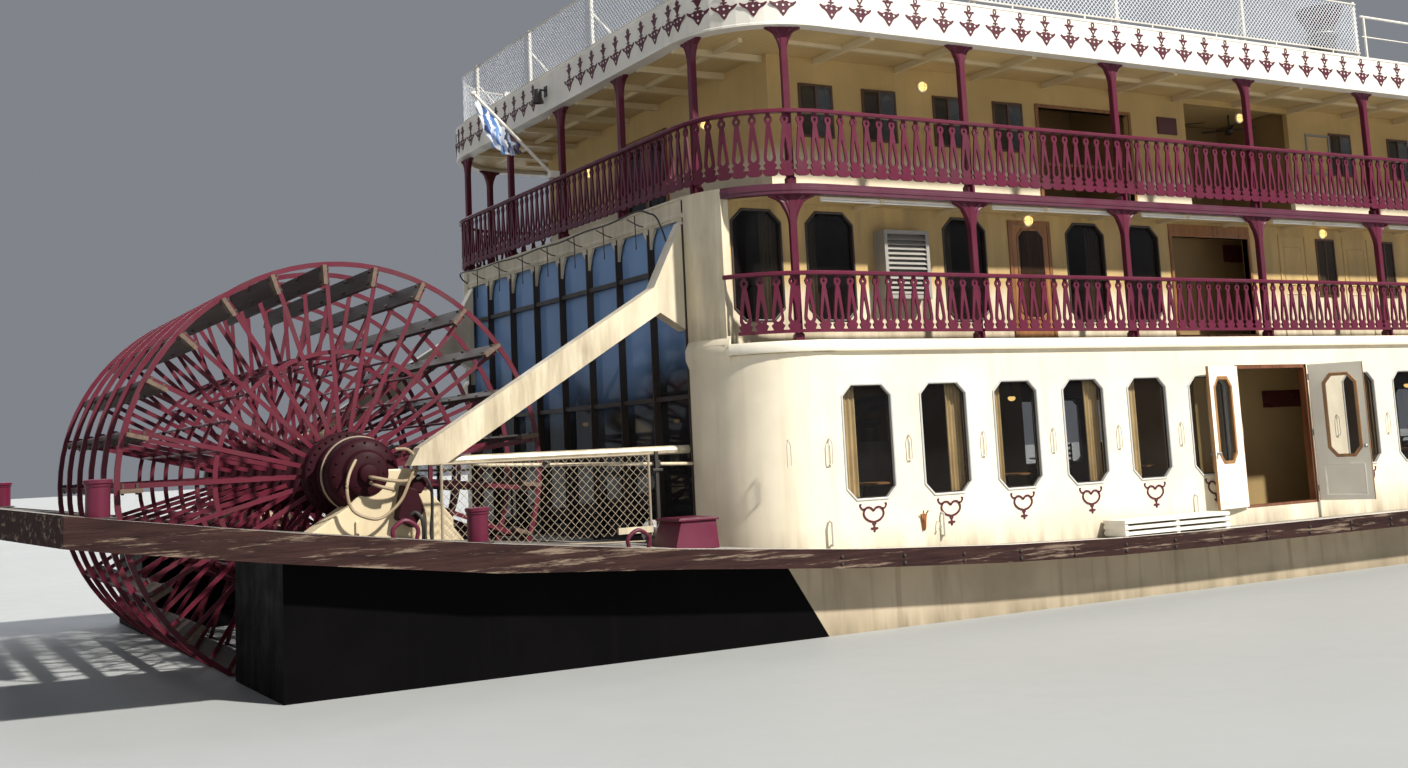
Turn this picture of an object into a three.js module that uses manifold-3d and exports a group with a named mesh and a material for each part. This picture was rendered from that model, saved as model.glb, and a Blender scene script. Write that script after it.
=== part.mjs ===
// Three-storey stern-wheel river passenger boat, scale model 1:2.
// X points to the bow, Y to port and Z up. The origin is on the centreline, amidships, at the level that the hull floats at.
// Every length below is in metres of the real ship; MODEL turns them into millimetres of the model.
import * as THREE from 'three';
import { mergeVertices } from 'three/addons/utils/BufferGeometryUtils.js';
import Module from 'manifold-3d';

const wasm = await Module();
wasm.setup();

const MODEL = 500;
const GAP = 0.0008;
const FAR = 40;

// Hull and main deck
const KEEL = -1.1;
const HULL_HALF = 6.85;
const DECK_HALF = 7.32;
const GUARD_HALF = 7.5;
const GUARD_STERN_HALF = 7.25;
const BOW_START = 10;
const STERN_TIP = -33.5;
const BOW_TIP = 33.5;
const TRANSOM = -24.1;
const SIDE_HULL_END = -29.8;
const SIDE_HULL_INNER = 4.05;
const DECK_THICK = 0.15;
const SHEER_LEVEL = 1.1;
const SHEER_AFT = -13.3;
const SHEER_FORE = 14;
const well = { aft: -31.75, fore: -24.35, half: 4.0 };

// House plan: straight sides, round stern corners, elliptical front
const HOUSE_AFT = -22.6;
const HOUSE_HALF = 6.85;
const CORNER = 1.75;
const FRONT_START = 14;
const FRONT_LENGTH = 6.5;
const CORNER_END = HOUSE_AFT + CORNER;
const GLASS_HALF = HOUSE_HALF - CORNER;
const GALLERY_TURN = 210;

// Levels above the floating level
const level = {
  deck2Under: 4.5, deck2: 4.685, rail2: 5.82,
  glassTop: 6.89, beam3: 7.1, deck3: 7.27, rail3: 8.52,
  fasciaLow: 9.94, sunUnder: 10.02, sunDeck: 10.2, fasciaTop: 10.7, screenTop: 12.0,
};
const CABIN_2_INSET = 1.0;
const CABIN_3_INSET = 2.0;
const WALL = 0.12;

// Gallery posts
const POST_FIRST = -21.386;
const POST_STEP = 3.699;
const POSTS_A_SIDE = 10;
const POST = 0.13;
const STERN_POST_STEP = 2.676;
const FRONT_POST_ANGLES = [-60, -30, 0, 30, 60];

// Paddle wheel
const wheel = {
  x: -28.01, z: 2.89, radius: 3.38, rim: 0.08, innerRing: 1.94, spokes: 25, phase: 180.28,
  rings: 6, half: 3.43, plate: 0.08, hub: 0.6, spoke: 0.07,
  bladeIn: 3.0, bladeOut: 3.32, bladeThick: 0.07, bladeOver: 0.2, shaft: 0.24,
};

const paint = (color, roughness = 0.5, metalness = 0) =>
  new THREE.MeshStandardMaterial({ color, roughness, metalness });
const cream = paint(0xe9dfc3, 0.55);
const white = paint(0xf4f1e8, 0.5);
const burgundy = paint(0x7a2440, 0.45);
const timber = paint(0x6e5148, 0.85);
const planking = paint(0xb9b6ad, 0.85);
const glass = paint(0x3f5568, 0.08);
const dark = paint(0x22211f, 0.6);
const black = paint(0x141414, 0.5);
const steel = paint(0x8a8c8e, 0.4, 0.6);
const brown = paint(0x6b3a20, 0.6);
const flagCloth = paint(0x26408a, 0.8);

const ship = new THREE.Group();

// Solids
function solid(geometry) {
  geometry.deleteAttribute('normal');
  geometry.deleteAttribute('uv');
  geometry.scale(MODEL, MODEL, MODEL);
  const merged = mergeVertices(geometry, 1e-3);
  const vertProperties = merged.attributes.position.array;
  const triVerts = Uint32Array.from(merged.index.array);
  return new wasm.Manifold(new wasm.Mesh({ numProp: 3, vertProperties, triVerts }));
}

function join(solids) {
  return solids.reduce((all, next) => all.add(next));
}

function add(name, shape, material) {
  const mesh = shape.getMesh();
  const geometry = new THREE.BufferGeometry();
  geometry.setAttribute('position', new THREE.BufferAttribute(mesh.vertProperties, 3));
  geometry.setIndex(new THREE.BufferAttribute(mesh.triVerts, 1));
  const piece = new THREE.Mesh(geometry, material);
  piece.name = name;
  ship.add(piece);
}

function outline(points, holes = []) {
  const toPath = (list, path) => {
    list.forEach(([u, v], i) => (i ? path.lineTo(u, v) : path.moveTo(u, v)));
    path.closePath();
    return path;
  };
  const shape = toPath(points, new THREE.Shape());
  shape.holes = holes.map((hole) => toPath(hole, new THREE.Path()));
  return shape;
}

function extruded(points, depth, holes) {
  return new THREE.ExtrudeGeometry(outline(points, holes), { depth, bevelEnabled: false });
}

// Prism over an outline of [x, y] between two heights
function upright(points, z0, z1, holes) {
  return solid(extruded(points, z1 - z0, holes).translate(0, 0, z0));
}

// Prism over an outline of [x, z] between two half-breadths
function across(points, y0, y1, holes) {
  return solid(extruded(points, y1 - y0, holes).rotateX(Math.PI / 2).translate(0, y1, 0));
}

// Prism over an outline of [y, z] between two stations
function along(points, x0, x1, holes) {
  const turn = new THREE.Matrix4().makeBasis(
    new THREE.Vector3(0, 1, 0), new THREE.Vector3(0, 0, 1), new THREE.Vector3(1, 0, 0));
  return solid(extruded(points, x1 - x0, holes).applyMatrix4(turn).translate(x0, 0, 0));
}

function box(x0, x1, y0, y1, z0, z1) {
  const geometry = new THREE.BoxGeometry(x1 - x0, y1 - y0, z1 - z0);
  return solid(geometry.translate((x0 + x1) / 2, (y0 + y1) / 2, (z0 + z1) / 2));
}

function rod(from, to, radius, sides = 10) {
  const a = new THREE.Vector3(...from);
  const b = new THREE.Vector3(...to);
  const geometry = new THREE.CylinderGeometry(radius, radius, a.distanceTo(b), sides);
  const turn = new THREE.Quaternion().setFromUnitVectors(
    new THREE.Vector3(0, 1, 0), b.clone().sub(a).normalize());
  geometry.applyQuaternion(turn);
  return solid(geometry.translate(...a.add(b).multiplyScalar(0.5).toArray()));
}

// Round piece about the vertical through [x, y], from a profile of [radius, z]
function turned(profile, x, y, sides = 16) {
  const points = profile.map(([r, z]) => new THREE.Vector2(r, z));
  return solid(new THREE.LatheGeometry(points, sides).rotateX(Math.PI / 2).translate(x, y, 0));
}

// Round piece about the wheel shaft, from a profile of [radius, y]
function turnedOnShaft(profile, sides = 18) {
  const points = profile.map(([r, y]) => new THREE.Vector2(r, y));
  return solid(new THREE.LatheGeometry(points, sides).translate(wheel.x, 0, wheel.z));
}

function mirrored(points) {
  return points.map(([u, v]) => [u, -v]).reverse();
}

function rectangle(u0, u1, v0, v1) {
  return [[u0, v0], [u1, v0], [u1, v1], [u0, v1]];
}

function arc(cx, cy, rx, ry, from, to, steps) {
  return Array.from({ length: steps + 1 }, (_, i) => {
    const a = THREE.MathUtils.degToRad(from + ((to - from) * i) / steps);
    return [cx + rx * Math.cos(a), cy + ry * Math.sin(a)];
  });
}

// Sheer: the deck edge rises towards both ends
function deckTop(x) {
  const aft = Math.min(x - SHEER_AFT, 0);
  const fore = Math.max(x - SHEER_FORE, 0);
  return SHEER_LEVEL + 0.004 * aft * aft + 0.003 * fore * fore;
}

const sheerStations = [-34, -32, -29.8, -27, -24.1, -21, -18, -15.5, -13.3, 14, 18, 22, 25, 28, 31, 34];

function sheerSlab(low, high) {
  const top = sheerStations.map((x) => [x, deckTop(x) + high(x)]);
  const bottom = sheerStations.map((x) => [x, deckTop(x) + low(x)]).reverse();
  return across([...bottom.reverse(), ...top.reverse()], -9, 9);
}

const belowDeck = sheerSlab(() => -12, () => GAP);
const standing = (shape) => shape.subtract(belowDeck);

// Plan of the hull, deck or guard: full breadth to BOW_START, then a bluff bow
const bowStations = [10, 14, 18, 22, 25, 27.5, 29.5, 31, 32.2, 33];

function breadth(x, half, tip) {
  const t = Math.max(x - BOW_START, 0) / (tip - BOW_START);
  return half * Math.pow(Math.max(1 - Math.pow(t, 2.5), 0), 0.625);
}

function planOutline(half, sternHalf, aft, tip) {
  const side = [
    [STERN_TIP + aft, 0], [STERN_TIP + aft + 0.2, sternHalf * 0.5],
    [STERN_TIP + aft + 1.0, sternHalf], [TRANSOM, half],
    ...bowStations.map((x) => [x, breadth(x, half, tip)]), [tip, 0],
  ];
  return [...mirrored(side).reverse(), ...side.slice(1, -1).reverse()];
}

// Hull
const hullSections = [
  // x, keel height
  [TRANSOM, KEEL], [10, KEEL], [15, KEEL], [20, KEEL], [24, KEEL], [27, -0.93], [29.5, -0.52],
  [31.3, -0.1], [32.4, 0.2], [33.1, 0.42],
];

function loft(sections) {
  const count = sections[0].length;
  const index = [];
  for (let i = 0; i + 1 < sections.length; i++) {
    for (let j = 0; j < count; j++) {
      const k = (j + 1) % count;
      const [a, b, c, d] = [i * count + j, i * count + k, (i + 1) * count + k, (i + 1) * count + j];
      index.push(a, b, c, a, c, d);
    }
  }
  const last = (sections.length - 1) * count;
  for (let j = 1; j + 1 < count; j++) {
    index.push(0, j + 1, j, last, last + j, last + j + 1);
  }
  const geometry = new THREE.BufferGeometry();
  geometry.setAttribute('position', new THREE.Float32BufferAttribute(sections.flat(2), 3));
  geometry.setIndex(index);
  return solid(geometry);
}

function hullSection([x, keel]) {
  const b = breadth(x, HULL_HALF, 33.25);
  const bilge = Math.min(0.45, b * 0.5);
  return [
    [x, -(b - bilge), keel], [x, b - bilge, keel], [x, b, keel + bilge * 0.8], [x, b, 4],
    [x, -b, 4], [x, -b, keel + bilge * 0.8],
  ];
}

const hullTop = sheerSlab(() => -12, () => -DECK_THICK - GAP);
const sideHull = [
  [SIDE_HULL_END, -0.35], [SIDE_HULL_END + 3, KEEL], [TRANSOM + 0.1, KEEL], [TRANSOM + 0.1, 4],
  [SIDE_HULL_END, 4],
];
const rudder = { x: -23.0, y: 2.1, stock: 0.07, bore: 0.082, fore: 0.5, aft: 0.9, top: 0.05, foot: -1.0 };
const tunnel = [[-18.8, KEEL - 0.1], [-19, KEEL], [-22.2, 0.15], [-24.2, 0.25], [-24.2, KEEL - 0.1]];
const rudderBores = join([-1, 1].map((side) =>
  rod([rudder.x, side * rudder.y, 0], [rudder.x, side * rudder.y, 3], rudder.bore, 16)));

let hull = loft(hullSections.map(hullSection));
hull = join([hull, across(sideHull, -HULL_HALF, -SIDE_HULL_INNER),
  across(sideHull, SIDE_HULL_INNER, HULL_HALF)]);
hull = hull.intersect(hullTop).subtract(across(tunnel, -SIDE_HULL_INNER, SIDE_HULL_INNER));
add('hull', hull.subtract(rudderBores), cream);

// Main deck, stern deck round the wheel well, and the timber guard along their edge
const deckPlan = upright(planOutline(DECK_HALF, GUARD_STERN_HALF - 0.18, 0.18, 33.3), -1, 4);
const deckSlab = deckPlan.intersect(sheerSlab(() => -DECK_THICK, () => 0));
const bollard = { radius: 0.14, high: 0.48 };

function bollardAt(x, y) {
  const z = deckTop(x);
  return turned([[0, z - 0.1], [bollard.radius, z - 0.1], [bollard.radius, z + bollard.high - 0.06],
    [bollard.radius + 0.03, z + bollard.high], [0, z + bollard.high]], x, y, 12);
}

const landing = { aft: 24.6, hinge: 31.6, half: 0.6, thick: 0.1, lift: 0.4, pin: 0.05 };
const hingeZ = deckTop(landing.hinge) + landing.lift;
const hingeLugs = [-1, 1].map((side) => {
  const y = side * (landing.half + 0.09);
  return box(landing.hinge - 0.12, landing.hinge + 0.12, y - 0.05, y + 0.05, deckTop(landing.hinge) - 0.1,
    hingeZ + 0.12);
});

const foreDeck = join([
  deckSlab.intersect(box(TRANSOM + GAP, FAR, -9, 9, -2, 5)),
  bollardAt(26, 3.6), bollardAt(26, -3.6), ...hingeLugs,
]);
add('main_deck', foreDeck.subtract(rudderBores), planking);

const sternDeck = join([
  deckSlab.intersect(box(-FAR, TRANSOM - GAP, -9, 9, -2, 5)),
  ...[-1, 1].flatMap((side) => [bollardAt(-32.05, side * 6.75), bollardAt(-27.05, side * 6.75)]),
]).subtract(box(well.aft, well.fore, -well.half, well.half, -2, 5));
add('stern_deck', sternDeck, planking);

const guardDepth = (x) => (x < TRANSOM ? -0.38 : -0.27);
const guardInside = join([[GAP, 0], [-GAP, 0], [0, GAP], [0, -GAP]].map(([dx, dy]) =>
  deckPlan.translate([dx * MODEL, dy * MODEL, 0])));
const guardRing = upright(planOutline(GUARD_HALF, GUARD_STERN_HALF, 0, BOW_TIP), -0.9, 3.9)
  .subtract(guardInside).intersect(sheerSlab(guardDepth, () => 0.02));
add('guard_starboard', guardRing.intersect(box(-FAR, FAR, -9, -GAP, -2, 5)), timber);
add('guard_port', guardRing.intersect(box(-FAR, FAR, GAP, 9, -2, 5)), timber);

// Plan runs of the house at a distance inside its outer face
function planRun(run, inset) {
  const half = HOUSE_HALF - inset;
  const corner = Math.max(CORNER - inset, 0.05);
  const cornerX = HOUSE_AFT + inset + corner;
  const runs = {
    starboard: () => [[CORNER_END + GAP, -half], [FRONT_START - GAP, -half]],
    front: () => arc(FRONT_START, 0, FRONT_LENGTH - inset, half, -90, 90, 12),
    port: () => [[FRONT_START - GAP, half], [CORNER_END + GAP, half]],
    sternPort: () => arc(cornerX, half - corner, corner, corner, 90, 180, 6),
    sternStarboard: () => arc(cornerX, -(half - corner), corner, corner, 180, 270, 6),
    gallery: () => [
      ...arc(cornerX, -(half - corner), corner, corner, GALLERY_TURN, 270, 4),
      [FRONT_START - GAP, -half],
    ],
    panel: () => [
      [cornerX - corner, -(half - corner) + 0.05],
      ...arc(cornerX, -(half - corner), corner, corner, 180, GALLERY_TURN - 0.05, 2),
    ],
  };
  if (run === 'stern') return [...runs.sternPort(), ...runs.sternStarboard()];
  return runs[run]();
}

function strip(run, outer, inner, z0, z1) {
  return upright([...planRun(run, outer), ...planRun(run, inner).reverse()], z0, z1);
}

function mirror(shape) {
  return shape.mirror([0, 1, 0]);
}

function slab(inset, z0, z1) {
  const loop = ['starboard', 'front', 'port', 'stern'].flatMap((run) => planRun(run, inset));
  return upright(loop, z0, z1);
}

// Windows with cut corners, drawn on [x, z] round their middle
const houseWindow = { half: 0.49, low: 2.09, high: 3.945, cut: 0.18 };
const galleryWindow = { half: 0.48, low: 5.1, high: 6.96, cut: 0.2 };

function octagon(x, { half, low, high, cut }) {
  return [[x - half + cut, low], [x + half - cut, low], [x + half, low + cut], [x + half, high - cut],
    [x + half - cut, high], [x - half + cut, high], [x - half, high - cut], [x - half, low + cut]];
}

function windowCuts(places, size, outer, inner) {
  return join(places.map((x) => across(octagon(x, size), outer, inner)));
}

const HOUSE_WINDOW_STEP = 1.594;
const houseWindows = [
  ...Array.from({ length: 6 }, (_, i) => -20.281 + i * HOUSE_WINDOW_STEP),
  ...Array.from({ length: 14 }, (_, i) => -7.87 + i * HOUSE_WINDOW_STEP),
];

// Main deck house with a double doorway on each side
const doorway = { aft: -11.5, fore: -9.44, low: 1.42, high: 4.13 };
const houseTop = level.deck2Under - GAP;
const sideWall = join([
  strip('starboard', 0, WALL, 0.5, houseTop),
  upright([...arc(CORNER_END, -GLASS_HALF, CORNER, CORNER, 182, 270, 5), [CORNER_END + 0.1, -HOUSE_HALF],
    [CORNER_END + 0.1, -HOUSE_HALF + WALL],
    ...arc(CORNER_END, -GLASS_HALF, CORNER - WALL, CORNER - WALL, 182, 270, 5).reverse()], 0.5, houseTop),
]).subtract(box(doorway.aft, doorway.fore, -8, -6, doorway.low, doorway.high))
  .subtract(windowCuts(houseWindows, houseWindow, -8, -6));
add('deckhouse_starboard', standing(sideWall), cream);
add('deckhouse_port', standing(mirror(sideWall)), cream);
const frontDoor = box(19, 22, -0.9, 0.9, 1.5, 3.9);
const frontWindows = join([-50, -28, 28, 50].map((angle) =>
  across(octagon(0, houseWindow), 5, 8).rotate([0, 0, angle - 90]).translate([FRONT_START * MODEL, 0, 0])));
add('deckhouse_front', standing(strip('front', 0, WALL, 0.5, houseTop).subtract(frontDoor)
  .subtract(frontWindows)), cream);

// Two-storey glass wall across the stern
const PANES = 8;
const MULLION = 0.07;
const paneStep = (2 * GLASS_HALF) / PANES;
const frameIn = HOUSE_AFT + 0.1;
const mullions = Array.from({ length: PANES + 1 }, (_, i) => {
  const y = Math.max(-GLASS_HALF + MULLION / 2, Math.min(-GLASS_HALF + i * paneStep, GLASS_HALF - MULLION / 2));
  return box(HOUSE_AFT, frameIn, y - MULLION / 2, y + MULLION / 2, 1, level.glassTop + 0.05);
});
const transoms = [1.5, 3.9, 6.1].map((z) =>
  box(HOUSE_AFT, frameIn, -GLASS_HALF, GLASS_HALF, z - 0.04, z + 0.04));
const cornerPanel = strip('panel', 0, WALL, level.deck2 + GAP, level.deck3);
const sternBand = box(HOUSE_AFT, HOUSE_AFT + WALL, -GLASS_HALF, GLASS_HALF, level.glassTop, level.deck3);
add('stern_frame',
  standing(join([...mullions, ...transoms, sternBand, cornerPanel, mirror(cornerPanel)])), dark);
add('stern_glass', standing(box(frameIn + GAP, frameIn + 0.05, -GLASS_HALF + 0.06, GLASS_HALF - 0.06, 1,
  level.glassTop - GAP)), glass);

// Decks
const sternNotch = box(-FAR, frameIn + 0.05 + GAP, -GLASS_HALF - 0.06, GLASS_HALF + 0.06, 4, 5);
add('deck_2', slab(-0.07, level.deck2Under, level.deck2).subtract(sternNotch), cream);
add('deck_3', slab(0.2 + GAP, level.beam3, level.deck3), cream);
add('sun_deck', slab(2 * GAP, level.sunUnder + GAP, level.sunDeck), planking);

// Cabins behind the galleries. A lobby parts the lower cabin's side walls: the aft pieces end at it, and the
// fore ones run on into the rounded front
const CABIN_2_HALF = HOUSE_HALF - CABIN_2_INSET;
const CABIN_3_HALF = HOUSE_HALF - CABIN_3_INSET;
const CABIN_2_AFT = -22.25;
const CABIN_3_AFT = -20.6;

function cabinSide(aft, half, z0, z1, openings) {
  const holes = openings.map(([x0, x1, top]) => box(x0, x1, -half - 1, -half + 1, z0 + 0.12, top));
  return box(aft, FRONT_START - GAP, -half, -half + WALL, z0, z1).subtract(join(holes));
}

const galleryWindows = [-21.62, -20.13, -17.15, -14.17, -12.7];
const lobby = { aft: -11.83, fore: -9.61 };
const cabin2Wall = (aft, fore) => box(aft, fore, -CABIN_2_HALF, -CABIN_2_HALF + WALL,
  level.deck2 + GAP, level.beam3 - GAP);
const cabin2Aft = cabin2Wall(CABIN_2_AFT, lobby.aft)
  .subtract(windowCuts(galleryWindows, galleryWindow, -CABIN_2_HALF - 1, -CABIN_2_HALF + 1));
const cabin2Fore = cabin2Wall(lobby.fore, FRONT_START + 0.05);
const cabin3 = cabinSide(CABIN_3_AFT + WALL + GAP, CABIN_3_HALF, level.deck3 + GAP, level.sunUnder,
  [[-14.2, -11.7, 9.5], [-10.0, -6.7, 9.9]]);
add('cabin_2_starboard', cabin2Aft, cream);
add('cabin_2_port', mirror(cabin2Aft), cream);
add('cabin_2_front', join([cabin2Fore, mirror(cabin2Fore),
  strip('front', CABIN_2_INSET, CABIN_2_INSET + WALL, level.deck2 + GAP, level.beam3 - GAP)])
  .subtract(box(18, 21, -0.5, 0.5, level.deck2 + 0.12, 6.75)), cream);
add('cabin_3_starboard', cabin3, cream);
add('cabin_3_port', mirror(cabin3), cream);
add('cabin_3_front', strip('front', CABIN_3_INSET, CABIN_3_INSET + WALL, level.deck3 + GAP, level.sunUnder),
  cream);
add('cabin_3_aft', box(CABIN_3_AFT, CABIN_3_AFT + WALL, -CABIN_3_HALF, CABIN_3_HALF,
  level.deck3 + GAP, level.sunUnder)
  .subtract(box(-21, -20, -0.95, 0.95, level.deck3 + 0.12, 9.4)), cream);

// Gallery posts with flared capitals, heading along the edge that they carry
const capital = [[-0.4, 0], [-0.17, -0.14], [-0.065, -0.5], [0.065, -0.5], [0.17, -0.14], [0.4, 0]];

function post(x, y, heading, z0, z1) {
  const turn = THREE.MathUtils.degToRad(heading);
  const shaft = new THREE.BoxGeometry(POST, POST, z1 - z0).translate(0, 0, (z0 + z1) / 2 - z1);
  const head = extruded(capital, 0.1).rotateX(Math.PI / 2).translate(0, 0.05, 0);
  return join([shaft, head].map((part) => solid(part.rotateZ(turn).translate(x, y, z1))));
}

const POST_LINE = 0.07 + POST / 2;

// The outer two of the five stern posts stand where the corners begin to turn
const sternPostPlaces = [-2, -1, 0, 1, 2].map((i) =>
  [HOUSE_AFT + (Math.abs(i) === 2 ? 0.033 : 0), i * STERN_POST_STEP]);

function sidePosts(z0, z1) {
  return Array.from({ length: POSTS_A_SIDE }, (_, i) => {
    const x = POST_FIRST + i * POST_STEP;
    const lean = Math.min(x - CORNER_END, 0) / (CORNER - POST_LINE);
    const bend = (CORNER - POST_LINE) * (1 - Math.sqrt(1 - lean * lean));
    return post(x, -(HOUSE_HALF - POST_LINE) + bend, lean * 57, z0, z1);
  });
}

function frontPosts(z0, z1) {
  return FRONT_POST_ANGLES.map((angle) => {
    const a = THREE.MathUtils.degToRad(angle);
    const rx = FRONT_LENGTH - POST_LINE;
    const ry = HOUSE_HALF - POST_LINE;
    const heading = THREE.MathUtils.radToDeg(Math.atan2(ry * Math.cos(a), -rx * Math.sin(a)));
    return post(FRONT_START + rx * Math.cos(a), ry * Math.sin(a), heading, z0, z1);
  });
}

const beamSide = join([strip('gallery', 0, 0.2, level.beam3, level.deck3),
  ...sidePosts(level.deck2 + GAP, level.beam3 + 0.02)]);
add('posts_2_starboard', beamSide, burgundy);
add('posts_2_port', mirror(beamSide), burgundy);
add('posts_2_front', join([strip('front', 0, 0.2, level.beam3, level.deck3),
  ...frontPosts(level.deck2 + GAP, level.beam3 + 0.02)]), burgundy);

// Fascia round the roof edge, with the header and the upper posts that carry it
const FASCIA = 0.07;

function fascia(run, posts) {
  return join([strip(run, -FASCIA, -GAP, level.fasciaLow, level.fasciaTop),
    strip(run, -0.01, 0.2, level.fasciaLow, level.sunUnder), ...posts]);
}

const upperPosts = [level.deck3 + GAP, level.fasciaLow + 0.02];
const fasciaSide = fascia('starboard', sidePosts(...upperPosts).slice(1));
add('fascia_starboard', fasciaSide, white);
add('fascia_port', mirror(fasciaSide), white);
const sternPosts = sternPostPlaces.map(([x, y]) => post(x + POST_LINE, y, 90, ...upperPosts));
const cornerPost = sidePosts(...upperPosts)[0];
add('fascia_stern', fascia('stern', [...sternPosts, cornerPost, mirror(cornerPost)]), white);
add('fascia_front', fascia('front', frontPosts(...upperPosts)), white);

// Gallery railings: handrail, panel of flat balusters and feet
const RAIL = { gapUnder: 0.13, hand: 0.07, handOut: -0.06, handIn: 0.05, panel: 0.045 };

function railing(run, floor, top, feet) {
  const low = floor + RAIL.gapUnder;
  return join([strip(run, 0, RAIL.panel, low, top - RAIL.hand / 2),
    strip(run, RAIL.handOut, RAIL.handIn, top - RAIL.hand, top), ...feet]);
}

function foot(x, y, floor) {
  return box(x - 0.02, x + 0.02, y - 0.02, y + 0.02, floor + GAP, floor + RAIL.gapUnder + 0.1);
}

function sideFeet(floor) {
  return Array.from({ length: POSTS_A_SIDE - 1 }, (_, i) =>
    foot(POST_FIRST + (i + 1) * POST_STEP, -HOUSE_HALF + RAIL.panel / 2, floor));
}

function frontFeet(floor) {
  return FRONT_POST_ANGLES.map((angle) => {
    const a = THREE.MathUtils.degToRad(angle);
    return foot(FRONT_START + (FRONT_LENGTH - 0.0225) * Math.cos(a), (HOUSE_HALF - 0.0225) * Math.sin(a), floor);
  });
}

const rail2 = railing('gallery', level.deck2, level.rail2, sideFeet(level.deck2));
const rail3 = railing('starboard', level.deck3, level.rail3, sideFeet(level.deck3));
add('rail_2_starboard', rail2, burgundy);
add('rail_2_port', mirror(rail2), burgundy);
add('rail_2_front', railing('front', level.deck2, level.rail2, frontFeet(level.deck2)), burgundy);
add('rail_3_starboard', rail3, burgundy);
add('rail_3_port', mirror(rail3), burgundy);
add('rail_3_stern', railing('stern', level.deck3, level.rail3, sternPostPlaces.map(([x, y]) =>
  foot(x + RAIL.panel / 2, y, level.deck3))), burgundy);
add('rail_3_front', railing('front', level.deck3, level.rail3, frontFeet(level.deck3)), burgundy);

// Lattice screen round the after part of the sun deck
const SCREEN_FORE = -6.5;
const screenFloor = level.sunDeck + GAP;
const screenSide = across(rectangle(CORNER_END, SCREEN_FORE, screenFloor, level.screenTop),
  -HOUSE_HALF + 0.1, -HOUSE_HALF + 0.14);
add('sun_deck_screen', join([strip('stern', 0.1, 0.14, screenFloor, level.screenTop),
  screenSide, mirror(screenSide)]), white);

// Wheelhouse
const house = { aft: 8.4, fore: 12.6, half: 2.3, wall: 0.08, roof: 12.55, roofThick: 0.14, over: 0.4 };
const houseDoor = { aft: 8.75, fore: 9.55, low: 10.32, high: 12.3 };
const sight = { low: 11.2, high: 12.3 };
const room = box(house.aft, house.fore, -house.half, house.half, screenFloor, house.roof)
  .subtract(box(house.aft + house.wall, house.fore - house.wall, -house.half + house.wall,
    house.half - house.wall, screenFloor - 1, house.roof + 1));
const sights = join([
  ...[-1.55, 0, 1.55].map((y) => box(house.fore - 0.5, FAR, y - 0.65, y + 0.65, sight.low, sight.high)),
  ...[9.95, 11.25].map((x) => box(x, x + 1.1, -9, 9, sight.low, sight.high)),
  box(house.aft - 1, house.aft + 0.5, -1.4, 1.4, sight.low, sight.high),
  box(houseDoor.aft, houseDoor.fore, -9, 9, houseDoor.low, houseDoor.high),
]);
add('wheelhouse', room.subtract(sights), cream);
const roofEdge = house.half + house.over;
const roofLow = house.roof + GAP;
const mast = { x: 12.2, foot: 12.95, high: 2.6, radius: 0.06 };
const mastLugs = [-1, 1].map((side) => box(mast.x - 0.1, mast.x + 0.1, side * 0.13 - 0.03, side * 0.13 + 0.03,
  house.roof + 0.1, mast.foot + 0.12));
add('wheelhouse_roof', join([along([[-roofEdge, roofLow], [roofEdge, roofLow],
  [roofEdge, roofLow + 0.1], [roofEdge * 0.5, roofLow + 0.22], [-roofEdge * 0.5, roofLow + 0.22],
  [-roofEdge, roofLow + 0.1]], house.aft - house.over, house.fore + house.over), ...mastLugs]), burgundy);
const CLEAR = 0.012;
const roomDoor = across(rectangle(houseDoor.aft + CLEAR, houseDoor.fore - CLEAR, houseDoor.low + CLEAR,
  houseDoor.high - CLEAR), -house.half - 0.02, -house.half + 0.03,
[rectangle(houseDoor.aft + 0.15, houseDoor.fore - 0.15, 11.3, 12.15)]);
add('wheelhouse_door_starboard', roomDoor, brown);
add('wheelhouse_door_port', mirror(roomDoor), brown);

// Folding signal mast
add('signal_mast', join([
  box(mast.x - 0.07, mast.x + 0.07, -0.088, 0.088, mast.foot - 0.09, mast.foot + 0.3),
  rod([mast.x, 0, mast.foot + 0.2], [mast.x, 0, mast.foot + mast.high], mast.radius),
  rod([mast.x, -0.9, mast.foot + 1.7], [mast.x, 0.9, mast.foot + 1.7], 0.035, 8),
]), white);

// Funnels with crowned tops
const funnel = { x: 5.2, y: 2.9, radius: 0.42, top: 15.8, crown: 0.72 };

function funnelAt(side) {
  const { radius, top, crown } = funnel;
  return turned([[0, screenFloor], [radius + 0.14, screenFloor], [radius + 0.14, screenFloor + 0.15],
    [radius, screenFloor + 0.3], [radius, top - 1.0], [radius + 0.08, top - 0.95], [radius + 0.08, top - 0.85],
    [radius, top - 0.8], [radius, top - 0.6], [crown, top], [crown - 0.06, top], [radius - 0.05, top - 0.45],
    [0, top - 0.45]], funnel.x, side * funnel.y, 16);
}

add('funnel_starboard', funnelAt(-1), black);
add('funnel_port', funnelAt(1), black);

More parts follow.
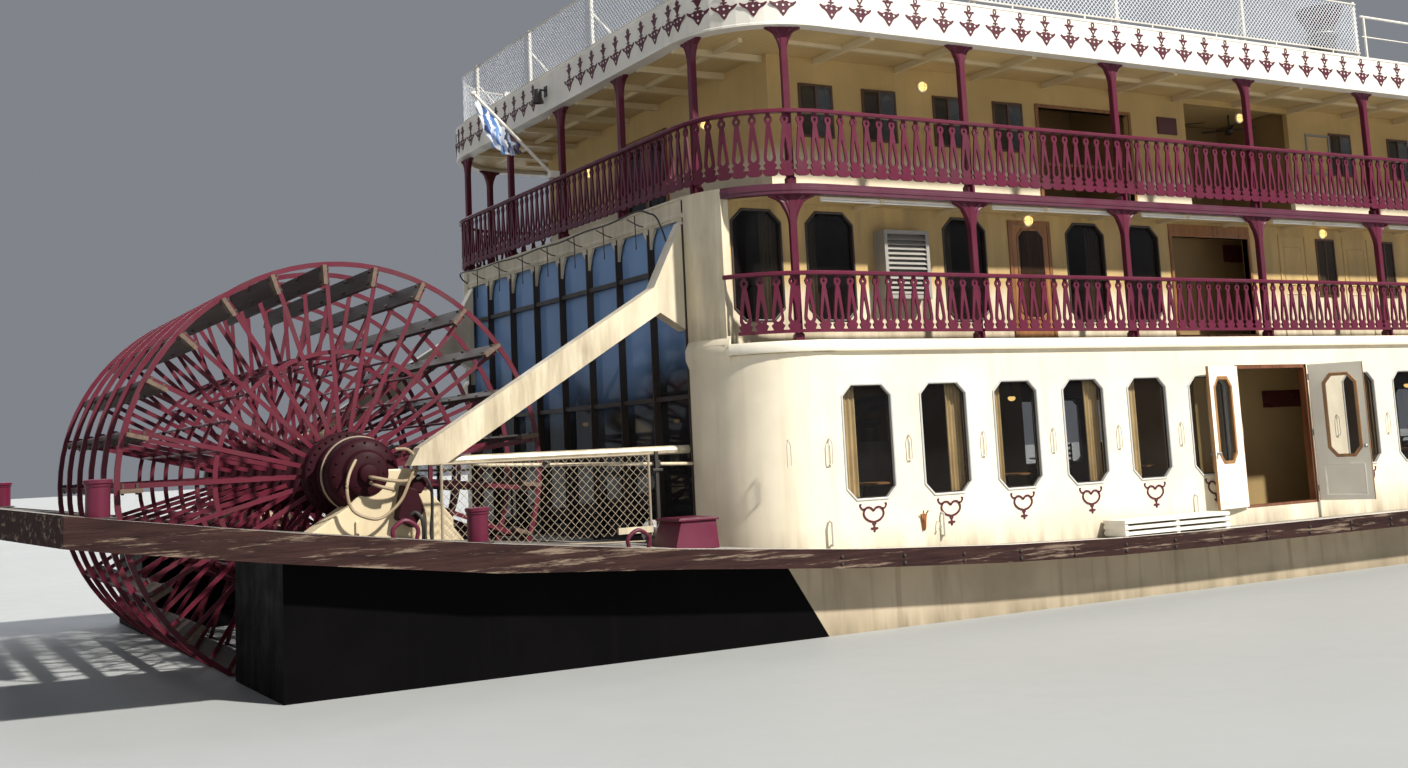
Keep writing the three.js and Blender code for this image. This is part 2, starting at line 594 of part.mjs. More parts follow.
// Stern flagstaff and its flag
const staff = { foot: [HOUSE_AFT - 0.1, 0, 8.6], tip: [HOUSE_AFT - 1.75, 0, 10.15], radius: 0.035 };
add('flagstaff', join([rod(staff.foot, staff.tip, staff.radius),
  box(HOUSE_AFT - 0.16, HOUSE_AFT + 0.04, -0.07, 0.07, level.rail3 + GAP, level.rail3 + 0.14)]), white);
const FLAG_DROP = 1.15;
const onStaff = (t, below) => {
  const [x0, , z0] = staff.foot;
  const [x1, , z1] = staff.tip;
  return [x0 + (x1 - x0) * t, z0 + (z1 - z0) * t - below];
};
add('flag', across([onStaff(0.42, 0.06), onStaff(0.42, 0.9), onStaff(0.75, 0.3 + FLAG_DROP),
  onStaff(0.97, FLAG_DROP), onStaff(0.97, 0.06)], -0.02, 0.02), flagCloth);

// Paddle wheel: six spoked plates on one shaft, blades across them near the rim
function sector(k, inner, outer, halfWidth) {
  const step = 360 / wheel.spokes;
  const corner = (radius, angle, side) => {
    const a = THREE.MathUtils.degToRad(angle) + side * Math.asin(halfWidth / radius);
    return [wheel.x + radius * Math.cos(a), wheel.z + radius * Math.sin(a)];
  };
  const from = wheel.phase + k * step;
  return [corner(inner, from, 1), corner(outer, from, 1), corner(outer, from + step, -1),
    corner(inner, from + step, -1)];
}

function spokePlate(y) {
  const rim = arc(wheel.x, wheel.z, wheel.radius, wheel.radius, wheel.phase, wheel.phase + 360, wheel.spokes);
  const windows = rim.slice(1).flatMap((_, k) => [
    sector(k, wheel.hub, wheel.innerRing - 0.04, wheel.spoke / 2),
    sector(k, wheel.innerRing + 0.04, wheel.radius - wheel.rim, wheel.spoke / 2),
  ]);
  return across(rim.slice(0, -1), y - wheel.plate / 2, y + wheel.plate / 2, windows);
}

function blade(k) {
  const angle = wheel.phase + (k * 360) / wheel.spokes;
  const size = [wheel.bladeOut - wheel.bladeIn, 2 * (wheel.half + wheel.bladeOver), wheel.bladeThick];
  const geometry = new THREE.BoxGeometry(...size);
  geometry.translate((wheel.bladeIn + wheel.bladeOut) / 2, 0, wheel.spoke / 2 + wheel.bladeThick / 2 - 0.012);
  geometry.rotateY(-THREE.MathUtils.degToRad(angle));
  return solid(geometry.translate(wheel.x, 0, wheel.z));
}

const plates = Array.from({ length: wheel.rings }, (_, i) =>
  spokePlate(-wheel.half + (2 * wheel.half * i) / (wheel.rings - 1)));
const blades = Array.from({ length: wheel.spokes }, (_, k) => blade(k));
const HUB_END = 4.05;
const shaftDrum = turnedOnShaft([[0, -HUB_END], [0.5, -HUB_END], [0.53, -3.75], [0.66, -3.72], [0.66, -3.5],
  [wheel.shaft, -3.44], [wheel.shaft, 3.44], [0.66, 3.5], [0.66, 3.72], [0.53, 3.75], [0.5, HUB_END],
  [0, HUB_END]], 20);
add('paddle_wheel', join([shaftDrum, ...plates, ...blades]), burgundy);

// Wheel bearings: sloped pedestal on the stern deck with the drive housing of the wheel on it
const housing = { inner: 4.075, outer: 4.87, radius: 0.55 };
const pedestal = [[-28.85, 0.5], [-26.67, 0.5], [-26.67, 2.15], [-27.35, 2.95], [-27.75, 2.95], [-28.3, 2.4],
  [-28.85, 2.1]];
const drive = turnedOnShaft([[0, -housing.outer], [0.14, -housing.outer], [0.16, -housing.outer + 0.08],
  [0.33, -housing.outer + 0.12], [0.36, -housing.outer + 0.2], [housing.radius - 0.03, -housing.outer + 0.26],
  [housing.radius, -housing.outer + 0.34], [housing.radius, -4.34], [housing.radius + 0.05, -4.32],
  [housing.radius + 0.05, -4.26], [housing.radius, -4.24], [housing.radius, -housing.inner], [0, -housing.inner]]);
const bearing = standing(join([drive, across(pedestal, -4.72, -4.18)]));
add('bearing_starboard', bearing, cream);
add('bearing_port', mirror(bearing), cream);

// Diagonal box braces from the bearings up to the house corners, with the pipes under them
const brace = [[-27.45, 2.98], [-26.9, 2.98], [-23.1, 5.3], [HOUSE_AFT - GAP, 5.0], [HOUSE_AFT - GAP, 6.85],
  [-22.85, 6.4], [-23.2, 5.72], [-27.3, 3.24]];
const braceSide = join([
  across(brace, -5.09, -4.79),
  box(-27.3, -26.95, -5.09, -4.6, 2.98, 3.08),
  rod([-27.1, -4.94, 3.03], [HOUSE_AFT - GAP, -4.94, 3.03], 0.07, 8),
]);
add('brace_starboard', braceSide, cream);
add('brace_port', mirror(braceSide), cream);

// Rudders under the counter, each with its stock and tiller
function rudderAt(side) {
  const y = side * rudder.y;
  const deck = deckTop(rudder.x);
  return join([
    box(rudder.x - rudder.aft, rudder.x + rudder.fore, y - 0.05, y + 0.05, rudder.foot, rudder.top),
    rod([rudder.x, y, rudder.foot + 0.2], [rudder.x, y, deck + 0.3], rudder.stock, 12),
    box(rudder.x - 0.6, rudder.x + 0.1, y - 0.05, y + 0.05, deck + 0.15, deck + 0.25),
  ]);
}

add('rudder_starboard', rudderAt(-1), black);
add('rudder_port', rudderAt(1), black);

// Entrance doors: two leaves a side, standing open against the house as seen from the shore
const leaf = { thick: 0.05, out: 0.035, width: (doorway.fore - doorway.aft) / 2 - CLEAR };

function entranceLeaf(hingeX, reach, open) {
  const y = -HOUSE_HALF - leaf.out;
  const window = [[0.3, 1.05], [0.42, 0.9], [0.72, 0.9], [0.84, 1.05], [0.84, 2.3], [0.72, 2.45], [0.42, 2.45],
    [0.3, 2.3]].map(([u, v]) => [reach * u, doorway.low + v]);
  const panel = rectangle(Math.min(reach * 0.012, reach * leaf.width), Math.max(reach * 0.012, reach * leaf.width),
    doorway.low + CLEAR, doorway.high - CLEAR);
  const geometry = extruded(panel, leaf.thick, [reach > 0 ? window : window.reverse()]);
  geometry.rotateX(Math.PI / 2).translate(0, 0.025, 0);
  geometry.rotateZ(THREE.MathUtils.degToRad(open));
  return solid(geometry.translate(hingeX, y, 0));
}

const leafAft = entranceLeaf(doorway.aft, 1, -170);
const leafFore = entranceLeaf(doorway.fore, -1, 118);
add('door_aft_starboard', leafAft, white);
add('door_fore_starboard', leafFore, white);
add('door_aft_port', mirror(leafAft), white);
add('door_fore_port', mirror(leafFore), white);

// Slatted boarding step on the starboard guard
const step = { aft: -15.3, fore: -12.65, inner: -6.89, outer: -7.42, high: 0.3 };
const stepSlats = [0.09, 0.19, 0.29].map((z) =>
  box(step.aft, step.fore, step.outer, step.inner, deckTop(0) + z - 0.03, deckTop(0) + z + 0.03));
const stepEnds = [step.aft + 0.05, (step.aft + step.fore) / 2, step.fore - 0.05].map((x) =>
  box(x - 0.04, x + 0.04, step.outer + 0.02, step.inner - 0.02, 0.9, deckTop(0) + 0.3));
add('boarding_step', join([...stepSlats, ...stepEnds])
  .subtract(sheerSlab(() => -12, () => 0.02 + GAP)), white);

// Landing stage stowed on the fore deck, hinged at the stem
const stageLine = (x, up) => [x, hingeZ + up + ((x - landing.hinge) * (hingeZ - deckTop(landing.aft) - 0.08))
  / (landing.hinge - landing.aft)];
add('landing_stage', join([
  across([stageLine(landing.aft, 0), stageLine(landing.hinge, 0), stageLine(landing.hinge, landing.thick),
    stageLine(landing.aft, landing.thick)], -landing.half, landing.half),
  rod([landing.hinge, -landing.half - 0.025, hingeZ], [landing.hinge, landing.half + 0.025, hingeZ],
    landing.pin + 0.03, 12),
]), timber);

// Deck machinery
const windlassBase = deckTop(22.6);
add('windlass', standing(join([
  box(22.2, 23.2, -0.7, 0.7, 1, windlassBase + 0.3),
  rod([22.7, -1.1, windlassBase + 0.55], [22.7, 1.1, windlassBase + 0.55], 0.28, 14),
])), burgundy);
add('stern_winch', standing(box(-23.75, -23.0, -6.5, -5.7, 1, 1.98)), burgundy);
add('engine_block', standing(box(-19.5, -15.5, -1.4, 1.4, 1, 3.0)), steel);

export default ship;
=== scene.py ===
# Stern-wheel river passenger boat, half size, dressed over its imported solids.
# X points to the bow, Y to port and Z up, with the origin amidships, where the hull floats.
# Lengths are in metres of the full-size boat, as in the part's own source; modelScale halves them for the
# mesh.
import math

import bmesh
import bpy
import numpy as np
from mathutils import Matrix


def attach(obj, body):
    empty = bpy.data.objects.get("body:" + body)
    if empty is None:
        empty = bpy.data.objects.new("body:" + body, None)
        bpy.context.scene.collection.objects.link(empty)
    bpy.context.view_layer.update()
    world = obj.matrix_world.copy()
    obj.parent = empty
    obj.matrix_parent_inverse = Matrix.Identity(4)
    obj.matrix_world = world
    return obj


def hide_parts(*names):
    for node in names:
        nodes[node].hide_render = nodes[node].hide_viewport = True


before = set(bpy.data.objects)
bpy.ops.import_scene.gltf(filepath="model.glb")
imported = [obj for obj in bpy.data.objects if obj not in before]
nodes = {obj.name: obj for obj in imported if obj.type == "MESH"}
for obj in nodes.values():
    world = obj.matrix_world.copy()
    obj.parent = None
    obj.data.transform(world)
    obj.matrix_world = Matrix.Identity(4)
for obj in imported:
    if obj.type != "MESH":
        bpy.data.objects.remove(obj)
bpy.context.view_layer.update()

modelScale = 0.5

# camera, floor and light

camera = {"place": (-17.363, -13.408, 1.525), "yaw": 29.95, "pitch": 7.55, "roll": -2.73, "lens": 37.98,
          "shiftY": -0.0952}


def makeCamera(settings):
    # looks along the yaw from +Y towards +X, tipped up by the pitch and turned about its own line by the
    # roll
    yaw, pitch, roll = (math.radians(settings[k]) for k in ("yaw", "pitch", "roll"))
    ahead = np.array([math.sin(yaw) * math.cos(pitch), math.cos(yaw) * math.cos(pitch), math.sin(pitch)])
    right = np.array([math.cos(yaw), -math.sin(yaw), 0])
    above = np.cross(right, ahead)
    side = math.cos(roll) * right + math.sin(roll) * above
    top = -math.sin(roll) * right + math.cos(roll) * above
    data = bpy.data.cameras.new("camera")
    data.lens, data.sensor_width = settings["lens"], 36
    data.shift_x, data.shift_y = 0, settings["shiftY"]
    data.clip_end = 500
    cam = bpy.data.objects.new("camera", data)
    turn = Matrix([list(row) for row in np.stack([side, top, -ahead], 1)]).to_4x4()
    cam.matrix_world = Matrix.Translation(settings["place"]) @ turn
    bpy.context.scene.collection.objects.link(cam)
    bpy.context.scene.camera = cam


lights = {  # where each light comes from, its power on a square metre and its width in degrees
    "key": {"from": (18, -36, 37.5), "power": 6.7, "width": 2.5, "colour": (1.0, 0.94, 0.85)},
    "fill": {"from": (-34, -22, 10), "power": 0.35, "width": 50, "colour": (1.0, 0.93, 0.84)},
    "back": {"from": (12, 32.5, 24.5), "power": 1.1, "width": 60, "colour": (0.95, 0.97, 1.0)},
}
sky = {"colour": (0.66, 0.70, 0.78), "strength": 0.33}


def makeLights(settings, world):
    for name, lamp in settings.items():
        data = bpy.data.lights.new(name, "SUN")
        data.angle, data.energy, data.color = math.radians(lamp["width"]), lamp["power"], lamp["colour"]
        lampObject = bpy.data.objects.new(name, data)
        aim = -np.array(lamp["from"], float)
        aim = aim / np.linalg.norm(aim)
        across = np.cross(aim, [0, 0, 1])
        across = across / np.linalg.norm(across)
        turn = Matrix([list(row) for row in np.stack([across, np.cross(across, aim), -aim], 1)]).to_4x4()
        lampObject.matrix_world = Matrix.Translation(lamp["from"]) @ turn
        bpy.context.scene.collection.objects.link(lampObject)
    background = bpy.data.worlds.new("studio")
    background.use_nodes = True
    shade = background.node_tree.nodes["Background"]
    shade.inputs["Color"].default_value = (*world["colour"], 1)
    shade.inputs["Strength"].default_value = world["strength"]
    bpy.context.scene.world = background


makeCamera(camera)
makeLights(lights, sky)
bpy.context.scene.view_settings.view_transform = "Standard"

# mesh tools: every part is (points, list of face arrays), in full-size metres


def makePiece(name, parts, material, body="ship", smooth=False, stands=(), bevel=0.0):
    # all parts in one mesh, halved in size, with near points merged and the faces turned outwards
    starts = np.cumsum([0] + [len(points) for points, _ in parts])
    points = np.concatenate([points for points, _ in parts]) * modelScale
    faces = [row for start, (_, arrays) in zip(starts, parts) for f in arrays
             for row in (np.asarray(f) + start).tolist()]
    mesh = bpy.data.meshes.new(name)
    mesh.from_pydata(points.tolist(), [], faces)
    work = bmesh.new()
    work.from_mesh(mesh)
    bmesh.ops.remove_doubles(work, verts=work.verts, dist=0.00005)
    bmesh.ops.recalc_face_normals(work, faces=work.faces)
    work.to_mesh(mesh)
    work.free()
    mesh.materials.append(material)
    mesh.polygons.foreach_set("use_smooth", np.full(len(mesh.polygons), smooth))
    if smooth:
        mesh.set_sharp_from_angle(angle=math.radians(35))
    piece = bpy.data.objects.new(name, mesh)
    bpy.context.scene.collection.objects.link(piece)
    if bevel:
        edge = piece.modifiers.new("edge", "BEVEL")
        edge.width, edge.segments, edge.limit_method = bevel * modelScale, 2, "ANGLE"
        edge.angle_limit = math.radians(40)
    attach(piece, body)
    if stands:
        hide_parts(*stands)
    return piece


def gridFaces(rows, columns, closeRows=False, closeColumns=False):
    # quads between neighbours of a rows x columns table of points, wrapping round where closed
    i = np.arange(rows if closeRows else rows - 1)
    j = np.arange(columns if closeColumns else columns - 1)
    a, b = np.meshgrid(i, j, indexing="ij")
    c, d = (a + 1) % rows, (b + 1) % columns
    return np.stack([a * columns + b, c * columns + b, c * columns + d, a * columns + d], -1).reshape(-1, 4)


def unit(v):
    v = np.asarray(v, float)
    return v / np.linalg.norm(v, axis=-1, keepdims=True)


def carry(path, profile, loop=False, upward=(0, 0, 1)):
    # profile (u, v) carried along a path: point = path + level direction square to it * u + upright
    # direction * v, with the bends mitred
    path, profile = np.asarray(path, float), np.asarray(profile, float)
    legs = unit(np.roll(path, -1, 0) - path)
    if loop:
        before, after = np.roll(legs, 1, 0), legs
    else:
        before, after = np.concatenate([legs[:1], legs[:-1]]), np.concatenate([legs[:-1], legs[-2:-1]])
    tangent = unit(before + after)
    mitre = 1 / np.maximum((tangent * after).sum(1), 0.5)
    across = unit(np.cross(tangent, np.asarray(upward, float)))
    lift = np.cross(across, tangent)
    points = path[:, None] + across[:, None] * (profile[None, :, :1]
                                                * mitre[:, None, None]) + lift[:, None] * profile[None, :,
                                                                                                  1:]
    count, sides = len(path), len(profile)
    faces = [gridFaces(count, sides, loop, True)]
    if not loop:
        faces += [np.arange(sides)[None], np.arange(sides)[None] + (count - 1) * sides]
    return points.reshape(-1, 3), faces


def ring(radius, sides=8, flat=1.0):
    turn = np.linspace(0, 2 * np.pi, sides, endpoint=False) + np.pi / sides
    return np.stack([radius * np.cos(turn), radius * flat * np.sin(turn)], 1)


def tube(path, radius, sides=8, loop=False, upward=(0.13, 0.21, 0.97)):
    return carry(path, ring(radius, sides), loop, upward)


def smoothPath(points, steps=8):
    # Catmull-Rom curve through the points
    p = np.asarray(points, float)
    p = np.concatenate([[2 * p[0] - p[1]], p, [2 * p[-1] - p[-2]]])
    t = np.linspace(0, 1, steps, endpoint=False)[None, :, None]
    a, b, c, d = (p[k:len(p) - 3 + k, None] for k in range(4))
    curve = 0.5 * (2 * b + (c - a) * t + (2 * a - 5 * b + 4 * c - d) * t ** 2 + (3 * b - 3 * c + d - a)
                   * t ** 3)
    return np.concatenate([curve.reshape(-1, 3), p[-2:-1]])


cubeFaces = np.array([[0, 1, 3, 2], [4, 6, 7, 5], [0, 4, 5, 1], [2, 3, 7, 6], [0, 2, 6, 4], [1, 5, 7, 3]])


def boxes(low, high):
    # one box for each row of lowest and highest corners
    low, high = np.atleast_2d(low).astype(float), np.atleast_2d(high).astype(float)
    pick = np.array([[i, j, k] for i in (0, 1) for j in (0, 1) for k in (0, 1)])
    points = low[:, None] * (1 - pick) + high[:, None] * pick
    return points.reshape(-1, 3), [(cubeFaces[None] + np.arange(len(low))[:, None, None] * 8).reshape(-1, 4)]


def box(x0, x1, y0, y1, z0, z1):
    return boxes([x0, y0, z0], [x1, y1, z1])


def copies(part, places, along, up, outward):
    # the part's (u, v, w) set at each place: place + u * along + v * up + w * outward
    points, faces = part
    places = np.atleast_2d(places).astype(float)
    axes = np.stack([np.broadcast_to(np.asarray(a, float), places.shape) for a in (along, up, outward)], 1)
    placed = places[:, None] + points[None] @ axes
    shift = (np.arange(len(places)) * len(points))[:, None, None]
    return placed.reshape(-1, 3), [(np.asarray(f)[None] + shift).reshape(-1, np.asarray(f).shape[1])
                                   for f in faces]


def plate(outline, thickness):
    # flat board over an outline of (u, v), from w = 0 out to the thickness
    outline = np.asarray(outline, float)
    count = len(outline)
    points = np.concatenate([np.c_[outline, np.zeros(count)], np.c_[outline, np.full(count, thickness)]])
    return points, [np.arange(count)[None], np.arange(count)[None] + count, gridFaces(2, count, False, True)]


def octagon(size, grow=0.0):
    # cut-cornered outline round the window's middle, anticlockwise
    h, v, c = size["half"] + grow, (size["high"] - size["low"]) / 2 + grow, size["cut"] + 0.4 * grow
    return np.array([(-h + c, -v), (h - c, -v), (h, -v + c), (h, v - c), (h - c, v), (-h + c, v),
                     (-h, v - c), (-h, -v + c)])


def ringOf(outline, profile):
    # profile of (outward, w) carried round a flat outline, mitred at its corners
    p = np.asarray(outline, float)
    a, b = unit(p - np.roll(p, 1, 0)), unit(np.roll(p, -1, 0) - p)
    normal = unit(np.stack([a[:, 1] + b[:, 1], -(a[:, 0] + b[:, 0])], 1))
    mitre = normal / np.maximum((normal * np.stack([a[:, 1], -a[:, 0]], 1)).sum(1), 0.4)[:, None]
    profile = np.asarray(profile, float)
    flat = p[None] + profile[:, None, :1] * mitre[None]
    points = np.concatenate([flat, np.broadcast_to(profile[:, None, 1:], flat.shape[:2] + (1,))], -1)
    return points.reshape(-1, 3), [gridFaces(len(profile), len(p), True, True)]


def turned(profile, sides=24):
    # profile of (radius, height) spun round the w axis: (radius cos, radius sin, height)
    profile = np.asarray(profile, float)
    turn = np.linspace(0, 2 * np.pi, sides, endpoint=False)
    points = np.stack([profile[:, None, 0] * np.cos(turn), profile[:, None, 0] * np.sin(turn),
                       np.broadcast_to(profile[:, None, 1], (len(profile), sides))], -1)
    caps = [np.arange(sides)[None], np.arange(sides)[None] + (len(profile) - 1) * sides]
    return points.reshape(-1, 3), [gridFaces(len(profile), sides, False, True)] + caps


def boards(heights, half, slot, thickness):
    # upright fretwork board: at each height it reaches out to half and is open inside slot, both mirrored
    heights, half, slot = (np.asarray(a, float) for a in (heights, half, slot))
    columns = np.stack([-half, -slot, slot, half], 1)
    n = len(heights)
    front = np.stack([columns, np.broadcast_to(heights[:, None], columns.shape),
                      np.full(columns.shape, thickness)], -1)
    back = front * [1, 1, 0]
    index = np.arange(n * 4).reshape(n, 4)
    shift = n * 4
    quads = []
    for a, b in ((0, 1), (2, 3)):
        q = np.stack([index[:-1, a], index[:-1, b], index[1:, b], index[1:, a]], 1)
        quads += [q, q + shift]
    for c in (0, 3):
        quads.append(np.stack([index[:-1, c], index[1:, c], index[1:, c] + shift, index[:-1, c] + shift], 1))
    pierced = (slot[:-1] > 0) | (slot[1:] > 0)
    for c in (1, 2):
        q = np.stack([index[:-1, c], index[1:, c], index[1:, c] + shift, index[:-1, c] + shift], 1)
        quads.append(q[pierced])
    for row in (0, n - 1):
        for a, b in ((0, 1), (2, 3)):
            quads.append(np.array([[index[row, a], index[row, b], index[row, b] + shift,
                                    index[row, a] + shift]]))
    return np.concatenate([front.reshape(-1, 3), back.reshape(-1, 3)]), [np.concatenate(quads)]


# plan of the house

house = {"aft": -22.6, "half": 6.85, "corner": 1.75, "frontStart": 14.0, "frontLength": 6.5}
levels = {"deck": 1.1, "deck2": 4.685, "rail2": 5.82, "glassTop": 6.89, "beam": 7.1, "deck3": 7.27,
          "rail3": 8.52, "fasciaLow": 9.94, "ceiling": 10.02, "sunDeck": 10.2, "fasciaTop": 10.7,
          "screenTop": 12.0}
cornerEnd = house["aft"] + house["corner"]


def housePath(run, inset=0.0, z=0.0, steps=12):
    # points round the house at a distance inside its face, anticlockwise from above
    half = house["half"] - inset
    corner = max(house["corner"] - inset, 0.05)
    cornerX = house["aft"] + inset + corner

    def arc(x, y, rx, ry, start, end, n):
        turn = np.radians(np.linspace(start, end, n + 1))
        return np.stack([x + rx * np.cos(turn), y + ry * np.sin(turn)], 1)

    starboard = np.array([[cornerEnd, -half], [house["frontStart"], -half]])
    starCorner = arc(cornerX, corner - half, corner, corner, 180, 270, steps)
    portCorner = arc(cornerX, half - corner, corner, corner, 90, 180, steps)
    front = arc(house["frontStart"], 0, house["frontLength"] - inset, half, -90, 90, steps)
    flat = {"starboard": starboard, "front": front, "port": starboard[::-1] * [1, -1],
            "stern": np.concatenate([portCorner, starCorner]),
            "galleryStarboard": np.concatenate([arc(cornerX, corner - half, corner, corner, 210, 270,
                                                    steps), starboard[1:]]),
            "all": np.concatenate([starboard[:1], front, portCorner, starCorner[:-1]]),}
    flat["galleryPort"] = flat["galleryStarboard"][::-1] * [1, -1]
    return np.c_[flat[run], np.full(len(flat[run]), z)]


def pathLength(path):
    return np.linalg.norm(np.diff(path, axis=0), axis=1).sum()


def placesOn(path, distances):
    # points at distances along a path, with the unit direction of the leg there
    legs = np.diff(path, axis=0)
    length = np.linalg.norm(legs, axis=1)
    start = np.concatenate([[0], np.cumsum(length)])
    places = np.stack([np.interp(distances, start, path[:, k]) for k in range(3)], 1)
    leg = np.clip(np.searchsorted(start, distances, side="right") - 1, 0, len(legs) - 1)
    return places, legs[leg] / length[leg, None]


def outOf(along):
    return unit(np.cross(along, [0, 0, 1]))


def mirrorPart(part):
    points, faces = part
    return points * [1, -1, 1], [np.asarray(f)[:, ::-1] for f in faces]


print("tools ready")

# node tools and the groups that several finishes share


def addNode(tree, kind, inputs=None, **settings):
    node = tree.nodes.new("ShaderNode" + kind)
    for key, value in settings.items():
        setattr(node, key, value)
    for key, value in (inputs or {}).items():
        if isinstance(value, bpy.types.NodeSocket):
            tree.links.new(value, node.inputs[key])
        else:
            node.inputs[key].default_value = value
    return node


def noise(tree, vector, scale, detail=4.0, rough=0.55, distort=0.0):
    return addNode(tree, "TexNoise", {"Vector": vector, "Scale": scale, "Detail": detail, "Roughness": rough,
                                      "Distortion": distort}).outputs["Fac"]


def spread(tree, value, low, high, toLow=0.0, toHigh=1.0):
    return addNode(tree, "MapRange", {"Value": value, "From Min": low, "From Max": high, "To Min": toLow,
                                      "To Max": toHigh}).outputs["Result"]


def reckon(tree, operation, a, b=0.0, clamp=False):
    node = addNode(tree, "Math", {0: a, 1: b}, operation=operation)
    node.use_clamp = clamp
    return node.outputs[0]


def mix(tree, amount, a, b, blend="MIX"):
    node = addNode(tree, "Mix", data_type="RGBA", blend_type=blend)
    for key, value in (("Factor_Float", amount), ("A_Color", a), ("B_Color", b)):
        socket = next(s for s in node.inputs if s.identifier == key)
        if isinstance(value, bpy.types.NodeSocket):
            tree.links.new(value, socket)
        else:
            socket.default_value = value
    return next(s for s in node.outputs if s.identifier == "Result_Color")


def place(tree, stretch=(1, 1, 1)):
    # the piece's own coordinates, stretched
    spot = addNode(tree, "TexCoord").outputs["Object"]
    if tuple(stretch) == (1, 1, 1):
        return spot
    return addNode(tree, "Mapping", {"Vector": spot, "Scale": stretch}).outputs["Vector"]


def solidColour(r, g, b):
    return (r, g, b, 1.0)


def makeGroup(name, inputs, outputs, build):
    group = bpy.data.node_groups.new(name, "ShaderNodeTree")
    for label, value in inputs.items():
        kind = "NodeSocketColor" if isinstance(value, tuple) and len(value) == 4 else (
            "NodeSocketVector" if isinstance(value, tuple) else "NodeSocketFloat")
        socket = group.interface.new_socket(name=label, in_out="INPUT", socket_type=kind)
        socket.default_value = value
    for label in outputs:
        kind = "NodeSocketColor" if label == "Colour" else "NodeSocketFloat"
        group.interface.new_socket(name=label, in_out="OUTPUT", socket_type=kind)
    entry, leave = group.nodes.new("NodeGroupInput"), group.nodes.new("NodeGroupOutput")
    for label, value in build(group, entry.outputs).items():
        group.links.new(value, leave.inputs[label])
    return group


def useGroup(tree, group, **values):
    node = tree.nodes.new("ShaderNodeGroup")
    node.node_tree = group
    for label, value in values.items():
        if isinstance(value, bpy.types.NodeSocket):
            tree.links.new(value, node.inputs[label])
        else:
            node.inputs[label].default_value = value
    return node


def buildPaint(tree, given):
    # paint = colour, with broad blotches and runs down the wall mixed towards the stain, a little lighter
    # and darker from place to place; roughness follows the stains and the height is brush marks and fine
    # specks
    spot = place(tree)
    broad = spread(tree, noise(tree, spot, given["Scale"], 6, 0.62), 0.47, 0.74)
    runs = spread(tree, noise(tree, place(tree, (7, 7, 0.45)), 1.0, 5, 0.6), 0.50, 0.76)
    blotch = reckon(tree, "MULTIPLY", broad, given["Blotch"])
    streak = reckon(tree, "MULTIPLY", runs, given["Streak"])
    stained = reckon(tree, "MAXIMUM", blotch, streak, True)
    tone = spread(tree, noise(tree, spot, 1.7, 3), 0.3, 0.7, 0.90, 1.08)
    toned = mix(tree, 1.0, given["Colour"], addNode(tree, "CombineColor",
                                                    {0: tone, 1: tone, 2: tone}).outputs[0], "MULTIPLY")
    fine = noise(tree, spot, 75.0, 2)
    brush = noise(tree, place(tree, (10, 10, 90)), 1.0, 2)
    height = reckon(tree, "ADD", reckon(tree, "MULTIPLY", fine, 0.6), reckon(tree, "MULTIPLY", brush, 0.4))
    rough = reckon(tree, "ADD", given["Rough"], spread(tree, noise(tree, spot, 5.0, 4), 0.3, 0.7, -0.07,
                                                       0.09))
    return {"Colour": mix(tree, stained, toned, given["Stain"]),
            "Roughness": reckon(tree, "ADD", rough, reckon(tree, "MULTIPLY", stained, 0.25), True),
            "Height": height}


agedPaint = makeGroup("agedPaint", {"Colour": solidColour(0.8, 0.8, 0.8),
                                    "Stain": solidColour(0.3, 0.25, 0.2), "Scale": 0.9, "Blotch": 0.3,
                                    "Streak": 0.3, "Rough": 0.45}, ("Colour", "Roughness", "Height"),
                      buildPaint)


def buildTimber(tree, given):
    # timber = noise drawn out along the board, from dark to light, with finer dark pores and faint growth
    # bands
    along = addNode(tree, "VectorMath", {0: addNode(tree, "TexCoord").outputs["Object"], 1: given["Stretch"]},
                    operation="MULTIPLY").outputs[0]
    grain = noise(tree, along, 1.0, 8, 0.65, 0.3)
    pores = spread(tree, noise(tree, along, 4.5, 3), 0.55, 0.7)
    bands = noise(tree, along, 0.35, 2, 0.5, 1.2)
    shade = reckon(tree, "ADD", spread(tree, grain, 0.3, 0.7, 0.0, 0.75),
                   spread(tree, bands, 0.35, 0.65, 0.0, 0.25), True)
    body = mix(tree, shade, given["Dark"], given["Light"])
    dark = mix(tree, 0.65, body, solidColour(0.01, 0.007, 0.005))
    return {"Colour": mix(tree, reckon(tree, "MULTIPLY", pores, 0.45), body, dark),
            "Roughness": spread(tree, grain, 0.3, 0.7, 0.0, 0.25),
            "Height": reckon(tree, "SUBTRACT", grain, reckon(tree, "MULTIPLY", pores, 0.5))}


timberGrain = makeGroup("timberGrain", {"Light": solidColour(0.4, 0.3, 0.2),
                                        "Dark": solidColour(0.1, 0.06, 0.04), "Stretch": (2.0, 40.0, 40.0)},
                        ("Colour", "Roughness", "Height"), buildTimber)


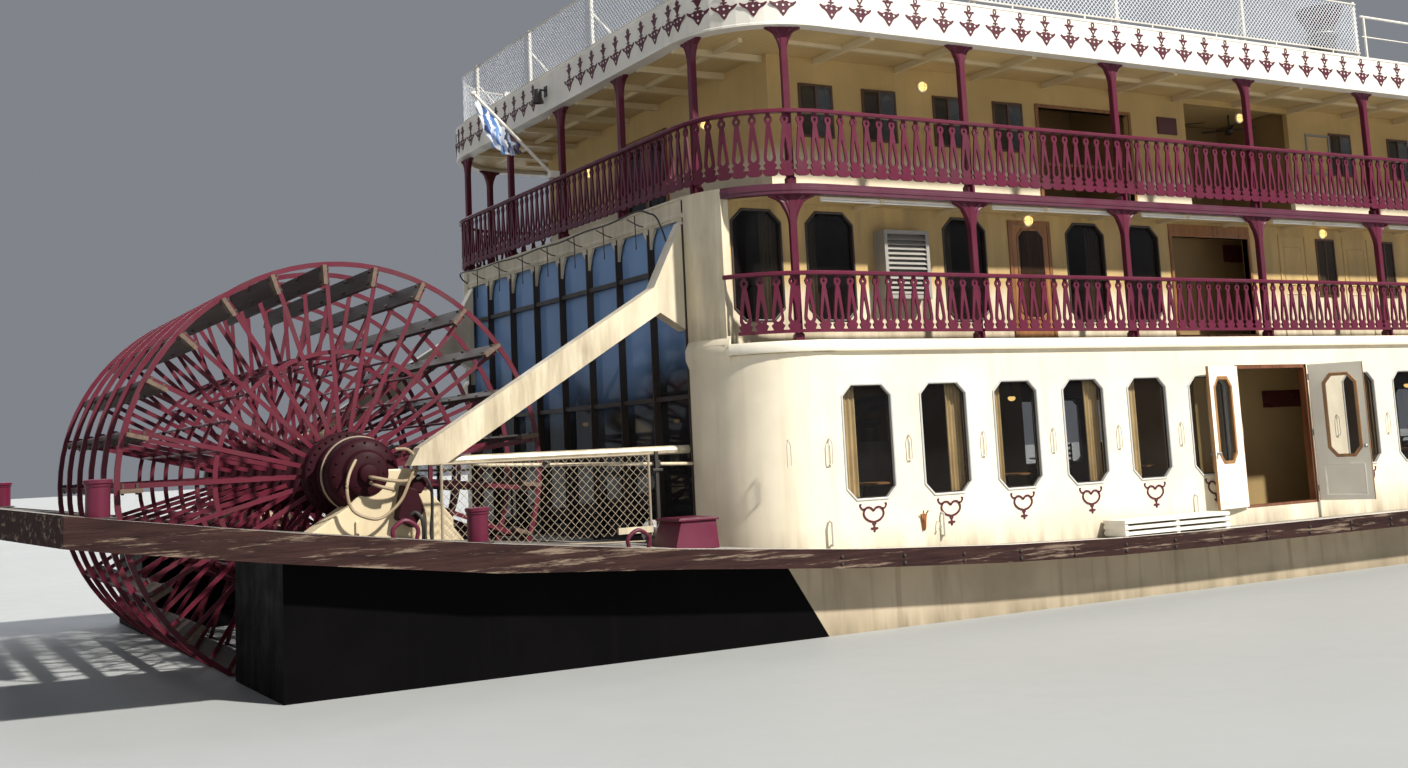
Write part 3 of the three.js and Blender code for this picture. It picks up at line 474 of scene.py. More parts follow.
def buildPlanks(tree, given):
    # boards side by side along x: row = floor(y / width), each row shifted by a random part of the length;
    # seams are dark where the position in the board is near its edge, and each board has its own shade
    part = addNode(tree, "SeparateXYZ", {0: addNode(tree, "TexCoord").outputs["Object"]})
    row = reckon(tree, "DIVIDE", part.outputs["Y"], given["Width"])
    rowIndex = reckon(tree, "FLOOR", row)
    shift = addNode(tree, "TexWhiteNoise", {"W": rowIndex}, noise_dimensions="1D").outputs["Value"]
    length = reckon(tree, "ADD", reckon(tree, "DIVIDE", part.outputs["X"], given["Length"]),
                    reckon(tree, "MULTIPLY", shift, 7.0))
    board = addNode(tree, "CombineXYZ", {0: reckon(tree, "FLOOR", length), 1: rowIndex}).outputs[0]
    shade = addNode(tree, "TexWhiteNoise", {"Vector": board}, noise_dimensions="2D").outputs["Value"]

    def nearEdge(value, width):
        inside = reckon(tree, "ABSOLUTE", reckon(tree, "SUBTRACT", reckon(tree, "FRACT", value), 0.5))
        return spread(tree, inside, 0.5 - width, 0.5 - width * 0.3)

    return {"Seam": reckon(tree, "MAXIMUM", nearEdge(row, 0.06), nearEdge(length, 0.004)), "Shade": shade}


plankSeams = makeGroup("plankSeams", {"Width": 0.07, "Length": 1.8}, ("Seam", "Shade"), buildPlanks)


def buildGrime(tree, given):
    # grime = fades upward from low to high, broken by blotches and by drips running down
    height = addNode(tree, "SeparateXYZ", {0: addNode(tree, "TexCoord").outputs["Object"]}).outputs["Z"]
    fade = addNode(tree, "MapRange", {"Value": height, "From Min": given["High"],
                                      "From Max": given["Low"]}).outputs[0]
    drips = spread(tree, noise(tree, place(tree, (5, 5, 0.7)), 1.0, 6, 0.65), 0.35, 0.65, 0.15, 1.0)
    return {"Mask": reckon(tree, "MULTIPLY", reckon(tree, "MULTIPLY", fade, drips), given["Amount"], True)}


wallGrime = makeGroup("wallGrime", {"Low": 0.0, "High": 0.5, "Amount": 0.6}, ("Mask",), buildGrime)


def buildScuffs(tree, given):
    # scuffs = thin scratches, where a stretched noise crosses its middle value, inside worn patches
    lines = reckon(tree, "ABSOLUTE", reckon(tree, "SUBTRACT", noise(tree, place(tree, (30, 30, 9)), 1.0, 3),
                                            0.5))
    thin = spread(tree, lines, 0.0, 0.012, 1.0, 0.0)
    patch = spread(tree, noise(tree, place(tree), given["Scale"], 5, 0.7), 0.55, 0.68)
    chips = spread(tree, noise(tree, place(tree), 26.0, 5, 0.75), 0.68, 0.71)
    return {"Mask": reckon(tree, "MULTIPLY", reckon(tree, "MAXIMUM", reckon(tree, "MULTIPLY", thin, patch),
                                                    chips), given["Amount"], True)}


paintScuffs = makeGroup("paintScuffs", {"Scale": 2.0, "Amount": 0.5}, ("Mask",), buildScuffs)


def startMaterial(name, **fixed):
    # a material with its constants set on the shader's own sockets
    material = bpy.data.materials.new(name)
    material.use_nodes = True
    tree = material.node_tree
    shader = tree.nodes["Principled BSDF"]
    names = {"metal": "Metallic", "coat": "Coat Weight", "coatRough": "Coat Roughness",
             "rough": "Roughness", "through": "Transmission Weight", "ior": "IOR", "sheen": "Sheen Weight",
             "specular": "Specular IOR Level"}
    for key, value in fixed.items():
        shader.inputs[names[key]].default_value = value
    return material, tree, shader


def joinFinish(tree, shader, colour, rough=None, height=None, depth=0.001, strength=0.4):
    tree.links.new(colour, shader.inputs["Base Color"])
    if rough is not None:
        tree.links.new(rough, shader.inputs["Roughness"])
    if height is not None:
        bump = addNode(tree, "Bump", {"Height": height, "Strength": strength, "Distance": depth})
        tree.links.new(bump.outputs["Normal"], shader.inputs["Normal"])


def normalPart(tree, axis):
    # one part of the surface's direction in the piece's own axes
    return addNode(tree, "SeparateXYZ", {0: addNode(tree, "TexCoord").outputs["Normal"]}).outputs[axis]


def makePaint(name, colour, stain=(0.35, 0.27, 0.17), scale=0.9, blotch=0.22, streak=0.25, rough=0.42,
              coat=0.1, scuff=0.0, under=(0.12, 0.09, 0.07), grime=None, metal=0.0, specular=0.5):
    # brushed paint with stains, and with scuffs down to the undercoat and grime towards a level where
    # they are asked for
    material, tree, shader = startMaterial(name, coat=coat, coatRough=0.35, metal=metal, specular=specular)
    paint = useGroup(tree, agedPaint, Colour=solidColour(*colour), Stain=solidColour(*stain), Scale=scale,
                     Blotch=blotch, Streak=streak, Rough=rough)
    result = paint.outputs["Colour"]
    if scuff:
        worn = useGroup(tree, paintScuffs, Scale=scale * 2.5, Amount=scuff).outputs["Mask"]
        result = mix(tree, worn, result, solidColour(*under))
    for low, high, amount, dirt in grime or ():
        dirty = useGroup(tree, wallGrime, Low=low, High=high, Amount=amount).outputs["Mask"]
        result = mix(tree, dirty, result, solidColour(*dirt))
    joinFinish(tree, shader, result, paint.outputs["Roughness"], paint.outputs["Height"], 0.0008, 0.5)
    return material


def makeTimber(name, light, dark, stretch=(2, 40, 40), rough=0.55, coat=0.0, bump=0.0012):
    material, tree, shader = startMaterial(name, coat=coat, coatRough=0.25)
    wood = useGroup(tree, timberGrain, Light=solidColour(*light), Dark=solidColour(*dark), Stretch=stretch)
    joinFinish(tree, shader, wood.outputs["Colour"], reckon(tree, "ADD", wood.outputs["Roughness"], rough,
                                                            True), wood.outputs["Height"], bump, 0.6)
    return material


dirt = (0.20, 0.15, 0.09)
creamPaint = makePaint("cream_paint_wall", (0.78, 0.71, 0.54), (0.52, 0.42, 0.26), blotch=0.25, streak=0.35,
                       rough=0.40, grime=[(2.342, 2.60, 0.55, dirt), (3.635, 3.85, 0.45, dirt)])


def makeGalleryPaint():
    # cream low on the wall; above it, a darker, yellower cream as painted shade under the deck above.
    # Height above the deck = z - 2.342, less 1.293 where z > 3.6
    material, tree, shader = startMaterial("gallery_paint_painted_shade_high", specular=0.3, coat=0.05)
    z = addNode(tree, "SeparateXYZ", {0: place(tree)}).outputs["Z"]
    above = reckon(tree, "SUBTRACT", reckon(tree, "SUBTRACT", z, 2.342),
                   reckon(tree, "MULTIPLY", reckon(tree, "GREATER_THAN", z, 3.6), 1.293))
    # painted shade: the yellower second colour stands in for the shade high on the gallery wall
    colour = mix(tree, spread(tree, above, 0.42, 0.56), solidColour(0.82, 0.735, 0.56),
                 solidColour(0.60, 0.43, 0.185))
    paint = useGroup(tree, agedPaint, Colour=colour, Stain=solidColour(0.36, 0.26, 0.12), Scale=0.9,
                     Blotch=0.25, Streak=0.3, Rough=0.42)
    result = paint.outputs["Colour"]
    for low, high in ((2.342, 2.60), (3.635, 3.85)):
        dirty = useGroup(tree, wallGrime, Low=low, High=high, Amount=0.45).outputs["Mask"]
        result = mix(tree, dirty, result, solidColour(*dirt))
    joinFinish(tree, shader, result, paint.outputs["Roughness"], paint.outputs["Height"], 0.0008, 0.5)
    return material


galleryPaintShadedHigh = makeGalleryPaint()
paleCream = makePaint("pale_cream_paint", (0.84, 0.80, 0.69), (0.56, 0.48, 0.36), rough=0.38)
whitePaint = makePaint("white_paint_trim", (0.76, 0.74, 0.68), (0.50, 0.44, 0.34), blotch=0.2, streak=0.4,
                       rough=0.38)
burgundyPaint = makePaint("burgundy_paint_rail", (0.100, 0.008, 0.030), (0.045, 0.010, 0.018), scale=2.2,
                          blotch=0.5, streak=0.35, rough=0.38, coat=0.10, scuff=0.12,
                          under=(0.26, 0.12, 0.12), specular=0.3)
motifPaint = makePaint("burgundy_paint_motif", (0.075, 0.006, 0.022), (0.04, 0.01, 0.015), blotch=0.3,
                       streak=0.2, rough=0.45)
beamPaint = makePaint("purple_paint_beam", (0.082, 0.012, 0.034), (0.05, 0.012, 0.025), scale=1.5,
                      blotch=0.4, streak=0.3, rough=0.4)
blackPaint = makePaint("black_paint_funnel", (0.018, 0.017, 0.016), (0.10, 0.07, 0.05), blotch=0.3,
                       streak=0.5, rough=0.42)
darkFrame = makePaint("dark_frame_paint", (0.030, 0.022, 0.018), (0.12, 0.09, 0.07), blotch=0.35,
                      streak=0.3, rough=0.4)
paleFrame = makePaint("pale_frame_paint", (0.50, 0.51, 0.50), (0.30, 0.27, 0.22), rough=0.4)
steelPipe = makePaint("pale_pipe_paint", (0.58, 0.57, 0.53), (0.28, 0.20, 0.13), scale=3.0, blotch=0.45,
                      streak=0.3, rough=0.42)
darkSteel = makePaint("dark_steel", (0.055, 0.050, 0.048), (0.16, 0.08, 0.04), scale=3.0, blotch=0.5,
                      streak=0.3, rough=0.45, metal=0.4)
wornSteel = makePaint("worn_steel", (0.30, 0.30, 0.31), (0.14, 0.09, 0.06), scale=4.0, blotch=0.5,
                      streak=0.4, rough=0.35, metal=0.8)
rubberBlack = makePaint("black_hose_rubber", (0.022, 0.022, 0.024), (0.07, 0.06, 0.05), scale=5, blotch=0.4,
                        streak=0.1, rough=0.55)
brownTimber = makeTimber("varnished_brown_timber", (0.235, 0.085, 0.032), (0.075, 0.022, 0.010),
                         (26, 26, 2.2), 0.22, coat=0.5)
trimTimber = makeTimber("varnished_orange_timber", (0.36, 0.16, 0.055), (0.15, 0.06, 0.022), (26, 26, 2.2),
                        0.22, coat=0.4)
ochreTimber = makeTimber("ochre_edge_timber", (0.42, 0.22, 0.075), (0.19, 0.085, 0.03), (26, 26, 2.2), 0.35,
                         coat=0.2)
print("shared finishes ready")

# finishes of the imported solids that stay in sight


def dress(material, *names):
    for name in names:
        for holder in nodes[name].material_slots:
            holder.material = material


def makeHullPaint():
    # cream plating with faint frames and seams, the cream darkened in part as painted shade under the guard;
    # black aft of a line that leans back as it rises, near zero and dull, partly black paint and partly
    # painted deep shade under the stern; grimy low down
    material, tree, shader = startMaterial("hull_paint", specular=0.02)
    # cream darkened in part as painted shade: the hull side lies under the guard's overhang
    cream = useGroup(tree, agedPaint, Colour=solidColour(0.45, 0.38, 0.28),
                     Stain=solidColour(0.20, 0.155, 0.10), Scale=0.7, Blotch=0.4, Streak=0.7, Rough=0.42)
    # near-zero black: partly black paint, partly painted deep shade under the stern overhang
    black = useGroup(tree, agedPaint, Colour=solidColour(0.0028, 0.0026, 0.0030),
                     Stain=solidColour(0.006, 0.005, 0.005), Scale=1.2, Blotch=0.35, Streak=0.35,
                     Rough=0.75)
    part = addNode(tree, "SeparateXYZ", {0: addNode(tree, "TexCoord").outputs["Object"]})
    leaning = reckon(tree, "ADD", part.outputs["X"], reckon(tree, "MULTIPLY", part.outputs["Z"], 0.631))
    dirty = useGroup(tree, wallGrime, Low=0.0, High=0.17, Amount=0.85).outputs["Mask"]
    side = mix(tree, dirty, cream.outputs["Colour"], solidColour(0.17, 0.15, 0.10))
    colour = mix(tree, spread(tree, leaning, -10.6355, -10.6395), side, black.outputs["Colour"])
    plateEdge = reckon(tree, "ABSOLUTE",
                       reckon(tree, "SUBTRACT",
                              reckon(tree, "FRACT", reckon(tree, "DIVIDE", part.outputs["X"], 1.5)), 0.5))
    seam = spread(tree, plateEdge, 0.495, 0.499)
    height = reckon(tree, "SUBTRACT", cream.outputs["Height"], reckon(tree, "MULTIPLY", seam, 2.0))
    joinFinish(tree, shader, colour, cream.outputs["Roughness"], height, 0.001, 0.5)
    return material


def makeHousePaint():
    # cream outside; inside, where the surface looks towards the middle of the house, dark varnished boards,
    # kept dark partly as painted shade of the dim room
    material, tree, shader = startMaterial("house_wall", coat=0.1, coatRough=0.35)
    cream = useGroup(tree, agedPaint, Colour=solidColour(0.80, 0.735, 0.585),
                     Stain=solidColour(0.50, 0.42, 0.28), Scale=0.8, Blotch=0.28, Streak=0.4, Rough=0.40)
    # painted shade: the inner boards are this dark partly to keep the room behind the windows dim
    wood = useGroup(tree, timberGrain, Light=solidColour(0.16, 0.065, 0.028),
                    Dark=solidColour(0.05, 0.018, 0.010), Stretch=(22.0, 22.0, 2.0))
    spot = addNode(tree, "TexCoord")
    fromMiddle = addNode(tree, "VectorMath", {0: spot.outputs["Object"], 1: (-2.5, 0, 1.3)},
                         operation="SUBTRACT").outputs[0]
    flat = addNode(tree, "VectorMath", {0: fromMiddle, 1: (0.35, 1, 0)}, operation="MULTIPLY").outputs[0]
    facing = addNode(tree, "VectorMath", {0: spot.outputs["Normal"], 1: flat},
                     operation="DOT_PRODUCT").outputs["Value"]
    outside = spread(tree, facing, -0.02, 0.0)
    dirty = useGroup(tree, wallGrime, Low=0.56, High=0.85, Amount=0.7).outputs["Mask"]
    wall = mix(tree, dirty, cream.outputs["Colour"], solidColour(0.20, 0.15, 0.09))
    joinFinish(tree, shader, mix(tree, outside, wood.outputs["Colour"], wall), cream.outputs["Roughness"],
               cream.outputs["Height"], 0.0008, 0.5)
    return material


def makeDeckBoards(name, board, side, below, width=0.07, topAbove=0.5):
    # weathered boards with tarred seams on top, paint on the edges, and tongue-and-groove boards across
    # the underside
    material, tree, shader = startMaterial(name)
    planks = useGroup(tree, plankSeams, Width=width, Length=1.9)
    wood = useGroup(tree, timberGrain, Light=solidColour(*board),
                    Dark=solidColour(*(0.45 * c for c in board)), Stretch=(3.0, 45.0, 45.0))
    shade = spread(tree, planks.outputs["Shade"], 0.0, 1.0, 0.72, 1.12)
    tinted = mix(tree, 1.0, wood.outputs["Colour"],
                 addNode(tree, "CombineColor", {0: shade, 1: shade, 2: shade}).outputs[0], "MULTIPLY")
    top = mix(tree, planks.outputs["Seam"], tinted, solidColour(0.03, 0.028, 0.025))
    edge = useGroup(tree, agedPaint, Colour=solidColour(*side), Stain=solidColour(*(0.5 * c for c in side)),
                    Scale=1.0, Blotch=0.3, Streak=0.3, Rough=0.45)
    under = useGroup(tree, agedPaint, Colour=solidColour(*below),
                     Stain=solidColour(*(0.6 * c for c in below)), Scale=1.0, Blotch=0.3, Streak=0.0,
                     Rough=0.45)
    part = addNode(tree, "SeparateXYZ", {0: addNode(tree, "TexCoord").outputs["Object"]})
    groove = reckon(tree, "ABSOLUTE",
                    reckon(tree, "SUBTRACT",
                           reckon(tree, "FRACT", reckon(tree, "DIVIDE", part.outputs["X"], 0.06)), 0.5))
    line = spread(tree, groove, 0.44, 0.5)
    ceiling = mix(tree, reckon(tree, "MULTIPLY", line, 0.6), under.outputs["Colour"],
                  solidColour(0.25, 0.19, 0.11))
    up = normalPart(tree, 2)
    isTop, isBelow = spread(tree, up, topAbove - 0.02, topAbove + 0.02), spread(tree, up, -0.48, -0.52)
    colour = mix(tree, isBelow, mix(tree, isTop, edge.outputs["Colour"], top), ceiling)
    seams = reckon(tree, "ADD", reckon(tree, "MULTIPLY", planks.outputs["Seam"], isTop),
                   reckon(tree, "MULTIPLY", line, isBelow))
    height = reckon(tree, "SUBTRACT", reckon(tree, "MULTIPLY", wood.outputs["Height"], isTop),
                    reckon(tree, "MULTIPLY", seams, 1.5))
    rough = reckon(tree, "ADD", edge.outputs["Roughness"], reckon(tree, "MULTIPLY", isTop, 0.25), True)
    joinFinish(tree, shader, colour, rough, height, 0.0015, 0.6)
    return material


def makeGuardTimber():
    # dark red-brown worn timber with long grain, and pale worn paint on its top
    material, tree, shader = startMaterial("guard_timber", specular=0.08)
    wood = useGroup(tree, timberGrain, Light=solidColour(0.052, 0.026, 0.023),
                    Dark=solidColour(0.012, 0.006, 0.007), Stretch=(2.2, 34.0, 34.0))
    worn = spread(tree, noise(tree, place(tree, (1.1, 12, 16)), 1.0, 6, 0.75), 0.54, 0.62)
    side = mix(tree, reckon(tree, "MULTIPLY", worn, 0.6), wood.outputs["Colour"],
               solidColour(0.30, 0.235, 0.175))
    pale = useGroup(tree, agedPaint, Colour=solidColour(0.62, 0.60, 0.56),
                    Stain=solidColour(0.24, 0.19, 0.15), Scale=2.5, Blotch=0.6, Streak=0.0, Rough=0.6)
    top = spread(tree, normalPart(tree, 2), 0.5, 0.6)
    joinFinish(tree, shader, mix(tree, top, side, pale.outputs["Colour"]),
               reckon(tree, "ADD", wood.outputs["Roughness"], 0.55, True), wood.outputs["Height"], 0.003,
               0.7)
    return material


def makeGlass(name, high, low, clear, level, shine=0.5):
    # pane that reflects: its tint goes from the low to the high colour across a level of height, with
    # faint smears; a light high colour is a painted reflection of the sky; the alpha lets the room behind it
    # show
    material, tree, shader = startMaterial(name, ior=1.5, specular=shine)
    smear = noise(tree, place(tree, (3, 3, 1.2)), 1.0, 5, 0.6)
    height = addNode(tree, "SeparateXYZ", {0: place(tree)}).outputs["Z"]
    rise = spread(tree, reckon(tree, "ADD", height,
                               spread(tree, noise(tree, place(tree, (1, 0.8, 0.3)), 1.0, 3), 0.3, 0.7,
                                      -0.25, 0.25)), level - 0.25, level + 0.25)
    colour = mix(tree, rise, solidColour(*low), solidColour(*high))
    joinFinish(tree, shader, colour, spread(tree, smear, 0.35, 0.75, 0.02, 0.08), smear, 0.0006, 0.12)
    tree.links.new(spread(tree, smear, 0.3, 0.7, clear - 0.04, clear + 0.04), shader.inputs["Alpha"])
    return material


hullPaint = makeHullPaint()
housePaint = makeHousePaint()
guardTimber = makeGuardTimber()
greyBoards = makeDeckBoards("deck_boards_main", (0.46, 0.44, 0.40), (0.74, 0.66, 0.48), (0.72, 0.64, 0.47))
# the gallery and roof decks' underside colour is a darker, yellowed cream: painted shade under the decks
galleryBoards = makeDeckBoards("deck_boards_gallery", (0.30, 0.275, 0.245), (0.84, 0.76, 0.56),
                               (0.68, 0.51, 0.24))
roofBoards = makeDeckBoards("deck_boards_roof", (0.50, 0.48, 0.44), (0.80, 0.76, 0.66), (0.68, 0.51, 0.24))
sternBoards = makeDeckBoards("deck_plates_stern", (0.20, 0.185, 0.17), (0.10, 0.07, 0.06),
                             (0.05, 0.045, 0.04), width=0.5)
# stern glass: the blue high colour is a painted sky reflection on the upper panes, and the near-black, nearly
# opaque low colour is painted shade of the dim room behind
sternGlassPaintedSky = makeGlass("stern_glass_painted_sky_and_shade", (0.24, 0.43, 0.76), (0.018, 0.020, 0.022), 0.80, 2.1)
paneGlass = makeGlass("window_pane_glass", (0.012, 0.012, 0.013), (0.010, 0.009, 0.009), 0.22, 1.5, 0.25)
galleryGlass = makeGlass("gallery_pane_glass", (0.020, 0.022, 0.028), (0.012, 0.010, 0.010), 0.5, 3.2, 0.3)

dress(hullPaint, "hull")
dress(housePaint, "deckhouse_starboard", "deckhouse_port", "deckhouse_front")
dress(galleryPaintShadedHigh, "cabin_2_starboard", "cabin_2_port", "cabin_2_front", "cabin_3_starboard",
      "cabin_3_port", "cabin_3_front", "cabin_3_aft")
dress(creamPaint, "wheelhouse", "brace_starboard", "brace_port")
dress(greyBoards, "main_deck")
dress(galleryBoards, "deck_2", "deck_3")
dress(roofBoards, "sun_deck")
dress(sternBoards, "stern_deck")
dress(guardTimber, "guard_starboard", "guard_port")
dress(sternGlassPaintedSky, "stern_glass")
dress(blackPaint, "funnel_starboard", "funnel_port", "rudder_starboard", "rudder_port")
dress(burgundyPaint, "wheelhouse_roof", "windlass", "stern_winch")
dress(whitePaint, "signal_mast", "flagstaff", "boarding_step")
dress(paleCream, "door_aft_starboard", "door_fore_starboard", "door_aft_port", "door_fore_port")
dress(brownTimber, "wheelhouse_door_starboard", "wheelhouse_door_port")
dress(makeTimber("landing_stage_timber", (0.42, 0.33, 0.24), (0.16, 0.11, 0.08), (3, 40, 40)),
      "landing_stage")
dress(wornSteel, "engine_block")

# smooth skin round the stern corners, and the moulded edge of the deck above round the stern corners and the
# front of the house
turn = np.radians(np.linspace(180, 270, 25))
corner = np.stack([cornerEnd + (house["corner"] + 0.006) * np.cos(turn), -5.1 + (house["corner"] + 0.006)
                   * np.sin(turn), np.full(25, 1.30)], 1)
corner = np.concatenate([corner, [[cornerEnd + 0.08, -house["half"] - 0.001, 1.30]]])
skin = carry(corner, [(-0.03, 0), (0, 0), (0, 3.19), (-0.03, 3.19)])
makePiece("house_corner_skin", [skin, mirrorPart(skin)], housePaint, smooth=True)
around = housePath("all", -0.068, levels["deck2"] - 0.178)
quarter = np.radians(np.linspace(212, 270, 9))
aftCorner = np.stack([cornerEnd + (house["corner"] + 0.068) * np.cos(quarter),
                      -5.1 + (house["corner"] + 0.068) * np.sin(quarter), np.full(9, around[0, 2])], 1)
edgePath = np.concatenate([aftCorner, housePath("front", -0.068, around[0, 2]),
                           (aftCorner * [1, -1, 1])[::-1]])
makePiece("deck_2_edge",
          [carry(edgePath, [(-0.06, 0), (0.004, 0), (0.014, 0.02), (0.014, 0.15), (0.004, 0.172),
                            (-0.06, 0.172)])], paleCream, smooth=True)
tail = np.radians(np.linspace(180, 212, 7))
ridge = np.stack([cornerEnd + (house["corner"] + 0.004) * np.cos(tail), -5.1 + (house["corner"] + 0.004)
                  * np.sin(tail), np.full(7, around[0, 2] - 0.02)], 1)
ridge = carry(ridge, [(-0.03, -0.22), (0.0, -0.16), (0.064, 0.0), (0.067, 0.16), (0.0, 0.30), (-0.03, 0.34)])
makePiece("deck_2_edge_stern", [ridge, mirrorPart(ridge)], housePaint, smooth=True)
print("packed solids dressed")

# railings: flat fretwork boards between a moulded handrail and the deck

rail = {"step": 3.699 / 14, "thick": 0.030, "lift": 0.13, "hand": 0.07, "firstPost": -21.386,
        "postStep": 3.699}
handProfile = [(-0.050, -0.024), (-0.040, -0.035), (0.048, -0.035), (0.060, -0.024), (0.060, 0.016),
               (0.044, 0.035), (-0.034, 0.035), (-0.050, 0.018)]
# one fretwork board: heights, half width and half width of the slot at each
lowerBoard = {"heights": [0, 0.052, 0.054, 0.085, 0.115, 0.128, 0.161, 0.185, 0.205, 0.235, 0.27, 0.42,
                          0.58, 0.70, 0.765, 0.80, 0.84, 0.88, 0.905, 0.935],
              "half": [0.1321, 0.1321, 0.078, 0.093, 0.111, 0.111, 0.075, 0.087, 0.098, 0.101, 0.099, 0.082,
                       0.062, 0.045, 0.036, 0.057, 0.071, 0.057, 0.036, 0.034],
              "slot": [0, 0, 0, 0, 0, 0, 0, 0, 0.030, 0.048, 0.050, 0.029, 0, 0, 0, 0, 0.029, 0, 0, 0]}
upperBoard = {"heights": [0, 0.015, 0.05, 0.10, 0.108, 0.110, 0.14, 0.17, 0.183, 0.216, 0.24, 0.26, 0.29,
                          0.325, 0.49, 0.66, 0.80, 0.865, 0.905, 0.948, 0.99, 1.015, 1.05],
              "half": [0.060, 0.100, 0.128, 0.1321, 0.1321, 0.078, 0.093, 0.111, 0.111, 0.075, 0.087, 0.098,
                       0.101, 0.099, 0.082, 0.062, 0.045, 0.036, 0.057, 0.071, 0.057, 0.036, 0.034],
              "slot": [0, 0, 0, 0, 0, 0, 0, 0, 0, 0, 0, 0.030, 0.048, 0.050, 0.029, 0, 0, 0, 0, 0.029, 0, 0,
                       0]}


def makeRailing(name, run, floor, top, board, node, feet):
    # handrail profile carried along the face, boards every step, and a small foot at each post
    path = housePath(run, 0, top - rail["hand"] / 2)
    inner = housePath(run, rail["thick"], floor + rail["lift"])
    total = pathLength(inner)
    if run in ("stern", "front"):
        count = round(total / rail["step"])
        distances = (np.arange(count) + 0.5) * total / count
    else:  # from the post places outward, so that every bay holds the same boards
        straight = inner[np.argmin(abs(inner[:, 0] - house["frontStart"]))]
        forward = inner[0, 0] < straight[0] or run == "galleryStarboard"
        fromFront = (house["frontStart"]
                     - rail["firstPost"]) % rail["step"] + rail["step"] * (np.arange(200) + 0.5)
        fromFront = np.concatenate([[fromFront[0] - rail["step"]], fromFront])
        fromFront = fromFront[(fromFront > 0.1) & (fromFront < total - 0.1)]
        distances = total - fromFront if forward else fromFront
    places, along = placesOn(inner, distances)
    part = boards(board["heights"], board["half"], board["slot"], rail["thick"])
    parts = [carry(path, handProfile), copies(part, places, along, (0, 0, 1), outOf(along))]
    if len(feet):
        spots = np.array(feet)
        middle = np.c_[spots[:, :2], np.full(len(spots), floor)]
        parts.append(boxes(middle - [0.022, 0.022, -0.002], middle + [0.022, 0.022, rail["lift"] + 0.04]))
    makePiece(name, parts, burgundyPaint, stands=(node,))


def postPlaces(run, inset=0.135):
    # post middles and the direction of the edge there
    if run == "stern":
        y = np.arange(2, -3, -1) * 2.676
        x = house["aft"] + inset + np.where(abs(y) > 5, 0.033, 0)
        return np.stack([x, y], 1), np.tile([0.0, -1.0], (5, 1))
    if run == "front":
        turn = np.radians([-60, -30, 0, 30, 60])
        rx, ry = house["frontLength"] - inset, house["half"] - inset
        spots = np.stack([house["frontStart"] + rx * np.cos(turn), ry * np.sin(turn)], 1)
        return spots, unit(np.stack([-rx * np.sin(turn), ry * np.cos(turn)], 1))
    x = rail["firstPost"] + rail["postStep"] * np.arange(10)
    radius = house["corner"] - inset
    lean = np.minimum(x - cornerEnd, 0) / radius
    bend = radius * (1 - np.sqrt(1 - lean ** 2))
    along = unit(np.stack([np.sqrt(1 - lean ** 2), lean], 1))
    spots = np.stack([x, -(house["half"] - inset) + bend], 1)
    if run == "port":
        return spots * [1, -1], along * [-1, 1]
    return spots, along


def feetOf(run, inset=0.022, skip=0):
    return postPlaces(run, inset)[0][skip:]


for run, gallery in (("starboard", "galleryStarboard"), ("port", "galleryPort"), ("front", "front")):
    skip = 0 if run == "front" else 1
    makeRailing(f"railing_2_{run}", gallery, levels["deck2"], levels["rail2"], lowerBoard, f"rail_2_{run}",
                feetOf(run, skip=skip))
for run in ("starboard", "port", "front", "stern"):
    skip = 0 if run in ("front", "stern") else 1
    makeRailing(f"railing_3_{run}", run, levels["deck3"], levels["rail3"], upperBoard, f"rail_3_{run}",
                feetOf(run, skip=skip))
print("railings ready")

# posts with fluted, flared capitals and the beam over the lower ones

postSize = {"shaft": 0.06, "plinth": 0.082, "plinthHigh": 0.10, "capitalThick": 0.052, "flutes": 5}
# points of the capital: depth below the top, half width
capitalCurve = np.array([(0, 0.40), (0.03, 0.395), (0.055, 0.34), (0.085, 0.265), (0.13, 0.205),
                         (0.20, 0.165), (0.28, 0.120), (0.37, 0.086), (0.45, 0.068), (0.50, 0.063)])


def capital(high, half):
    # each row reaches out to the curve's half width; across it the face swells and sinks in flutes of a
    # cosine
    depth = capitalCurve[:, 0] * high / 0.5
    reach = 0.063 + (capitalCurve[:, 1] - 0.063) * (half - 0.063) / (0.40 - 0.063)
    across = np.linspace(-1, 1, 21)
    u = reach[:, None] * across
    wave = 0.009 * np.cos(np.pi * postSize["flutes"] * across) * np.linspace(0.4, 1.0,
                                                                             len(depth))[::-1][:, None]
    edge = np.where(abs(across) > 0.99, 0.35, 1.0)
    w = (postSize["capitalThick"] + wave) * edge
    v = np.broadcast_to(-depth[:, None], u.shape)
    front, back = np.stack([u, v, w], -1), np.stack([u, v, -w], -1)[:, ::-1]
    loop = np.concatenate([front, back], 1)
    rows, columns = loop.shape[:2]
    caps = [np.arange(columns)[None], np.arange(columns)[None] + (rows - 1) * columns]
    return loop.reshape(-1, 3), [gridFaces(rows, columns, False, True)] + caps


def shaft(length, half, plinth=True):
    rows = [(0, postSize["plinth"]), (postSize["plinthHigh"], postSize["plinth"]),
            (postSize["plinthHigh"] + 0.03, half), (length, half)] if plinth else [(0, half),
                                                                                   (length, half)]
    chamfer = 0.16
    corner = np.array([(1, -1 + chamfer), (1, 1 - chamfer), (1 - chamfer, 1), (-1 + chamfer, 1),
                       (-1, 1 - chamfer), (-1, -1 + chamfer), (-1 + chamfer, -1), (1 - chamfer, -1)])
    points = np.array([[(c[0] * s, v, c[1] * s) for c in corner] for v, s in rows])
    return points.reshape(-1, 3), [gridFaces(len(rows), 8, False, True), np.arange(8)[None],
                                   np.arange(8)[None] + (len(rows) - 1) * 8]


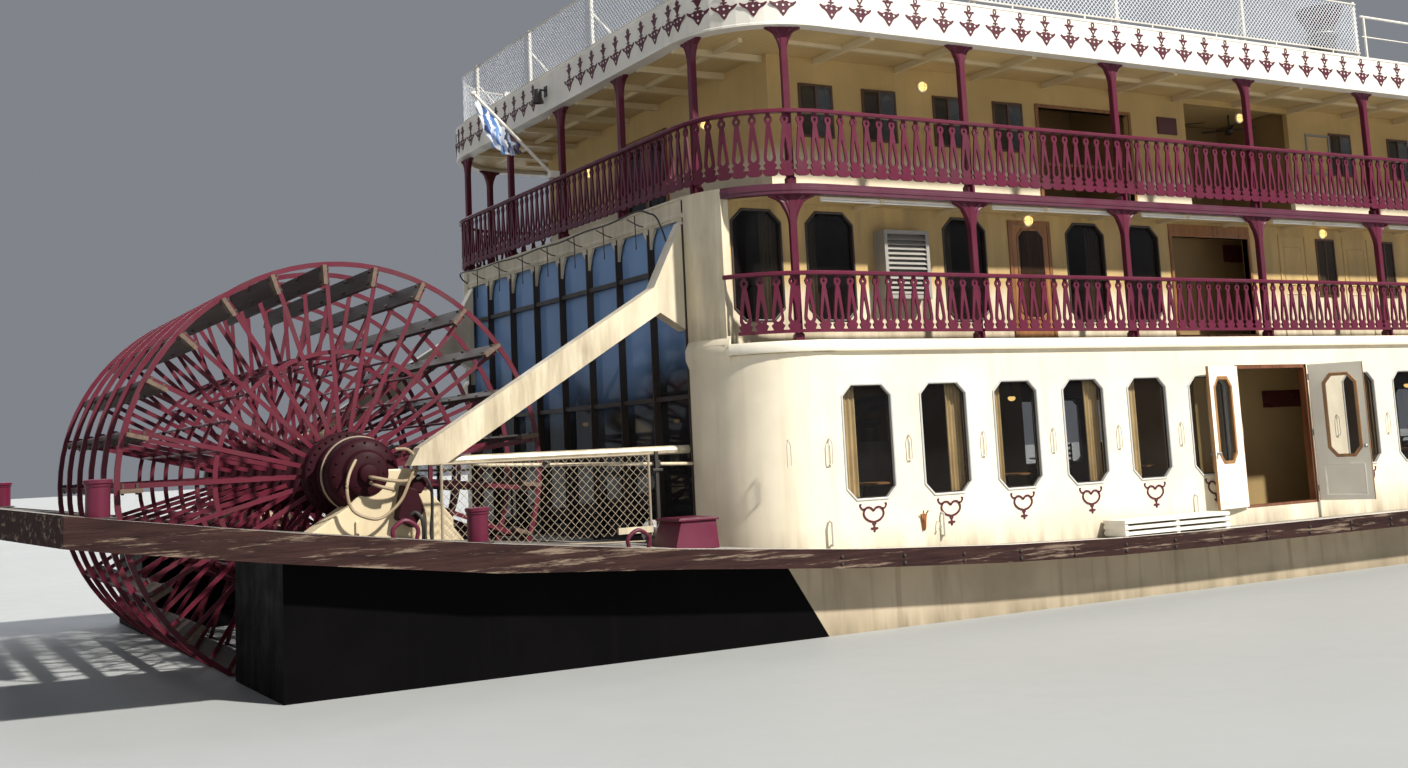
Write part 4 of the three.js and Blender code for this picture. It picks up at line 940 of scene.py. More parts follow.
def postParts(run, floor, top, capitalHigh, capitalHalf, skip=0):
    spots, along = postPlaces(run)
    spots, along = spots[skip:], along[skip:]
    foot, head = np.c_[spots, np.full(len(spots), floor + 0.001)], np.c_[spots, np.full(len(spots), top)]
    along3 = np.c_[along, np.zeros(len(along))]
    outward = outOf(along3)
    return [copies(shaft(top - floor - 0.002, postSize["shaft"]), foot, along3, (0, 0, 1), outward),
            copies(capital(capitalHigh, capitalHalf), head, along3, (0, 0, 1), outward)]


beamProfile = [(-0.2, 0), (0, 0), (0, 0.05), (0.012, 0.06), (0.012, 0.11), (0, 0.12), (0, 0.17), (-0.2, 0.17)]
for run, gallery in (("starboard", "galleryStarboard"), ("port", "galleryPort"), ("front", "front")):
    makePiece(f"posts_lower_{run}", postParts(run, levels["deck2"], levels["beam"] - 0.001, 0.5, 0.4),
              burgundyPaint, stands=(f"posts_2_{run}",))
    makePiece(f"beam_{run}", [carry(housePath(gallery, 0, levels["beam"]), beamProfile)], beamPaint,
              stands=(f"posts_2_{run}",))
for run in ("starboard", "port", "front", "stern"):
    parts = postParts(run, levels["deck3"], levels["fasciaLow"] - 0.001, 0.40, 0.31,
                      skip=1 if run in ("starboard", "port") else 0)
    if run == "stern":
        for side in ("starboard", "port"):
            spots, along = (a[:1] for a in postPlaces(side))
            along3 = np.c_[along, [0]]
            length = levels["fasciaLow"] - levels["deck3"]
            parts += [copies(shaft(length - 0.002, postSize["shaft"]),
                             np.c_[spots, [levels["deck3"] + 0.001]], along3, (0, 0, 1), outOf(along3)),
                      copies(capital(0.40, 0.31), np.c_[spots, [levels["fasciaLow"] - 0.001]], along3,
                             (0, 0, 1), outOf(along3))]
    makePiece(f"posts_upper_{run}", parts, burgundyPaint, stands=(f"fascia_{run}",))
print("posts ready")

# white fascia round the roof edge with its row of stencilled ornaments

fasciaProfile = [(0.0, 0.0), (0.07, 0.0), (0.07, 0.035), (0.058, 0.05), (0.058, 0.70), (0.070, 0.715),
                 (0.070, 0.76), (0.001, 0.76), (0.001, 0.08), (-0.20, 0.08), (-0.20, 0.0)]
for run in ("starboard", "port", "front", "stern"):
    makePiece(f"fascia_board_{run}", [carry(housePath(run, 0, levels["fasciaLow"]), fasciaProfile)],
              whitePaint, stands=(f"fascia_{run}",))

motifThick = 0.008
halfTulip = np.array([(0, 0), (0.040, 0.045), (0.085, 0.115), (0.125, 0.155), (0.185, 0.185),
                      (0.235, 0.235), (0.225, 0.262), (0.165, 0.235), (0.115, 0.235), (0.070, 0.262),
                      (0.030, 0.262), (0.014, 0.245)])
halfTick = np.array([(0.012, 0.255), (0.012, 0.285), (0.060, 0.290), (0.058, 0.308), (0, 0.318)])
halfBarb = np.array([(0.070, 0.425), (0.118, 0.440), (0.105, 0.462), (0.030, 0.462), (0, 0.455)])


def bothHalves(half):
    # the half outline going up on the right, then its mirror image coming down on the left
    half = np.asarray(half)
    inner = half[1:-1] if abs(half[-1, 0]) < 1e-9 and abs(half[0, 0]) < 1e-9 else (half[1:]
                                                                                   if abs(half[0, 0]) < 1e-9
                                                                                   else half)
    mirrored = (inner if abs(half[-1, 0]) > 1e-9
                else half[(0 if abs(half[0, 0]) > 1e-9 else 1):-1])[::-1] * [-1, 1]
    return np.concatenate([half, mirrored])


def groupCopies(parts, places, along, up, outward):
    return [copies(part, places, along, up, outward) for part in parts]


motifBase = [plate(bothHalves(half), motifThick) for half in (halfTulip, halfTick, halfBarb)]
motifParts = motifBase + [ringOf([(0, 0.305), (0.088, 0.445), (-0.088, 0.445)],
                                 [(-0.028, 0), (-0.028, motifThick - 0.001), (0, motifThick - 0.001),
                                  (0, 0)]), ringOf([(0, 0.450), (0.040, 0.485), (0.044, 0.535), (0, 0.600),
                                                    (-0.044, 0.535), (-0.040, 0.485)],
                                                   [(-0.025, 0), (-0.025, motifThick - 0.001),
                                                    (0, motifThick - 0.001), (0, 0)])]
motifSolid = motifBase + [plate([(0.018, 0.25), (0.020, 0.33), (0.088, 0.445), (-0.088, 0.445),
                                 (-0.020, 0.33), (-0.018, 0.25)], motifThick - 0.001),
                          plate([(0, 0.440), (0.046, 0.480), (0.062, 0.525), (0.030, 0.545), (0, 0.600),
                                 (-0.030, 0.545), (-0.062, 0.525), (-0.046, 0.480)], motifThick - 0.001)]
dotPart = plate(ring(0.019, 8), 0.003)
face = -0.058 - 0.0005
motifLow = 10.08
for run in ("starboard", "port", "front", "stern"):
    path = housePath(run, face, motifLow)
    total = pathLength(path)
    if run in ("starboard", "port"):
        x = -20.56 + 0.6 * np.arange(58)
        distances = x - cornerEnd if run == "starboard" else house["frontStart"] - x
    elif run == "stern":
        quarter = pathLength(housePath("stern", face, motifLow)[:13])
        half = [quarter - 0.22 - 0.50 * k for k in range(5)]
        middle = quarter + house["half"] - house["corner"]
        y = 0.9 + 0.515 * np.arange(9)
        distances = np.concatenate([half[::-1], middle - y[::-1], middle + y, [total - d for d in half]])
        distances = distances[(distances > 0.3) & (distances < total - 0.3)]
    else:
        count = round(total / 0.6)
        distances = (np.arange(count) + 0.5) * total / count
    places, along = placesOn(path, distances)
    outward = outOf(along)
    makePiece(f"fascia_ornament_{run}", groupCopies(motifSolid if run == "stern" else motifParts, places,
                                                    along, (0, 0, 1), outward), motifPaint)
    dots = [places + along * u + np.array([0, 0, v]) + outward * (motifThick + 0.0004) for u,
            v in ((0, 0.085), (0, 0.19), (-0.105, 0.198), (0.105, 0.198))]
    makePiece(f"fascia_dots_{run}", [copies(dotPart, spot, along, (0, 0, 1), outward) for spot in dots],
              whitePaint)
print("fascia ready")

# paddle wheel: rings of angle bar, T-bar spokes, timber blades with their clamps, hub discs and shaft

wheel = {"x": -28.01, "z": 2.89, "radius": 3.38, "inner": 1.94, "spokes": 25, "phase": 180.28, "planes": 6,
         "half": 3.43, "bladeIn": 3.0, "bladeOut": 3.32, "bladeThick": 0.062, "bladeHalf": 3.63}
wheelPaint = makePaint("burgundy_paint_wheel", (0.100, 0.007, 0.022), (0.045, 0.014, 0.016), scale=3.0,
                       blotch=0.6, streak=0.2, rough=0.40, coat=0.08, scuff=0.12, under=(0.22, 0.11, 0.08),
                       specular=0.35)
drumPaint = makePaint("burgundy_paint_drum", (0.024, 0.003, 0.007), (0.012, 0.004, 0.005), scale=3.0,
                      blotch=0.5, streak=0.3, rough=0.55, coat=0.0, specular=0.12)


def makeBladeTimber():
    # wet black-brown boards that have dried and bleached to light brown outside the outer rings
    material, tree, shader = startMaterial("blade_timber")
    wood = useGroup(tree, timberGrain, Light=solidColour(0.060, 0.042, 0.034),
                    Dark=solidColour(0.016, 0.011, 0.010), Stretch=(30.0, 2.2, 30.0))
    pale = useGroup(tree, timberGrain, Light=solidColour(0.17, 0.115, 0.078),
                    Dark=solidColour(0.06, 0.04, 0.03), Stretch=(30.0, 2.2, 30.0))
    reach = reckon(tree, "ABSOLUTE", addNode(tree, "SeparateXYZ",
                                             {0: addNode(tree, "TexCoord").outputs["Object"]}).outputs["Y"])
    ends = spread(tree, reckon(tree, "ADD", reach, spread(tree, noise(tree, place(tree), 9.0), 0.3, 0.7,
                                                          -0.02, 0.02)), 1.68, 1.72)
    joinFinish(tree, shader, mix(tree, ends, wood.outputs["Colour"], pale.outputs["Colour"]),
               reckon(tree, "ADD", wood.outputs["Roughness"], 0.5, True), wood.outputs["Height"], 0.002, 0.7)
    return material


bladeTimber = makeBladeTimber()
spokeTurn = np.radians(wheel["phase"] + 360 / wheel["spokes"] * np.arange(wheel["spokes"]))
radial = np.stack([np.cos(spokeTurn), 0 * spokeTurn, np.sin(spokeTurn)], 1)
tangent = np.stack([-np.sin(spokeTurn), 0 * spokeTurn, np.cos(spokeTurn)], 1)
planeY = np.linspace(-wheel["half"], wheel["half"], wheel["planes"])
wheelMiddle = np.array([wheel["x"], 0, wheel["z"]])


def everySpoke(values=planeY):
    # the wheel's middle line at each plane, repeated for each spoke, with the spoke's directions
    spots = wheelMiddle + np.stack([0 * values, values, 0 * values], 1)
    count = len(values)
    return (np.repeat(spots, wheel["spokes"], 0), np.tile(radial, (count, 1)), np.tile(tangent, (count, 1)))


def hoop(radius, y, profile, segments=75):
    turn = np.linspace(0, 2 * np.pi, segments, endpoint=False) + np.radians(wheel["phase"])
    path = np.stack([wheel["x"] + radius * np.cos(turn), np.full(segments, y),
                     wheel["z"] + radius * np.sin(turn)], 1)
    return carry(path, profile, loop=True, upward=(0, 1, 0))


rimProfile = [(0, -0.04), (0, 0.04), (0.015, 0.04), (0.015, -0.024), (0.08, -0.024), (0.08, -0.04)]
innerProfile = [(-0.035, -0.010), (-0.035, 0.010), (0.035, 0.010), (0.035, -0.010)]
spokeShape = [(-0.035, -0.030), (0.035, -0.030), (0.035, -0.016), (0.008, -0.016), (0.008, 0.032),
              (-0.008, 0.032), (-0.008, -0.016), (-0.035, -0.016)]


def bar(start, end, shape):
    # straight bar along u with its section given as (v, w)
    shape = np.asarray(shape, float)
    n = len(shape)
    points = np.concatenate([np.c_[np.full(n, u), shape] for u in (start, end)])
    return points, [gridFaces(2, n, False, True), np.arange(n)[None], np.arange(n)[None] + n]


places, out, roundWay = everySpoke()
sideways = np.broadcast_to([0.0, 1.0, 0.0], out.shape)
spokes = copies(bar(0.55, wheel["radius"] - 0.02, spokeShape), places, out, roundWay, sideways)
rings = [hoop(wheel["radius"], y, rimProfile) for y in planeY] + [hoop(wheel["inner"], y + 0.028,
                                                                       innerProfile) for y in planeY]
makePiece("wheel_spokes", [spokes], wheelPaint, body="paddle_wheel",
          stands=("paddle_wheel",))
makePiece("wheel_rings", rings, wheelPaint, body="paddle_wheel", smooth=True,
          stands=("paddle_wheel",))

tieSpots, tieOut, tieRound = everySpoke(np.array([0.0]))
tieSide = np.broadcast_to([0.0, 1.0, 0.0], tieOut.shape)
ties = [copies(turned([(0.021, -wheel["half"]), (0.021, wheel["half"])], 6), tieSpots + tieOut * radius
               + tieRound * 0.03, tieOut, tieRound, tieSide)
        for radius in (wheel["inner"], wheel["radius"] - 0.07)]
makePiece("wheel_ties", ties, wheelPaint, body="paddle_wheel",
          stands=("paddle_wheel",))

bladeMiddle = (wheel["bladeIn"] + wheel["bladeOut"]) / 2
bladeSpots = tieSpots + tieOut * bladeMiddle + tieRound * (0.036 + wheel["bladeThick"] / 2)
bladeWave = np.linspace(-wheel["bladeHalf"], wheel["bladeHalf"], 13)
h, t = (wheel["bladeOut"] - wheel["bladeIn"]) / 2, wheel["bladeThick"] / 2
bladeEdge = np.array([(-h, -t + 0.008), (-h + 0.008, -t), (h - 0.008, -t), (h, -t + 0.008), (h, t - 0.008),
                      (h - 0.008, t), (-h + 0.008, t), (-h, t - 0.008)])
worn = 1 - 0.03 * np.abs(np.sin(bladeWave * 5.1))[:, None] * [1, 0]
bladePoints = np.concatenate([bladeEdge[None] * worn[:, None],
                              np.broadcast_to(bladeWave[:, None, None], (13, 8, 1))], -1).reshape(-1, 3)
blade = (bladePoints, [gridFaces(13, 8, False, True), np.arange(8)[None], np.arange(8)[None] + 96])
makePiece("wheel_blades", [copies(blade, bladeSpots, tieOut, tieRound, tieSide)], bladeTimber,
          body="paddle_wheel", stands=("paddle_wheel",))

clampPlaces, clampOut, clampRound = everySpoke()
clampSide = np.broadcast_to([0.0, 1.0, 0.0], clampOut.shape)
boltHead = turned([(0.018, 0), (0.018, 0.012), (0.011, 0.019), (0.001, 0.0195)], 6)
clampParts = []
for offset in (-0.1, 0.1):
    strap = boxes([bladeMiddle + offset - 0.018, -0.040, -0.05],
                  [bladeMiddle + offset + 0.018, 0.036 + wheel["bladeThick"] + 0.008, 0.05])
    clampParts.append(copies(strap, clampPlaces, clampOut, clampRound, clampSide))
    for y in (-0.035, 0.035):
        spots = clampPlaces + clampOut * (bladeMiddle + offset) + clampRound * (0.036 + wheel["bladeThick"]
                                                                                + 0.007) + clampSide * y
        clampParts.append(copies(boltHead, spots, clampOut, clampSide, clampRound))
makePiece("wheel_clamps", clampParts, darkSteel, body="paddle_wheel",
          stands=("paddle_wheel",))

axleX, axleZ = np.array([1.0, 0, 0]), np.array([0, 0, 1.0])


def onAxle(part, side=1.0, y=0.0):
    # a turned part set on the wheel's axis, its height measured outward on the given side
    return copies(part, wheelMiddle + [0, side * y, 0], axleX, axleZ, [0, side, 0])


def boltRing(radius, y, count, size=1.0, side=1.0):
    turn = 2 * np.pi * np.arange(count) / count
    spots = wheelMiddle + np.stack([radius * np.cos(turn), np.full(count, side * y), radius * np.sin(turn)],
                                   1)
    points, faces = boltHead
    return copies((points * size, faces), spots, axleX, axleZ, [0, side, 0])


def loopBand(profile, sides=56):
    # closed profile turned about its axis, so the band has no end caps
    points, faces = turned(profile, sides)
    count = len(profile)
    wrap = np.stack([np.arange(sides), (np.arange(sides) + 1) % sides, (np.arange(sides) + 1) % sides
                     + (count - 1) * sides, np.arange(sides) + (count - 1) * sides], 1)
    return points, [faces[0], wrap]


discProfile = [(0.235, -0.016), (0.60, -0.016), (0.62, -0.008), (0.62, 0.008), (0.60, 0.016), (0.235, 0.016)]
hubParts = [onAxle(turned([(0.24, -3.45), (0.24, 3.45)], 28))]
for y in planeY:
    hubParts.append(onAxle(loopBand(discProfile, 50), 1.0, y))
    hubParts += [boltRing(0.53, y + 0.016, 25), boltRing(0.40, y + 0.016, 12)]
for side in (-1.0, 1.0):
    hubParts.append(onAxle(turned([(0.23, 3.40), (0.45, 3.45), (0.64, 3.49), (0.665, 3.50), (0.665, 3.60),
                                   (0.655, 3.61), (0.655, 3.66), (0.665, 3.67), (0.665, 3.715),
                                   (0.645, 3.735), (0.56, 3.745), (0.535, 3.755), (0.525, 3.83),
                                   (0.50, 4.04), (0.49, 4.05), (0.001, 4.05)], 56), side))
    hubParts += [boltRing(0.61, 3.737, 32, 1.3, side)]
makePiece("wheel_hub", hubParts, drumPaint, body="paddle_wheel", smooth=True,
          stands=("paddle_wheel",))
print("paddle wheel ready")

# bearings: stepped drive housing with a strap, on a sloped pedestal, with its pipes and brake

housing = {"inner": 4.075, "outer": 4.87, "radius": 0.55}
r, o = housing["radius"], housing["outer"]
housingProfile = [(0.001, o), (0.10, o - 0.002), (0.135, o - 0.02), (0.15, o - 0.07), (0.165, o - 0.09),
                  (0.29, o - 0.105), (0.325, o - 0.125), (0.345, o - 0.17), (0.365, o - 0.195),
                  (0.44, o - 0.215), (0.505, o - 0.245), (0.54, o - 0.30), (r, o - 0.36), (r, 4.36),
                  (r + 0.012, 4.355), (r + 0.012, 4.21), (r, 4.205), (r, 4.13), (r + 0.02, 4.12),
                  (r + 0.02, housing["inner"] + 0.01), (r + 0.01, housing["inner"]),
                  (0.001, housing["inner"])][::-1]
strapProfile = [(r + 0.008, 4.262), (r + 0.028, 4.262), (r + 0.032, 4.268), (r + 0.032, 4.296),
                (r + 0.028, 4.302), (r + 0.008, 4.302)]
pedestalSide = np.array([(-28.85, 1.0), (-26.67, 1.0), (-26.67, 2.15), (-27.35, 2.93), (-27.75, 2.93),
                         (-28.3, 2.4), (-28.85, 2.05)])


def standingPlate(outline, y0, y1):
    # plate over an (x, z) outline between two values of y
    outline = np.asarray(outline, float)
    points, faces = plate(outline, 1.0)
    return np.stack([points[:, 0], y0 + (y1 - y0) * points[:, 2], points[:, 1]], 1), faces


pedestalPaint = makePaint("pedestal_cream_paint", (0.61, 0.52, 0.35), (0.34, 0.26, 0.15), scale=2.0,
                          blotch=0.4, streak=0.4, rough=0.45)
strapPaint = makePaint("tan_strap_paint", (0.34, 0.27, 0.20), (0.14, 0.09, 0.07), scale=4, blotch=0.5,
                       streak=0.2, rough=0.5)
tanPipe = makePaint("tan_pipe_paint", (0.29, 0.22, 0.14), (0.12, 0.08, 0.05), scale=5, blotch=0.5,
                    streak=0.2, rough=0.5)
for side, word in ((-1.0, "starboard"), (1.0, "port")):
    makePiece(f"drive_housing_{word}", [onAxle(turned(housingProfile, 56), side),
                                        boltRing(0.47, o - 0.225, 16, 1.2, side),
                                        boltRing(0.25, o - 0.105, 8, 1.0, side)], drumPaint, smooth=True,
              stands=(f"bearing_{word}",))
    makePiece(f"drive_strap_{word}", [onAxle(loopBand(strapProfile), side)], strapPaint, smooth=True,
              stands=(f"bearing_{word}",))
    s = side
    web = [standingPlate(pedestalSide, s * 4.18, s * 4.24), standingPlate(pedestalSide, s * 4.66, s * 4.72)]
    skin = np.array([(-28.85, 1.0), (-28.85, 2.05), (-28.3, 2.4), (-27.75, 2.93), (-27.35, 2.93),
                     (-26.67, 2.15), (-26.67, 1.0)])
    cover = carry(np.c_[skin[:, 0], np.full(7, s * 4.45), skin[:, 1]],
                  [(-0.012, -0.255), (0.012, -0.255), (0.012, 0.255), (-0.012, 0.255)], upward=(0, 1, 0))
    rib = [standingPlate([(x, 1.0), (x + 0.05, 1.0), (x + 0.05, top), (x, top)], s * 4.72, s * 4.76) for x,
           top in ((-28.2, 2.2), (-27.0, 2.3))]
    flange = box(-28.95, -26.57, min(s * 4.10, s * 4.80), max(s * 4.10, s * 4.80), 1.32, 1.50)
    gusset = standingPlate([(-26.67, 1.45), (-26.12, 1.45), (-26.67, 2.12)], s * 4.42, s * 4.47)
    makePiece(f"bearing_pedestal_{word}", web + [cover, flange, gusset] + rib, pedestalPaint,
              stands=(f"bearing_{word}",), bevel=0.008)
    brake = [standingPlate([(-27.62, 2.20), (-27.36, 2.05), (-27.20, 2.30), (-27.30, 2.62), (-27.52, 2.70)],
                           s * 4.73, s * 4.95), standingPlate([(-27.40, 2.62), (-27.22, 2.55),
                                                               (-27.12, 2.72), (-27.26, 2.86)], s * 4.73,
                                                              s * 4.88)]
    makePiece(f"bearing_brake_{word}", brake, drumPaint, bevel=0.02)
    grease = smoothPath([(-28.01, s * 4.86, 2.84), (-27.98, s * 4.97, 2.83), (-27.75, s * 5.02, 2.78),
                         (-27.48, s * 4.97, 2.76), (-27.32, s * 4.9, 2.86), (-27.27, s * 4.82, 3.0),
                         (-27.27, s * 4.74, 3.02)], 7)
    second = smoothPath([(-28.0, s * 4.86, 2.76), (-27.95, s * 4.95, 2.72), (-27.80, s * 4.98, 2.67),
                         (-27.68, s * 4.95, 2.64)], 5)
    makePiece(f"grease_pipe_{word}", [tube(grease, 0.028, 8), tube(second, 0.026, 8)], tanPipe, smooth=True)
    brakePipe = smoothPath([(-27.30, s * 4.90, 2.78), (-27.18, s * 4.93, 2.80), (-27.08, s * 4.92, 2.62),
                            (-27.05, s * 4.86, 2.3), (-27.06, s * 4.82, 1.9), (-26.95, s * 4.86, 1.58),
                            (-26.7, s * 4.92, 1.50)], 7)
    loop = smoothPath([(-27.92, s * 4.50, 3.38), (-28.06, s * 4.64, 3.25), (-28.31, s * 4.86, 2.92),
                       (-28.38, s * 4.95, 2.64), (-28.31, s * 4.97, 2.38), (-28.10, s * 5.0, 2.25),
                       (-27.87, s * 5.0, 2.24), (-27.60, s * 5.0, 2.45), (-27.45, s * 5.0, 2.74),
                       (-27.33, s * 4.96, 3.06), (-27.42, s * 4.88, 3.22), (-27.6, s * 4.84, 3.24)], 6)
    makePiece(f"drive_pipe_{word}", [tube(loop, 0.025, 8)], tanPipe, smooth=True)
    lower = smoothPath([(-27.45, s * 4.90, 2.22), (-27.34, s * 4.98, 2.28), (-27.24, s * 4.98, 2.10),
                        (-27.22, s * 4.90, 1.7), (-27.22, s * 4.84, 1.46)], 7)
    makePiece(f"brake_pipe_{word}", [tube(brakePipe, 0.024, 8), tube(lower, 0.028, 8)], rubberBlack,
              smooth=True)
print("bearings ready")

# stern glass wall: dark mullions and transoms, cream band with chamfered pane tops, cream corner panels

glassWall = {"x": -22.6, "half": 5.1, "panes": 8, "foot": 1.42, "mullion": 0.019,
             "transoms": (1.5, 3.9, 6.1), "spandrel": 0.21}
step = 2 * glassWall["half"] / glassWall["panes"]
lines = np.clip(-glassWall["half"] + step * np.arange(glassWall["panes"] + 1),
                -glassWall["half"] + glassWall["mullion"], glassWall["half"] - glassWall["mullion"])
x0 = glassWall["x"]
m = glassWall["mullion"]
mullions = [boxes(np.stack([0 * lines + x0, lines - m, 0 * lines + glassWall["foot"]], 1),
                  np.stack([0 * lines + x0 + 0.1, lines + m, 0 * lines + 6.94], 1)),
            boxes(np.stack([0 * lines + x0 - 0.035, lines - 0.012, 0 * lines + glassWall["foot"]], 1),
                  np.stack([0 * lines + x0 + 0.02, lines + 0.012, 0 * lines + 6.80], 1))]
rails = [box(x0, x0 + 0.1, -glassWall["half"], glassWall["half"], z - 0.04, z + 0.04)
         for z in glassWall["transoms"]]
makePiece("stern_mullions", mullions + rails, darkFrame, stands=("stern_frame",))
tops = []
for left in lines[:-1] + m:
    right = left + step - 2 * m
    a = glassWall["spandrel"]
    for corner, turn in ((left, 1), (right, -1)):
        outline = [(corner, 6.93), (corner, 6.93 - 2.1 * a), (corner + turn * a * 0.42, 6.93 - 1.0 * a),
                   (corner + turn * a * 1.05, 6.93 - 0.22 * a), (corner + turn * 1.3 * a, 6.93)]
        p, f = plate(np.array(outline), 1.0)
        tops.append((np.stack([x0 + 0.01 + 0.05 * p[:, 2], p[:, 0], p[:, 1]], 1), f))
bandProfile = [(-0.12, 0), (0.0, 0), (0.0, 0.03), (0.02, 0.05), (0.02, 0.10), (0.0, 0.12), (0.0, 0.33),
               (0.025, 0.35), (0.025, 0.38), (-0.12, 0.38)]
sternLine = np.array([(x0, glassWall["half"], 6.89), (x0, -glassWall["half"], 6.89)])
corner = []
for sign in (-1, 1):
    turn = np.radians(np.linspace(180, 210, 9))
    path = np.stack([cornerEnd + house["corner"] * np.cos(turn), -5.1 + house["corner"] * np.sin(turn),
                     np.full(9, levels["deck2"] + 0.001)], 1)
    path = np.concatenate([[[x0, -5.1 + 0.05, levels["deck2"] + 0.001]], path])
    wall = carry(path, [(-0.12, 0), (0, 0), (0, levels["deck3"] - levels["deck2"] - 0.002),
                        (-0.12, levels["deck3"] - levels["deck2"] - 0.002)])
    post = box(-22.345, -22.20, -5.935, -5.78, levels["deck2"] + 0.001, levels["deck3"] - 0.001)
    corner += [wall, post] if sign < 0 else [mirrorPart(wall), mirrorPart(post)]
makePiece("stern_band", [carry(sternLine, bandProfile)] + tops + corner, creamPaint,
          stands=("stern_frame",))
print("stern glass wall ready")

# windows of the deck house: bevelled trim, glass, and a gathered curtain drawn to one side

houseWindow = {"half": 0.49, "low": 2.09, "high": 3.945, "cut": 0.18, "step": 1.594, "aftRow": -20.281,
               "foreRow": -7.87}
galleryWindow = {"half": 0.48, "low": 5.1, "high": 6.96, "cut": 0.2,
                 "places": (-21.62, -20.13, -17.15, -14.17, -12.7)}
wall2, wall3 = 5.85, 4.85  # outer faces of the cabins on decks 2 and 3


def wallFrames(side, xs, z, y):
    # window middles on a side wall with the wall's own directions, seen from outside
    xs = np.asarray(xs, float)
    places = np.stack([xs, np.full(len(xs), side * y), np.full(len(xs), z)], 1)
    return places, np.tile([-side * 1.0, 0, 0], (len(xs), 1)), np.tile([0, side * 1.0, 0], (len(xs), 1))


def makeCloth(name, colour, shade):
    # woven curtain cloth: fine threads both ways, and blotches that go from the colour to a darker tone
    material, tree, shader = startMaterial(name, sheen=0.3)
    threads = addNode(tree, "TexWave", {"Vector": place(tree), "Scale": 120.0, "Distortion": 1.5},
                      bands_direction="Z").outputs["Fac"]
    warp = addNode(tree, "TexWave", {"Vector": place(tree), "Scale": 120.0, "Distortion": 1.5},
                   bands_direction="X").outputs["Fac"]
    weave = reckon(tree, "MULTIPLY", threads, warp)
    fade = spread(tree, noise(tree, place(tree), 3.0, 4), 0.35, 0.7)
    joinFinish(tree, shader, mix(tree, fade, solidColour(*colour), solidColour(*shade)),
               spread(tree, weave, 0, 1, 0.75, 0.92), weave, 0.0004, 0.5)
    return material


curtainCloth = makeCloth("curtain_cloth", (0.80, 0.60, 0.30), (0.52, 0.36, 0.16))
galleryCloth = makeCloth("gallery_curtain_cloth", (0.50, 0.38, 0.20), (0.30, 0.21, 0.11))
houseXs = np.concatenate([houseWindow["aftRow"] + houseWindow["step"] * np.arange(6), houseWindow["foreRow"]
                          + houseWindow["step"] * np.arange(14)])
houseZ = (houseWindow["low"] + houseWindow["high"]) / 2
galleryZ = (galleryWindow["low"] + galleryWindow["high"]) / 2
trimProfile = [(-0.012, -0.10), (-0.012, 0.012), (0.002, 0.018), (0.018, 0.018), (0.026, 0.010),
               (0.026, 0.0), (0.0, 0.0), (0.0, -0.10)]
sashProfile = [(-0.030, -0.075), (-0.030, -0.045), (-0.012, -0.045), (-0.012, -0.075)]


def makeCurtain(name, start, width, low, high, folds, depth, along, inward, material, body="ship", sweep=0.0):
    # cloth hung in folds: depth * sin(folds * 2 pi t) with the folds tighter at the gathered side, and
    # the hem drawn towards that side by the sweep
    t = np.linspace(0, 1, folds * 8 + 1)
    v = np.linspace(0, 1, 12)
    squeeze = t ** 1.15
    wave = depth * np.sin(2 * np.pi * folds * t) * (0.75 + 0.25 * np.cos(5 * t))
    u = width * squeeze
    drawn = 1 - sweep * np.sin(np.pi * np.clip(v / 0.7, 0, 1)) ** 2
    along, inward = np.asarray(along, float), np.asarray(inward, float)
    spots = (np.asarray(start, float) + (u[None] * drawn[:, None])[..., None] * along
             + (wave[None] * (0.7 + 0.3 * v[::-1])[:, None])[..., None] * inward
             + (low + v * (high - low))[:, None, None] * [0, 0, 1])
    piece = makePiece(name, [(spots.reshape(-1, 3), [gridFaces(len(v), len(t))])], material, body=body,
                      smooth=True)
    thick = piece.modifiers.new("cloth", "SOLIDIFY")
    thick.thickness, thick.offset = 0.0012, 0
    return piece


rods, panes, galleryPanes, trims, galleryTrims, sashes = [], [], [], [], [], []
curtainPlans = []
for side, word in ((-1, "starboard"), (1, "port")):
    places, along, outward = wallFrames(side, houseXs, houseZ, house["half"])
    up = (0, 0, 1)
    trims.append(copies(ringOf(octagon(houseWindow), trimProfile), places, along, up, outward))
    sashes.append(copies(ringOf(octagon(houseWindow), sashProfile), places, along, up, outward))
    panes.append(copies(plate(octagon(houseWindow, -0.02), 0.012), places - outward * 0.066, along, up,
                        outward))
    rods.append(copies(bar(-0.56, 0.56, ring(0.012, 6)), places - outward * 0.20 + [0, 0, 0.98], along, up,
                       outward))
    for index, x in enumerate(houseXs):
        left = index % 2 == 0 if index < 6 else index % 3 != 0
        curtainPlans.append((f"curtain_{word}_{index}", (x, side * (house["half"] - 0.20), 0),
                             along[index] * (-1 if left else 1), -outward[index], 0.34 if index % 4
                             else 0.42, houseWindow["low"] - 0.12, houseWindow["high"] + 0.03,
                             curtainCloth))
    places, along, outward = wallFrames(side, galleryWindow["places"], galleryZ, wall2)
    galleryTrims.append(copies(ringOf(octagon(galleryWindow), trimProfile), places, along, up, outward))
    galleryPanes.append(copies(plate(octagon(galleryWindow, -0.02), 0.012), places - outward * 0.066, along,
                               up, outward))
    rods.append(copies(bar(-0.58, 0.58, ring(0.012, 6)), places - outward * 0.20 + [0, 0, 0.97], along, up,
                       outward))
    for index, x in enumerate(galleryWindow["places"]):
        curtainPlans.append((f"gallery_curtain_{word}_{index}", (x, side * (wall2 - 0.20), 0),
                             along[index] * (1 if index in (0, 3) else -1), -outward[index], 0.36,
                             galleryWindow["low"] - 0.1, galleryWindow["high"] + 0.03, galleryCloth))

